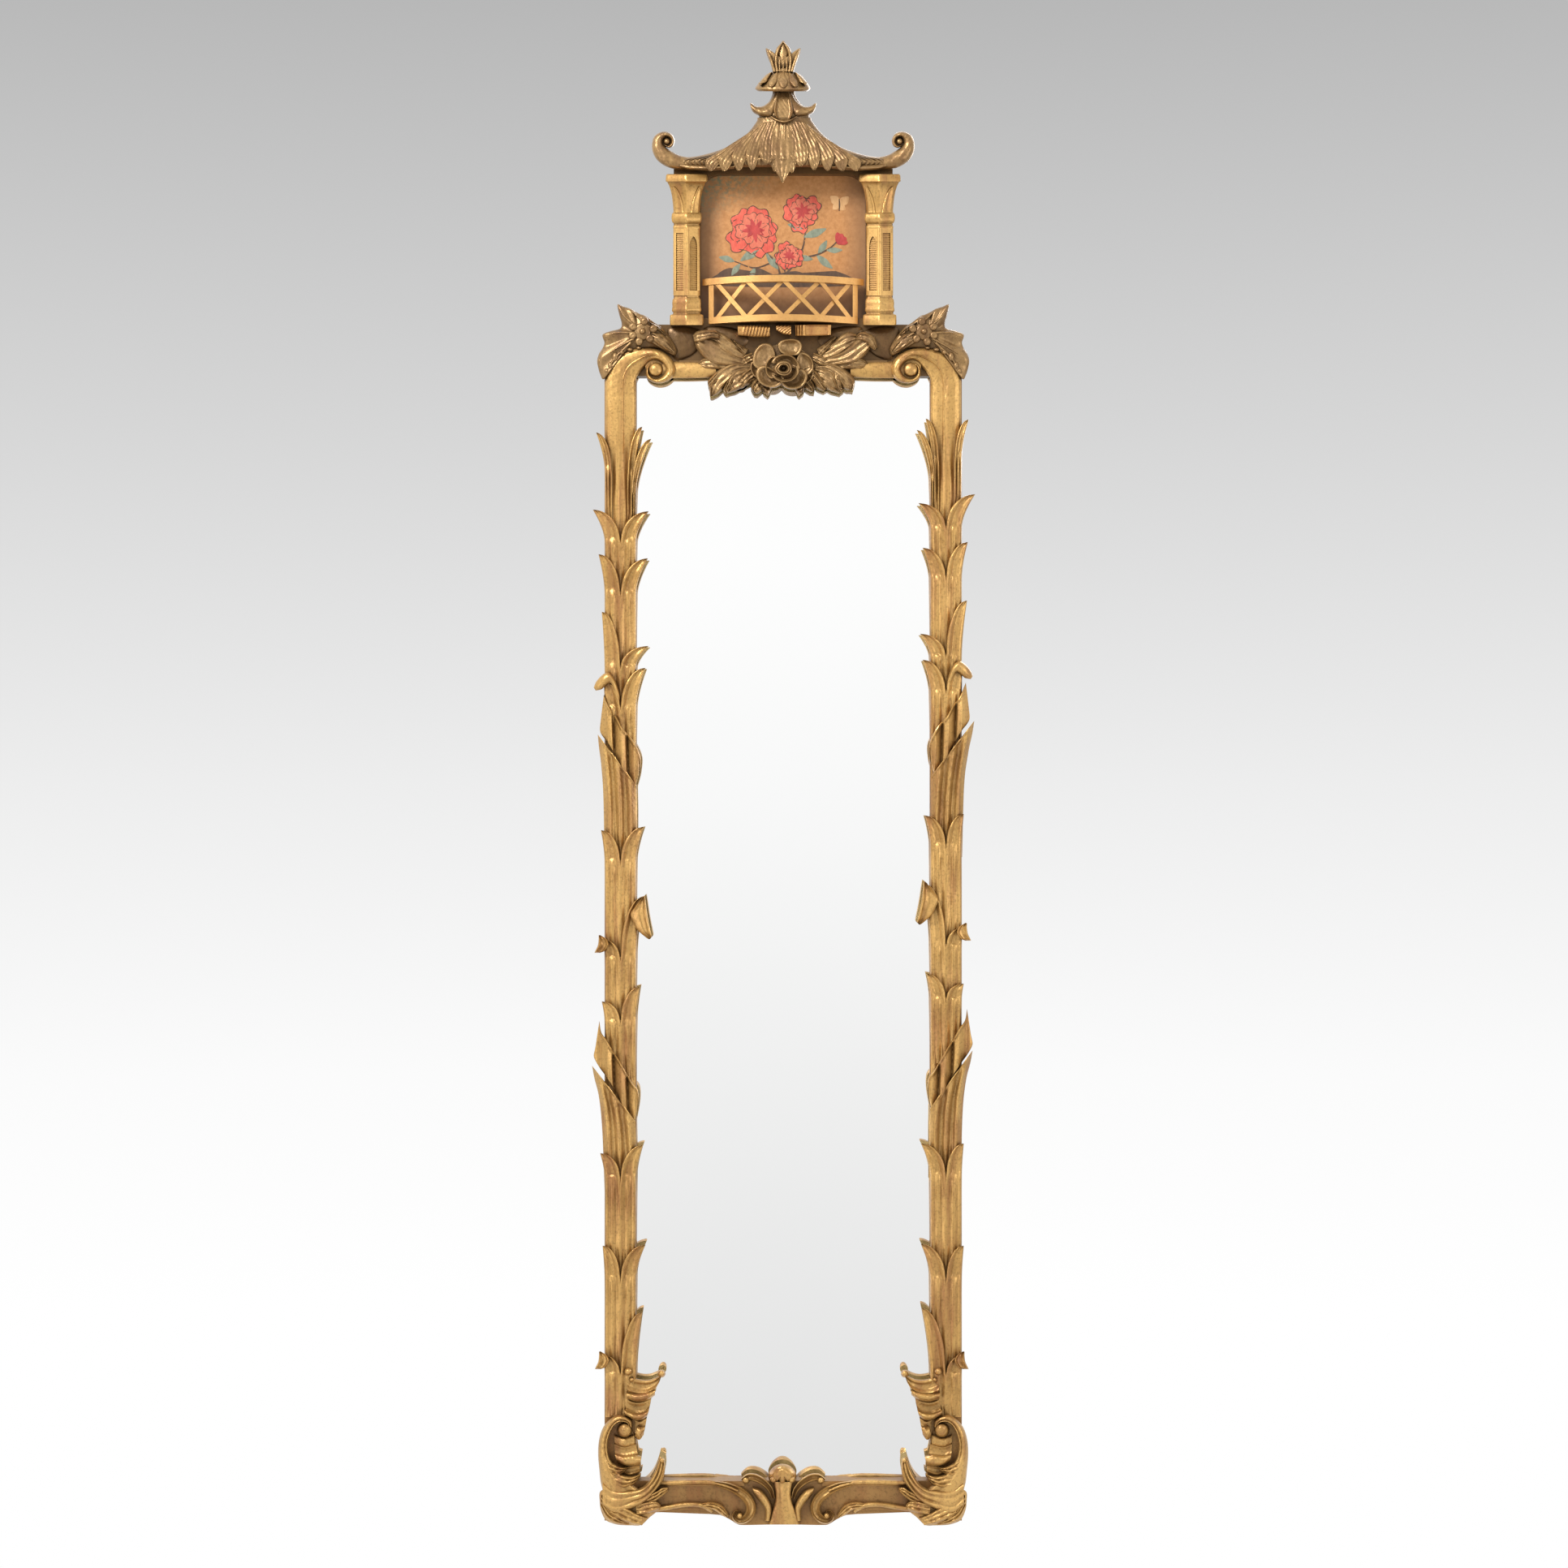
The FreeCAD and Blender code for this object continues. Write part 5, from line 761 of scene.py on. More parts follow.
flower = [fan(oval(791.5, 408.5, 12, 12), (791.5, 408.5), ((0, 14), (0.8, 13), (1, 9)), 4.0),
          knob(791.5, 408, 4.6, 18.5, 8.0)]
for u, v, turn in ((780, 402.5, 3.6), (794, 396, 4.8), (805, 405, 5.9), (800.5, 417, 0.9),
                   (787.5, 420.5, 1.9), (779.5, 413, 2.7)):
    ring = turned([(math.cos(k), math.sin(k)) for k in np.arange(0, 6.2, EIGHTH_TURN)], u, v, turn, 5.6, 5.2)
    flower.append(fan(even(ring), (u, v), ((0, 14.6), (0.5, 14.9), (0.85, 13.8), (1, 11)), 4.0, 0.0, 8, 28))
both_sides(("corner_volute", corner_scroll, GILT, "gilding", "corner_scroll"),
           ("corner_spray", corner_leaves, WEATHERED, "gilding", "corner_leaves"),
           ("corner_blossom", flower, WEATHERED, "gilding", "corner_flower"))

# Rose: cupped petals with rolled rims laid round a hollow bud
PETAL_RISE = ((0, 0.74), (0.4, 0.76), (0.65, 0.86), (0.82, 0.98), (0.9, 1.0), (0.96, 0.94), (1, 0.7))
PETALS_PX = (
    (((927, 446), (929, 434), (936, 425), (943, 422.5), (950, 424.5), (954, 430), (956, 440), (950, 452),
      (938, 456), (930, 453)), 15, 0),
    (((958, 425), (963, 419.5), (974, 417.3), (984, 419), (988.5, 425), (987, 433), (982, 438), (970, 438),
      (961, 434)), 18, 0),
    (((984, 434), (992, 434.5), (999, 440), (1002.5, 449), (1001, 458), (994, 463), (986, 459), (981, 446)),
     15, 0),
    (((1001, 452), (1003, 460), (1000, 468), (993, 473), (984, 470), (984, 460), (992, 452)), 13, 0),
    (((926, 446), (924.5, 455), (929, 464), (937, 466), (944, 460), (940, 450), (934, 446)), 12, 0),
    (((932, 456), (931.5, 464), (936, 472), (945, 477), (955, 477.8), (963, 473.5), (967, 466), (958, 458),
      (946, 451), (937, 451)), 22, 2),
    (((961, 470), (967, 477.5), (977, 480), (987, 477.5), (994, 470), (995, 460), (987, 454), (974, 459),
      (964, 464)), 21, 2),
    (((950, 447), (955, 439.5), (966, 436.3), (977, 439), (984, 446.5), (985.5, 455), (975, 453),
      (961, 449)), 25, 6),
    (((944, 461), (943, 450), (947, 441.5), (954, 437.5), (959, 444), (956, 454), (958, 464), (950, 467)),
     23, 6),
    (((950, 462), (957, 469), (967, 471), (978, 468), (985, 459), (983, 450), (976, 457), (963, 463)), 25.5,
     6))
rose = [fan(oval(965, 450, 34, 26, 12, 0.52), (965, 450), ((0, 9), (1, 5)))]
for outline, rim, foot in PETALS_PX:
    middle = np.mean(outline, 0)
    rises = [(r, foot * 0.4 + (rim - foot * 0.4) * share) for r, share in PETAL_RISE]
    rose.append(fan(even(outline), middle, rises, foot, 0.0, 14, 72))
for radius, top, turn in ((12.5, 26, 0.4), (9.0, 27.5, 2.2)):
    ring = [(965.5 + radius * math.cos(turn + k) * (1.0 + 0.06 * math.sin(3 * k)),
             454 + 0.84 * radius * math.sin(turn + k), 1)
            for k in np.arange(0, 6.2, 0.7)]
    rises = ((0, 16), (0.34, 16.5), (0.5, top - 3), (0.68, top), (0.82, top - 0.4), (1, top - 5))
    rose.append(fan(ring, (965.5, 454), rises, 8.0, 0.0, 14, 48))
piece("rose_bloom", rose, AGED, "gilding", "rose")

# Sprays: stations from the base to the tip of each leaf, its heights, and the height that it starts from
SPRAYS_PX = {
    "left": (
        ([(936, 446, 934, 458), (914, 440, 914, 453), (900, 433, 897, 452), (888, 424, 880, 450),
          (876, 416, 867, 441), (864, 412, 859, 431), (857, 414, 856, 422)],
         [7, 9, 12, 14, 15, 15, 13], 0),
        ([(853.5, 413, 856, 422), (858, 408.5, 861, 422), (868, 406.5, 869, 420), (878, 406.5, 877, 417),
          (884.5, 408, 885, 418), (889, 415.5, 889, 416.5)], [14, 17.5, 18.5, 18.5, 16.5, 10], 7),
        ([(916, 440, 922, 430), (909, 430, 912, 424), (900.5, 417.5, 902, 417)], [9, 12, 8], 0),
        ([(932, 448, 936, 458), (912, 446, 918, 458), (899, 448, 906, 463), (887, 454, 898, 472),
          (878, 463, 891, 479), (874, 474, 885, 485), (874.5, 488, 878, 488.5)],
         [7, 9, 12, 14, 14, 13, 9], 0),
        ([(900, 460, 908, 460), (895, 471, 903, 470), (891, 480, 899, 479), (893.5, 484.5, 897, 484)],
         [12, 15, 14, 10], 4),
        ([(889, 453, 891, 464), (880, 461, 883, 471), (872.5, 469, 876, 478), (872, 474, 873, 477)],
         [12, 14, 12, 9], 3),
        ([(927, 450, 933, 463), (915, 459, 922, 472), (908, 467, 916, 478), (906, 477.5, 909, 479.5)],
         [10, 14, 13, 9], 0),
        ([(937, 462, 947, 472), (928, 469, 939, 481), (925, 477, 934, 485), (929, 485, 931, 485)],
         [10, 15, 14, 9], 0),
        ([(926, 434, 930, 444), (915, 438, 920, 450), (906, 447, 912, 454)], [8, 10, 7], 0)),
    "right": (
        ([(996, 446, 998, 458), (1016, 439, 1018, 453), (1032, 435, 1036, 451), (1045, 426, 1051, 449),
          (1056, 417, 1062, 442), (1066, 412, 1071, 432), (1074, 414, 1076, 423)],
         [7, 9, 12, 14, 15, 15, 13], 0),
        ([(1051.5, 418, 1052, 419), (1060, 409.5, 1061, 420), (1070, 410, 1068, 423),
          (1078, 416, 1073, 429), (1081, 428, 1077, 432)],
         [10, 17.5, 18.5, 17.5, 13], 7),
        ([(1012, 441, 1006, 430), (1020, 431, 1014, 424), (1032, 416, 1027, 414)], [9, 12, 8], 0),
        ([(998, 448, 994, 458), (1018, 446, 1012, 458), (1031, 449, 1024, 463), (1042, 455, 1032, 471),
          (1049, 462, 1037, 477), (1053.5, 470, 1043, 480.5), (1051, 481, 1047, 480)],
         [7, 9, 12, 14, 14, 13, 9], 0),
        ([(1025, 458, 1034, 460), (1026, 468, 1037, 470), (1030, 478, 1038, 478), (1033, 481, 1036, 480)],
         [12, 15, 14, 10], 4),
        ([(998, 450, 992, 463), (1008, 459, 1000, 470), (1015, 468, 1006, 478), (1019, 479, 1014, 482)],
         [10, 14, 13, 9], 0),
        ([(993, 462, 984, 472), (1001, 469, 992, 479), (1004, 476, 997, 482), (1003, 483, 1001, 483)],
         [10, 14, 13, 9], 0),
        ([(1003, 434, 1000, 446), (1014, 438, 1010, 451), (1026, 447, 1022, 453)], [8, 11, 8], 0),
        ([(1040, 418, 1038, 430), (1029, 423, 1026, 436), (1020, 432, 1017, 440)], [6, 9, 7], 0))}
# Broad lobes that fill both sprays, drawn on the left
SPRAY_LOBES_PX = (
    ([(912, 428, 922, 446), (898, 416, 904, 442), (886, 409, 889, 434), (876, 411, 877, 424),
      (871, 416, 871.5, 418)], [9, 12, 13.5, 12.5, 9]),
    ([(896, 440, 900, 458), (882, 438, 884, 456), (869, 440, 870, 455), (860, 447, 861, 451)],
     [10, 11.5, 11, 7.5]),
    ([(924, 452, 932, 470), (908, 456, 916, 477), (897, 466, 906, 482), (890, 480, 896, 485)],
     [9, 13, 13.5, 9]),
    ([(944, 466, 952, 476), (938, 474, 948, 485), (940, 483, 946, 488)], [10, 14, 9]))
for name, sprays in SPRAYS_PX.items():
    parts = [strip(stations, crowns, veined, back, 44, 26) for stations, crowns, back in sprays]
    for stations, crowns in SPRAY_LOBES_PX:
        parts.append(strip(stations if name == "left" else twin(stations), crowns, veined, 0.0, 44, 26))
    piece(f"{name}_rose_spray", parts, AGED, "gilding", f"{name}_rose_leaves")

# Low swellings of the ground behind the sprays
ground = [fan(even(outline), np.mean(outline, 0), ((0, 5), (0.5, 4.6), (0.85, 3), (1, 1.2))) for outline in
          (((822, 408), (836, 402), (856, 404), (868, 412), (862, 428), (848, 440), (830, 441)),
           ((868, 404), (890, 402), (914, 408), (922, 420), (908, 432), (886, 428), (872, 418)),
           ((880, 444), (900, 446), (916, 456), (914, 468), (896, 472), (882, 462)))]
both_sides(("crest_ground", ground, SHADE, "gilding"))

# Bottom corners: C scroll, rocaille shells and acanthus
FOOT_BAND_PX = [
    (779.5, 1759, 774.5, 1758), (778.5, 1750, 772.5, 1754), (771, 1744.5, 767.5, 1752.5),
    (761, 1743, 761.5, 1753.5), (751, 1748.5, 755.5, 1759), (742.5, 1760, 750.5, 1770),
    (738, 1775, 748.5, 1783), (737, 1792, 751, 1796), (738.5, 1811, 758, 1806), (741, 1830, 768, 1818),
    (748, 1848, 784, 1832), (762, 1860, 800, 1842)]


def foot_band(s, t):
    return np.interp(s, [0, 0.08, 0.28, 0.5, 0.7, 0.86, 0.95, 1],
                     [0.3, 0.68, 0.93, 1.0, 0.9, 0.98, 0.82, 0.4])


def cupped(s, t):
    """Shell wall: a thin upper rim, a hollow, and a swell towards its foot."""
    return np.interp(s, [0, 0.08, 0.16, 0.35, 0.6, 0.85, 1],
                     [0.3, 0.62, 0.7, 0.58, 0.64, 0.92, 0.8]) + 0.03 * np.cos(9 * t)


foot_scroll = [strip(FOOT_BAND_PX, [14, 16, 17, 17.5, 17.5, 17.5, 17.5, 17.5, 17, 16.5, 15, 12], foot_band,
                     0.0, 110, 24),
               fan(even(((752, 1760), (770, 1752), (782, 1770), (786, 1800), (784, 1826), (760, 1822),
                         (748, 1790))),
                   (768, 1790), ((0, 3.5), (1, 3.0))),
               fan(oval(769.5, 1762, 9.4, 9.2), (770.3, 1761.4),
                   ((0, 17.5), (0.35, 17), (0.8, 14), (1, 7)), 2.0)]
FOOT_SHELLS_PX = (
    ([(756.5, 1767, 758, 1781), (768, 1771, 769, 1784), (781, 1767, 782, 1781)], [8, 10, 9], rounded(0.35)),
    ([(757, 1778, 758, 1793), (768, 1781, 769, 1796), (783, 1778, 786, 1793)], [8, 9, 8], cupped),
    ([(757.5, 1790, 760, 1802), (768, 1792.5, 769, 1806.5), (780, 1791.5, 781, 1807),
      (790, 1794, 788.5, 1805)], [13, 16, 16, 13], rounded(0.25)),
    ([(763, 1803, 764, 1812), (774, 1806, 775, 1818), (788, 1804, 788, 1814)], [9, 10, 9], cupped))
foot_scroll += [strip(rows, crowns, shape, 2.0, 36, 20) for rows, crowns, shape in FOOT_SHELLS_PX]
ACANTHUS_PX = (
    ([(749, 1798, 744, 1815), (759, 1804.5, 756, 1819), (768, 1808, 766, 1816), (775, 1807, 774.5, 1809.5)],
     [17, 18.5, 16, 11]),
    ([(756, 1811, 750, 1832), (771, 1818, 769, 1834), (783, 1818, 781, 1829), (790, 1814.5, 789.5, 1819)],
     [16, 18, 16, 11]),
    ([(743, 1826, 742, 1856), (756, 1834, 758, 1867), (772, 1836, 780, 1859), (787, 1834, 797, 1850),
      (798, 1826.5, 808, 1838), (806, 1814, 816, 1825), (811, 1800, 819.5, 1811),
      (812.5, 1794.5, 819, 1798)], [14, 17, 18, 18.5, 18, 17, 16, 12.5]),
    ([(793, 1842, 795, 1857), (806, 1838, 808, 1850), (815, 1833, 817, 1843), (822.5, 1832.5, 823, 1837)],
     [14, 16, 15, 10]),
    ([(783, 1851, 785, 1869), (797, 1849, 799, 1865), (808, 1849, 810, 1861), (814, 1854, 813.5, 1858)],
     [13, 15, 13, 9]),
    ([(760, 1852, 750, 1865), (774, 1858, 766, 1874), (788, 1866, 781, 1878.5), (798, 1870, 791, 1879.5)],
     [14, 16, 14, 9]),
    ([(741, 1842, 740, 1858), (750, 1858, 747, 1871), (762, 1868, 758, 1877), (776, 1874, 774, 1879.5)],
     [11, 13, 12, 8]))
foot_leaves = [strip(rows, crowns, veined, [0] * (len(crowns) - 2) + [2, 4], 46, 24)
               for rows, crowns in ACANTHUS_PX]
FOOT_GROUND_PX = ((739.5, 1838), (739, 1850), (740.5, 1861), (746, 1872.5), (755, 1877), (764, 1879),
                  (778, 1879.5), (790, 1879), (800, 1870), (812, 1858), (800, 1845), (770, 1838),
                  (750, 1834))
foot_leaves += [fan(even(FOOT_GROUND_PX), (772, 1858), ((0, 8), (0.8, 8), (0.95, 6), (1, 3)), 0.0, 0.0, 8,
                    80),
                knob(815.6, 1799.5, 3.8, 18.5, 8.0)]
SHELLS_PX = (
    ([(770.5, 1691, 774, 1716), (783, 1698, 784, 1719), (798, 1700, 797, 1718), (810, 1696, 806, 1713),
      (817, 1690, 812, 1704)],
     [17, 16, 16, 16.5, 17], cupped),
    ([(771.5, 1714.5, 773, 1724), (784, 1716, 785, 1727.5), (797, 1714.5, 798, 1725.5),
      (807, 1711, 807, 1719)], [18, 20.5, 20, 17], rounded(0.25)),
    ([(774, 1723, 770, 1741), (784, 1726, 781, 1746), (795, 1724, 793, 1746), (803, 1720, 799, 1740)],
     [13, 14, 14, 13], cupped),
    ([(768.5, 1735.5, 770.5, 1745), (780, 1740, 781, 1750), (790, 1740, 791, 1750),
      (800, 1736, 797.5, 1745)], [16, 19, 18.5, 15], rounded(0.25)),
    ([(782, 1747, 783, 1770), (789, 1749, 788, 1774), (797, 1745, 793, 1768)], [11, 14, 11], cupped),
    ([(786, 1756, 782, 1770), (791, 1757, 787, 1774), (795, 1756, 793, 1768)], [13, 16, 12], rounded(0.3)))
shells = [strip(rows, crowns, shape, 1.0, 40, 22) for rows, crowns, shape in SHELLS_PX]
shells += [knob(773.7, 1690, 5.6, 20, 3.0), knob(815, 1692.5, 5.0, 18.5, 3.0),
           knob(778, 1700, 3.0, 18.5, 6.0)]
both_sides(("foot_volute", foot_scroll, GILT, "gilding", "foot_scroll"),
           ("foot_acanthus", foot_leaves, GILT, "gilding", "foot_leaves"),
           ("foot_shells", shells, GILT, "gilding", "shell_stack"))

# Bottom rail: a sunk brown field between a bead and an arched lip, and scrolls that frame the cartouche
RAIL_EDGE_PX = ((800, 1863.5), (822, 1863), (845, 1860.5), (871, 1862), (888, 1867), (899, 1872),
                (908, 1877.5), (916, 1879), (948, 1878.5))
RAIL_TOP_PX = 1824.8
RAIL_BEAD_PX = [(800, 1828), (825, 1827.5), (855, 1826.5), (876, 1827), (894, 1831), (909, 1837)]
RAIL_SCROLL_PX = [(880, 1827.5), (897, 1831.5), (911, 1838), (921, 1846.5), (925.5, 1856), (924, 1865),
                  (918, 1871.5), (910, 1873), (905, 1868.5), (907, 1863.5), (912, 1863)]
RAIL_LIP_PX = [(800, 1860.5), (822, 1857.5), (845, 1854), (862, 1854.5), (873, 1858.5), (878, 1862.5)]


def sunk(s, t):
    """Nearly flat field that falls off towards its foot."""
    return np.interp(s, [0, 0.1, 1], [0.9, 1, 0.9])


def double_ridge(s, t):
    """Band with a raised line along each edge."""
    return np.interp(s, [0, 0.14, 0.26, 0.5, 0.72, 0.86, 1], [0.4, 1.0, 0.72, 0.6, 0.74, 1.0, 0.4])


rail_field = [strip([(u, RAIL_TOP_PX, u, v) for u, v in RAIL_EDGE_PX], 3.4, sunk, 0.0, 60, 16)]
rail_scroll = [
    cord_strip(RAIL_BEAD_PX, [7.5, 7.5, 7.5, 7.5, 7, 6], [8.5, 8.5, 8.5, 8.5, 9, 9.5], rounded(0.2), 0.0,
               70, 14),
    cord_strip(RAIL_SCROLL_PX, [6, 10, 12.5, 13.5, 13.5, 12.5, 11, 9, 7, 5, 3.5],
               [9, 10, 11, 12, 12.5, 12.5, 12.5, 12, 11, 10, 8], double_ridge, 1.0, 100, 20),
    cord_strip(RAIL_LIP_PX, [8, 7.5, 7, 7, 7.5, 5], [8.5, 8.5, 9, 9, 8.5, 6], rounded(0.2), 0.0, 60, 12),
    strip([(862, 1853, 864, 1858), (873, 1850.5, 873, 1859), (884, 1852, 882, 1862), (892, 1857, 889, 1867),
           (899, 1867, 895, 1870)],
          [8, 10.5, 11, 10.5, 7], veined, 1.0, 30, 16),
    knob(911.5, 1868, 4.4, 13, 3.0)]
CARTOUCHE_SCROLL_PX = [(914, 1824), (922, 1820), (931, 1821), (941, 1826.5), (949, 1835), (953, 1846)]
rail_scroll += [
    cord_strip(CARTOUCHE_SCROLL_PX, [5, 9, 10, 9, 7.5, 5], [7, 9.5, 11.5, 13, 14, 13], double_ridge, 0.0,
               70, 18),
    strip([(927, 1832, 928.5, 1840.5), (937, 1835, 934, 1848), (946.5, 1845, 940, 1855),
           (951.5, 1858, 943, 1862), (949.5, 1874, 942.5, 1874)],
          [9.5, 14, 15, 14, 11], rounded(0.3), 0.0, 44, 18),
    knob(919, 1824, 4.6, 10.5, 2.0)]
CARTOUCHE_HEAD_PX = (
    (956, 1805.5), (964, 1803.5), (972, 1805.5), (978.5, 1811), (981.5, 1818), (979, 1825), (973, 1828),
    (969.5, 1826), (966.5, 1831), (961.5, 1831), (958.5, 1826), (955, 1828), (949, 1825), (946.5, 1818),
    (949.5, 1811))
CARTOUCHE_STEM_PX = [(952.5, 1826, 977.5, 1826), (955, 1840, 975, 1840), (954, 1852, 977, 1852),
                     (949.5, 1866, 983, 1866), (946.5, 1878.5, 986, 1878.5)]


def cartouche_stem(s, t):
    """Stem with three soft ribs."""
    return np.interp(s, [0, 0.06, 0.18, 0.32, 0.5, 0.68, 0.82, 0.94, 1],
                     [0.5, 0.86, 1.0, 0.88, 0.97, 0.88, 1.0, 0.86, 0.5])


cartouche = [
    fan(even(CARTOUCHE_HEAD_PX), (964, 1815),
        ((0, 20.5), (0.35, 20), (0.65, 16.5), (0.85, 11), (0.95, 6.5), (1, 2.5)), 1.0, 0.0, 14, 72),
    strip(CARTOUCHE_STEM_PX, [14, 14.5, 14, 12.5, 10.5], cartouche_stem, 0.0, 46, 30)]
for u in (953, 975.5):
    rises = ((0, 16.5), (0.5, 16), (0.85, 14), (1, 10))
    cartouche.append(fan(oval(u, 1823, 4.2, 4.2), (u, 1823), rises, 6.0, 0.0, 12, 32))
piece("rail_cartouche", cartouche, GILT, "gilding", "bottom_cartouche")
both_sides(("rail_field", rail_field, FIELD_AND_EDGE_SHADE, "gilding"),
           ("rail_scroll", rail_scroll, GILT, "gilding", "cartouche_scroll"))

# Top rail: a half-round moulding shows between the rose's leaves and the corner scrolls
rail_moulding = [strip([(816, 445.5, 816, 466), (850, 445.5, 850, 466), (882, 446.5, 882, 465)],
                       [8.5, 9, 8.5], rounded(0.45), 0.0, 20, 20)]
both_sides(("rail_moulding", rail_moulding, GILT, "gilding"))

# Pagoda roof: a swept body with fine lines, a palmette and leaves that hang over the eaves
ROOF_BODY_PX = [(933, 145, 999, 145), (932, 150, 1001, 150), (920, 165, 1013, 165),
                (901, 178.5, 1031, 178.5), (880, 187, 1051, 187), (858, 192.5, 1072, 192.5),
                (836, 195.5, 1095, 195.5), (826, 199, 1104, 199), (829, 203.5, 1101, 203.5),
                (842, 206, 1088, 206)]


def roof_body(s, t):
    """Round body with lines that fan out from its top, bolder towards the middle."""
    out = np.abs(2 * s - 1)
    body = 0.16 + 0.84 * np.sqrt(np.clip(1 - out ** 2, 0, 1))
    bold = 0.05 * (1 - out) * np.cos(2 * math.pi * 9 * (2 * s - 1))
    fine = 0.022 * np.cos(2 * math.pi * 22 * (2 * s - 1) * (1 + 0.1 * t)) * (0.3 + out)
    return body + (bold + fine) * smooth(0.05, 0.3, t) * smooth(0.0, 0.12, 1 - out)


roof = [strip(ROOF_BODY_PX, [20, 20, 21.5, 24.5, 27.5, 30, 30.5, 29, 26, 21], roof_body, 0.0, 80, 200)]
ROOF_LEAVES_PX = (
    [(954, 149, 976, 149), (950, 168, 980, 168), (949, 190, 980, 190), (953, 207, 976, 207),
     (959, 217, 970, 217), (963, 225, 965, 225)],
    [(946, 150, 960, 149), (938, 170, 954, 170), (935, 186, 953, 190), (937, 195, 951, 199),
     (942, 201, 946, 202)],
    [(970, 149, 985, 150), (976, 170, 993, 170), (978, 190, 997, 186), (981, 200, 995, 197),
     (985, 205, 988, 205)],
    [(949, 188, 961, 194), (948, 199, 960, 206), (951, 206, 958, 210), (953, 211, 955.5, 211.5)],
    [(969, 194, 980, 188), (970, 207, 981, 201), (973, 211, 979, 208), (975, 213, 977.5, 212.5)])
ROOF_SIDE_LEAVES_PX = (
    [(938, 151, 951, 150), (924, 173, 941, 176), (919, 190, 935, 196), (921, 202, 931, 206),
     (925, 209.5, 928, 209.5)],
    [(936, 152, 946, 151), (912, 175, 927, 179), (902, 191, 919, 198), (904, 202, 915, 207),
     (908, 210, 911, 210.5)],
    [(935, 154, 941, 153), (900, 180, 914, 185), (886, 194, 903, 200.5), (886, 203, 898, 208),
     (890, 210.5, 893, 211)],
    [(934, 156, 939, 155), (889, 185, 902, 189.5), (871, 196, 887, 202.5), (869, 203.5, 881, 208.5),
     (873, 210.5, 876, 211)])
ROOF_HALF_PX = 138
ROOF_ROWS_PX = (145, 165, 178, 187, 195, 209, 225)
ROOF_RISES = (20, 21.5, 24.5, 27.5, 31, 27, 27)
EAVE_PX = [(838, 203.5), (850, 206), (865, 206.5), (885, 206), (905, 205)]


def palm_leaf(s, t):
    """Leaf of the roof: a rib and two flutes on each side, flush with the body at its top."""
    r = np.abs(2 * s - 1)
    return np.interp(r, [0, 0.1, 0.22, 0.42, 0.52, 0.68, 0.86, 1],
                     [1.0, 0.975, 0.9, 0.95, 0.965, 0.89, 0.92, 0.66])


for leaf in ROOF_LEAVES_PX + ROOF_SIDE_LEAVES_PX + tuple(twin(leaf) for leaf in ROOF_SIDE_LEAVES_PX):
    crowns = []
    backs = []
    for number, station in enumerate(leaf):
        out = min(1.0, abs((station[0] + station[2]) / 2 - AXIS_PX) / ROOF_HALF_PX)
        share = number / (len(leaf) - 1)
        round_off = 0.16 + 0.84 * math.sqrt(1 - out ** 2)
        under = np.interp((station[1] + station[3]) / 2, ROOF_ROWS_PX, ROOF_RISES) * round_off
        crowns.append(under + np.interp(share, [0, 0.4, 0.8, 1], [-0.5, 1.6, 3.6, 3.0]))
        backs.append(under - np.interp(share, [0, 0.6, 1], [5, 4, 2]))
    roof.append(strip(leaf, crowns, palm_leaf, backs, 50, 30))
eave = cord_strip(EAVE_PX, [7, 9, 9, 8, 6], [17, 20, 23, 25, 26], rounded(0.4), 3.0, 40, 14)
roof += [eave] + mirrored([eave])
piece("roof_thatch", roof, WEATHERED, "aged_gilding", "pagoda_roof")
HORN_PX = [(856, 208.5, 858, 192.5), (842, 210, 847, 193.5), (824, 206.5, 836, 191),
           (811, 198.5, 828.5, 187), (804.5, 188, 821, 182), (803.3, 178, 817, 176.6),
           (806, 168.5, 817.6, 171.8), (813, 163.2, 820.2, 169), (821, 162.3, 822.6, 168.8),
           (828, 165.8, 825.4, 170.6), (831.3, 173, 826.6, 173.8), (829.5, 179.8, 825.6, 176.8),
           (824.5, 182.4, 823, 179), (818.8, 180.5, 820, 177.6)]
horn = [strip(HORN_PX, [16, 16, 16.5, 17, 17, 16.5, 16.5, 16.5, 16.5, 16, 15.5, 15, 14, 12], rounded(0.45),
              0.5, 110, 16),
        fan(even(((814, 172), (820, 165), (828, 170), (827, 179), (819, 181))), (821, 174),
            ((0, 9), (1, 8)), 1.0),
        knob(821.6, 174, 4.6, 15.5, 6.0)]
both_sides(("roof_horn", horn, AGED, "aged_gilding", "eave_scroll"))

# Finial: upturned tier with a tongue, lobed cap and leaf crown
tier = [strip([(952, 112.5, 979, 112.5), (951, 118, 980, 118), (947, 126, 985, 126), (940, 133, 992, 133),
               (935, 141, 997, 141), (936, 147, 997, 147)], [13, 13.5, 15, 18, 20, 18], rounded(0.2), 0.0,
              40, 44)]
TIER_SIDE_PX = [(954, 114, 962, 118), (948.5, 124, 959, 136), (940.5, 130.5, 953, 145),
                (932, 131, 940, 144), (927, 127.8, 930, 140), (924.4, 126.8, 926, 135.5),
                (924.2, 129, 924.8, 131)]
TIER_TONGUE_PX = [(957, 114, 973, 114), (954.5, 126, 976, 126), (953, 137, 978, 137), (956, 145, 975, 145),
                  (962, 148.6, 969, 148.6)]


def tongue(s, t):
    """Leaf with a raised rim round a plain hollow."""
    r = np.abs(2 * s - 1)
    rim = np.maximum(np.exp(-((r - 0.84) / 0.12) ** 2), np.exp(-((t - 0.93) / 0.06) ** 2))
    return 0.8 + 0.2 * rim - 0.25 * smooth(0.92, 1, r)


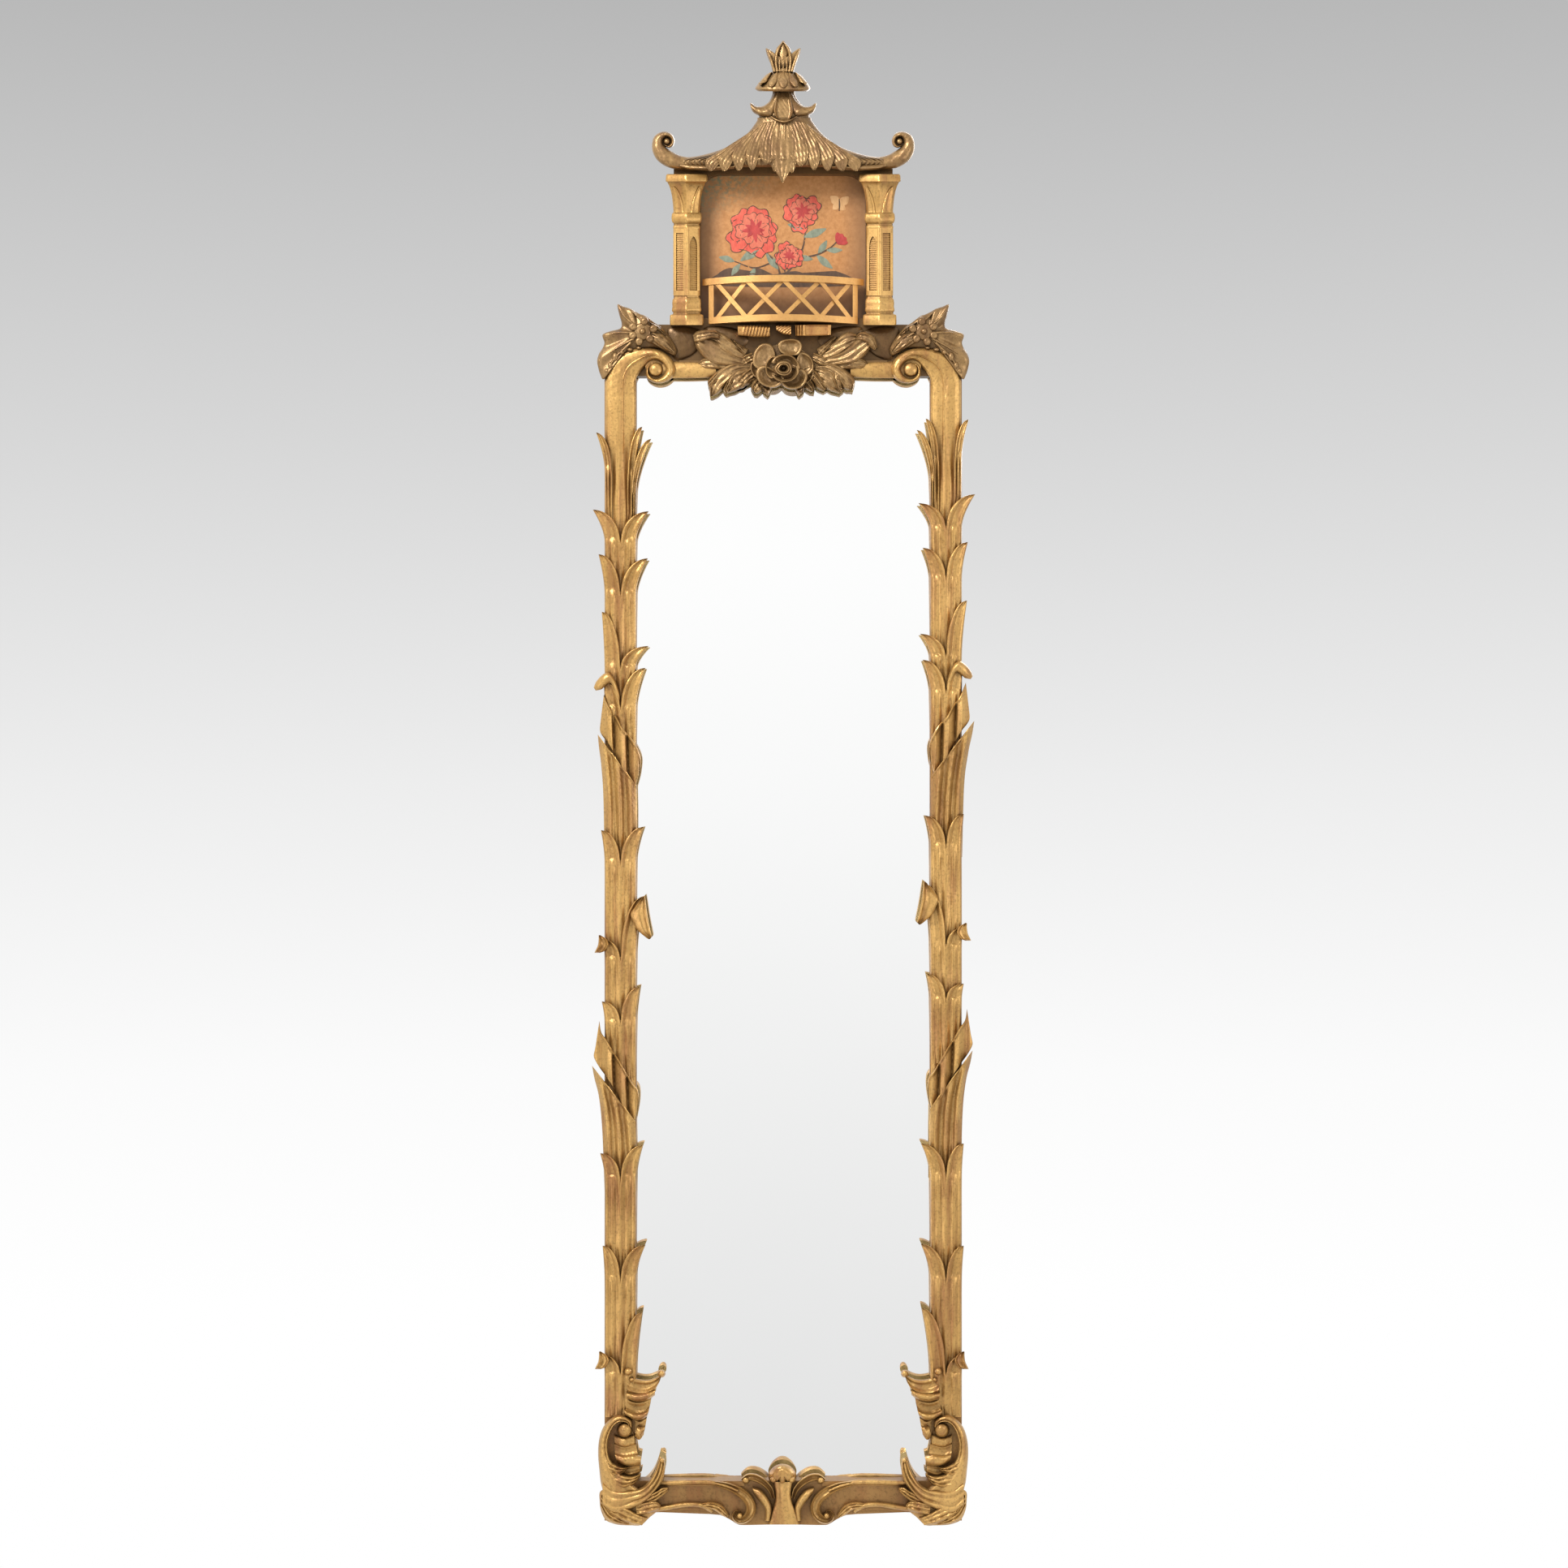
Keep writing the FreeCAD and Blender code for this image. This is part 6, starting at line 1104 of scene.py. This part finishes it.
side_leaf = strip(TIER_SIDE_PX, [16, 19, 21, 20, 18.5, 17, 14], rounded(0.35), [0, 2, 3, 4, 5, 6, 7], 46, 18)
tier_lip = strip([(948, 141, 951, 147), (957, 145, 958, 151), (965.5, 147, 965.5, 152.5),
                  (974, 145, 973, 151), (983, 141, 980, 147)],
                 [20, 24, 25.5, 24, 20], rounded(0.3), 8.0, 30, 14)
tier_tongue = strip(TIER_TONGUE_PX, [17, 21.5, 24.5, 25, 22], tongue, 6.0, 40, 26)
tier += [side_leaf] + mirrored([side_leaf]) + [tier_tongue, tier_lip]
piece("roof_lantern", tier, AGED, "aged_gilding", "roof_tier")
cap = [strip([(953, 87.5, 977, 87.5), (944, 92, 986, 92), (936, 101, 994, 101), (931, 107.5, 998, 107.5),
              (930.8, 110, 998.2, 110), (934, 112.5, 995, 112.5)], [13, 18, 25, 28.5, 28.5, 26],
             rounded(0.1), 0.0, 40, 48)]
CAP_LOBES_PX = ((937.5, 950, 103, 0.78), (950.5, 957.5, 106, 0.36), (965, 965, 107, 0.0),
                (979.5, 972.5, 106, 0.36), (992, 980, 103, 0.78))
for foot, head, row, lean in CAP_LOBES_PX:
    low = math.sqrt(1 - lean ** 2)
    wide = 6.4 - 2.6 * lean
    narrow = wide * 0.7
    upper = head * 0.6 + foot * 0.4
    lower = head * 0.25 + foot * 0.75
    lobe = [(head - 1.2, 89, head + 1.2, 89), (upper - narrow, 95, upper + narrow, 95),
            (lower - wide, 101, lower + wide, 101), (foot - narrow, row - 0.5, foot + narrow, row - 0.5),
            (foot - 0.8, row + 2.2, foot + 0.8, row + 2.2)]
    crowns = [14 + 3 * low, 14 + 9 * low, 13 + 15.5 * low, 13 + 18 * low, 12 + 17 * low]
    backs = [6, 8 + 4 * low, 8 + 8 * low, 8 + 10 * low, 8 + 10 * low]
    cap.append(strip(lobe, crowns, rounded(0.55), backs, 28, 16))
piece("finial_cap", cap, AGED, "aged_gilding", "finial_dome")
CROWN_PX = ((953, 89, 0.3), (950, 80, 0.8), (946.5, 72, 0.9), (944, 64, 1), (943.9, 59.5, 1),
            (949, 61.5, 0.8), (954.6, 67, 0.4), (957, 60.5, 0.8), (961, 54.5, 0.9), (965, 50.2, 1),
            (969, 54.5, 0.9), (973, 60.5, 0.8), (975.4, 67, 0.4), (981, 61.5, 0.8), (986.1, 59.5, 1),
            (986, 64, 1), (983.5, 72, 0.9), (980, 80, 0.8), (977, 89, 0.3), (965, 90, 0.3))
crown = [fan(CROWN_PX, (965, 74), ((0, 14), (0.5, 13.5), (0.85, 12.5), (1, 8)), 0.0, 0.3, 10, 120)]
CROWN_RIMS_PX = (((957.5, 88), (956, 78), (956.4, 69), (959, 60), (965, 51.5)),
                 ((972.5, 88), (974, 78), (973.6, 69), (971, 60), (965, 51.5)),
                 ((954.5, 88), (951.5, 78), (948.5, 69), (945, 60.8)),
                 ((975.5, 88), (978.5, 78), (981.5, 69), (985, 60.8)), ((965, 89), (965, 76), (965, 63)),
                 ((960.6, 88), (960.4, 76), (961.8, 66)), ((969.4, 88), (969.6, 76), (968.2, 66)))
for number, path in enumerate(CROWN_RIMS_PX):
    wide, high = (4.6, 16.4) if number < 4 else (3.2, 15.4)
    run = len(path) - 1
    crown.append(cord_strip(path, [wide] * run + [1.6], [high] * run + [13], rounded(0.55), 5.0, 34, 10))
crown.append(strip([(954, 84, 976, 84), (952, 87, 978, 87), (953, 90, 977, 90)], [14, 16, 14], rounded(0.3),
                   0.0, 14, 24))
piece("finial_leaves", crown, AGED, "aged_gilding", "finial_crown")

# Columns: square pillars set corner to the front, with ribbed recesses, a collar and a flared capital
COLUMN_PX = 846.0
SHAFT_HALF_PX = 16.4
CORNER_MM_PER_PX = 1.08
FLANK_SHARE = 0.5
CAPITAL_ROWS_PX = ((214.5, 24), (216, 25.2), (220.5, 25.7), (223.5, 25.6), (224.6, 23.6), (229, 21.4),
                   (235, 19.4), (243, 17.8), (252, 16.8), (259, 16.3), (262, 16.3))
COLLAR_ROWS_PX = ((261.5, 16.0), (262.3, 17.2), (264.5, 18.3), (268.5, 18.7), (272.3, 18.2), (274.6, 17),
                  (275.6, 15.6), (277.6, 15.5), (278.6, 16.5), (281, 16.6), (282, 16.2))
BASE_ROWS_PX = ((363, 16.2), (365.2, 15.2), (366.8, 15.5), (369.5, 17.3), (374, 17.7), (378, 17.4),
                (380.5, 18), (383.3, 18), (384.8, 16.6), (387, 16.8), (388, 20), (389.5, 20.5),
                (398.5, 20.6), (400.4, 20.2))


def pillar(rows):
    """Length of a pillar with a corner to the front, between rows of given half widths."""
    stations = [(COLUMN_PX - half, v, COLUMN_PX + half, v) for v, half in rows]

    def corner(u, v, s, t):
        half = np.interp(v, [row for row, _ in rows], [width for _, width in rows])
        return CORNER_MM_PER_PX * half * (1 - FLANK_SHARE * np.abs(2 * s - 1))

    return sheet(stations, corner, 0.0, len(rows), 21, polyline)


def on_shaft(lift):
    def height(u, v, s, t):
        return CORNER_MM_PER_PX * (SHAFT_HALF_PX - FLANK_SHARE * np.abs(u - COLUMN_PX)) + lift
    return height


def ribbed_core(u, v, s, t):
    return on_shaft(-1.3)(u, v, s, t) + 0.45 * np.cos(2 * math.pi * v / 2.7)


def corner_bead(u, v, s, t):
    return on_shaft(0.0)(u, v, s, t) + 1.3 - 0.8 * np.exp(-((s - 0.5) / 0.1) ** 2)


def shaft_length(half, height, along, across):
    """Part of the shaft between collar and base, as wide as twice the half width."""
    rows = [(COLUMN_PX - half, v, COLUMN_PX + half, v) for v in (281, 364)]
    return sheet(rows, height, 0.0, along, across)


column = [pillar(COLLAR_ROWS_PX), pillar(BASE_ROWS_PX), shaft_length(15.6, ribbed_core, 124, 21),
          shaft_length(2.7, corner_bead, 4, 15)]
ARCH_PX = ((291, 8.4, 8.4), (293, 6.6, 10.2), (296, 5.1, 11.7), (300, 4.2, 12.7), (304, 3.9, 13.0),
           (358, 3.9, 13.0))
SQUARE_PX = ((287, 3.9, 13.0), (358, 3.9, 13.0))
for way, opening in ((1, ARCH_PX), (-1, SQUARE_PX)):
    frames = [[(2.6, 281, 16.4, 281), (2.6, opening[0][0], 16.4, opening[0][0])],
              [(2.6, 358, 16.4, 358), (2.6, 364, 16.4, 364)],
              [(2.6, v, near, v) for v, near, far in opening],
              [(far, v, 16.4, v) for v, near, far in opening]]
    for rows in frames:
        stations = [(COLUMN_PX + way * a, v, COLUMN_PX + way * b, w) for a, v, b, w in rows]
        column.append(sheet(stations, on_shaft(0.0), 0.0, len(rows), 5, polyline))
capital = [pillar(CAPITAL_ROWS_PX)]
for way, lean in ((1, 0.0), (-1, -2.0)):
    rows = [(5 + lean, 262, 15.6, 262), (6.5 + lean, 252, 16.2, 251), (9 + lean, 243, 17.3, 241),
            (12.5 + lean, 235, 18, 233.5), (15, 230, 17, 230)]
    stations = [(COLUMN_PX + way * a, v, COLUMN_PX + way * b, w) for a, v, b, w in rows]

    def leaf_height(u, v, s, t):
        half = np.interp(v, [row for row, _ in CAPITAL_ROWS_PX], [width for _, width in CAPITAL_ROWS_PX])
        lift = np.interp(s, [0, 0.12, 0.4, 0.88, 1], [0.2, 1.5, 1.0, 1.6, 0.4])
        return CORNER_MM_PER_PX * (half - FLANK_SHARE * np.abs(u - COLUMN_PX)) + lift

    capital.append(sheet(stations, leaf_height, 4.0, 30, 12))
both_sides(("pillar", column, GILT, "aged_gilding", "column"))
both_sides(("pillar_head", capital, GILT, "aged_gilding", "capital"))

# Stones under the balcony: a grooved one, a small wedge and a framed one


def grooved_stone(u, v, s, t):
    grooves = 0.9 * np.cos(2 * math.pi * (u + 0.25 * v) / 3.9) * smooth(913, 919, u)
    return 18.6 + grooves - 3 * np.abs(2 * s - 1) ** 6


def wedge_stone(u, v, s, t):
    return 19 - 3 * np.abs(2 * s - 1) ** 6 + 0.6 * np.cos(2 * math.pi * (u + 1.2 * v) / 4.5)


def framed_stone(u, v, s, t):
    out = np.abs(2 * s - 1)
    rim = np.maximum(smooth(0.72, 0.86, out), np.maximum(smooth(993.5, 991.5, u), smooth(1019, 1021, u)))
    ribs = 0.9 * np.cos(2 * math.pi * u / 3.3) * smooth(991, 989, u)
    return 17.8 + 1.6 * rim + ribs - 4 * smooth(0.93, 1.0, out)


stones = [
    sheet([(909, 401.5, 909.5, 413), (929, 401, 929, 415), (948.5, 402, 948.5, 415)], grooved_stone, 0.0,
          80, 12),
    sheet([(956, 400.5, 956.5, 407), (965, 400.5, 965, 411.5), (974.5, 400.5, 974.5, 413)], wedge_stone,
          0.0, 36, 12),
    sheet([(980, 400, 980.5, 414), (1002, 399.5, 1002, 414), (1024, 400, 1023.5, 413)], framed_stone, 0.0,
          90, 18)]
piece("carved_stones", stones, BRIGHT, "gilding", "stone_blocks")

# Painted panel: peonies over a rock, with a moth, in thin paint on the panel's face
PANEL_HEIGHT = -10.0
PAINT_FOOT = PANEL_HEIGHT - 0.4
# Unit outlines: a broad petal, notched at its end, and a pointed leaf
PETAL_SHAPE = ((0, 0), (0.3, 0.34), (0.7, 0.52), (0.95, 0.36), (0.9, 0.04), (0.97, -0.3), (0.72, -0.5),
               (0.3, -0.34))
LEAF_SHAPE = ((0, 0), (0.2, 0.3), (0.5, 0.5), (0.8, 0.3), (1, 0), (0.8, -0.22), (0.5, -0.4), (0.2, -0.26))


def daub(outline, lift):
    """Thin patch of paint with a drawn outline."""
    top = PANEL_HEIGHT + lift
    return fan(even(outline), np.mean(outline, 0), ((0, top), (0.9, top), (1, top - 0.08)), PAINT_FOOT, 0.0,
               4, 40)


def stroke(path, width, lift):
    return cord_strip(path, width, PANEL_HEIGHT + lift, lambda s, t: np.ones_like(s), PAINT_FOOT, 30, 5)


PEONIES_PX = ((928, 286, 31, 0.2), (988, 262, 23, 0.9), (972, 316, 17, 0.5))
outer_petals = []
inner_petals = []
heart_petals = []
petal_lines = []
for u, v, size, turn in PEONIES_PX:
    for k in range(8):
        way = turn + k * EIGHTH_TURN + 0.16 * math.sin(5 * k + u)
        reach = size * (1.0 + 0.14 * math.sin(3.7 * k + v))
        outer = turned(PETAL_SHAPE, u, v, way, reach, size * 0.86)
        outer_petals.append(daub(outer, 0.24 + 0.03 * k))
        petal_lines.append(stroke(outer[1:8], [0.5, 0.9, 1.1, 0.8, 1.1, 0.9, 0.5], 0.262 + 0.03 * k))
        heart = (u + 0.05 * size, v - 0.08 * size, way + 0.42)
        inner = turned(PETAL_SHAPE, *heart, reach * 0.7, size * 0.56)
        inner_petals.append(daub(inner, 0.52 + 0.03 * k))
        petal_lines.append(stroke(inner[1:8], [0.4, 0.7, 0.9, 0.6, 0.9, 0.7, 0.4], 0.542 + 0.03 * k))
        heart_petals.append(daub(turned(LEAF_SHAPE, *heart, reach * 0.46, size * 0.2), 0.78 + 0.01 * k))
heart_petals += [daub(turned(PETAL_SHAPE, 1031, 300, -1.3 + k * 0.5, 14, 9), 0.4 + 0.04 * k)
                 for k in range(3)]
STEMS_PX = ([(962, 340), (955, 322), (938, 306), (926, 290)],
            [(966, 340), (984, 318), (992, 290), (988, 266)],
            [(984, 318), (1006, 314), (1022, 306), (1031, 298)], [(955, 322), (930, 330), (905, 322)],
            [(966, 340), (968, 326)])
stems = [stroke(path, [2.6, 2.2, 1.8, 1.4] if len(path) > 3 else [2.2, 1.8, 1.2], 0.22) for path in STEMS_PX]
ROCK_PX = ((880, 352), (884, 338), (900, 330), (918, 336), (934, 330), (952, 338), (980, 334), (1002, 340),
           (1030, 334), (1048, 352))
piece("painted_outer_petals", outer_petals, CORAL, "painted_panel")
piece("painted_inner_petals", inner_petals, ROSE_PAINT, "painted_panel")
piece("painted_hearts", heart_petals, CRIMSON, "painted_panel")
piece("painted_stems", stems + petal_lines, UMBER, "painted_panel")
piece("painted_rock", [daub(ROCK_PX, 0.16)], UMBER, "painted_panel")
foliage = []
for u, v, turn, length, width in ((938, 306, 2.6, 30, 12), (944, 312, 0.9, 26, 10),
                                  (990, 292, -0.35, 30, 11), (991, 284, 3.5, 22, 9),
                                  (1006, 314, 0.7, 26, 10), (1008, 313, -1.0, 20, 9),
                                  (905, 322, 3.4, 20, 9), (912, 325, 2.2, 18, 8), (984, 316, 0.2, 18, 8),
                                  (930, 330, 1.9, 16, 8), (1018, 308, 0.0, 20, 8)):
    foliage.append(daub(turned(LEAF_SHAPE, u, v, turn, length, width), 0.26))
piece("painted_leaves", foliage, SAGE, "painted_panel")
moth = [daub(turned(LEAF_SHAPE, 1034, 252, turn, length, width), 0.3) for turn, length, width in
        ((-2.4, 15, 12), (-0.7, 15, 12), (2.5, 10, 9), (0.7, 10, 9))]
piece("painted_moth", moth, OCHRE, "painted_panel")
piece("painted_moth_body", [stroke([(1034, 245), (1034.4, 252), (1034, 260)], [1.0, 2.0, 0.8], 0.5)], UMBER,
      "painted_panel")

# Soft edges on the boards and rails that stay as built
SOFT_EDGE = 0.0006
SOFT_DEGREES = 35
for name in ("left_stile", "right_stile", "bottom_rail", "top_rail", "crest_board", "railing_top_rail",
             "railing_foot_rail", "front_lattice", "back_lattice", "railing_posts", "balcony_ledge"):
    soft = nodes[name].modifiers.new("soft_edges", "BEVEL")
    soft.width = SOFT_EDGE
    soft.segments = 2
    soft.limit_method = "ANGLE"
    soft.angle_limit = math.radians(SOFT_DEGREES)

# Floor, light and camera
FLOOR_Z = -0.45
FLOOR_SIDE = 1.6
FLOOR_FRONT = -1.3
FLOOR_REAR = 1.2
SENSOR_MM = 36.0
floor_mesh = bpy.data.meshes.new("floor")
floor_corners = [(-FLOOR_SIDE, FLOOR_FRONT), (FLOOR_SIDE, FLOOR_FRONT), (FLOOR_SIDE, FLOOR_REAR),
                 (-FLOOR_SIDE, FLOOR_REAR)]
floor_mesh.from_pydata([(x, y, FLOOR_Z) for x, y in floor_corners], [], [(0, 1, 2, 3)])
floor = put("floor", floor_mesh)
floor_material, floor_tree, floor_shader = nodes_of("pale_floor")
floor_tree.links.new(ramp(floor_tree, noise(floor_tree, 3.0), [(0.3, 0.80), (0.7, 0.86)]),
                     floor_shader.inputs["Base Color"])
floor_shader.inputs["Roughness"].default_value = 0.7
floor.data.materials.append(floor_material)

world = bpy.data.worlds.new("studio")
bpy.context.scene.world = world
world.use_nodes = True
sky = world.node_tree
sky.nodes.clear()
direction = sky.nodes.new("ShaderNodeTexCoord")
height = sky.nodes.new("ShaderNodeSeparateXYZ")
sky.links.new(direction.outputs["Generated"], height.inputs["Vector"])
lift = sky.nodes.new("ShaderNodeMapRange")
lift.inputs["From Min"].default_value = -0.3
lift.inputs["From Max"].default_value = 0.3
sky.links.new(height.outputs["Z"], lift.inputs["Value"])
SKY_STOPS = [(0.0, 1.0), (0.2, 1.0), (0.33, 0.965), (0.5, 0.85), (0.7, 0.68), (0.96, 0.468)]
seen = ramp(sky, lift.outputs["Result"], SKY_STOPS)
reflected = ramp(sky, lift.outputs["Result"], [(0.1, 0.79), (0.5, 0.975), (0.64, 1.02)])
path = sky.nodes.new("ShaderNodeLightPath")
colour = mix(sky, path.outputs["Is Glossy Ray"], (0.62, 0.62, 0.62), reflected)
colour = mix(sky, path.outputs["Is Transmission Ray"], colour, reflected)
colour = mix(sky, path.outputs["Is Camera Ray"], colour, seen)
background = sky.nodes.new("ShaderNodeBackground")
sky.links.new(colour, background.inputs["Color"])
output = sky.nodes.new("ShaderNodeOutputWorld")
sky.links.new(background.outputs["Background"], output.inputs["Surface"])


def lamp(name, place_at, target, size, power):
    light = bpy.data.lights.new(name, "AREA")
    light.size = size
    light.energy = power
    made = put(name, light)
    made.location = place_at
    made.rotation_euler = (Vector(target) - Vector(place_at)).to_track_quat("-Z", "Y").to_euler()


lamp("key", (-1.2, -1.5, 2.5), (0, 0, 1.0), 0.8, 60.0)
lamp("fill", (2.2, -1.8, 0.9), (0, 0, 0.7), 1.4, 22.0)
lamp("low", (-1.9, -1.7, -0.1), (0, 0, 0.3), 1.2, 10.0)
lamp("rear", (0.8, 2.4, 2.0), (0, 0, 0.8), 1.6, 40.0)

camera_data = bpy.data.cameras.new("camera")
camera_data.sensor_width = SENSOR_MM
camera_data.lens = SENSOR_MM * CAMERA_REACH / (PHOTO_PX * METRES_PER_PX)
camera = put("camera", camera_data)
camera.location = (CAMERA_X, GROUND - CAMERA_REACH, CAMERA_Z)
camera.rotation_euler = (math.pi / 2, 0, 0)
bpy.context.scene.camera = camera
bpy.context.scene.view_settings.view_transform = "Standard"
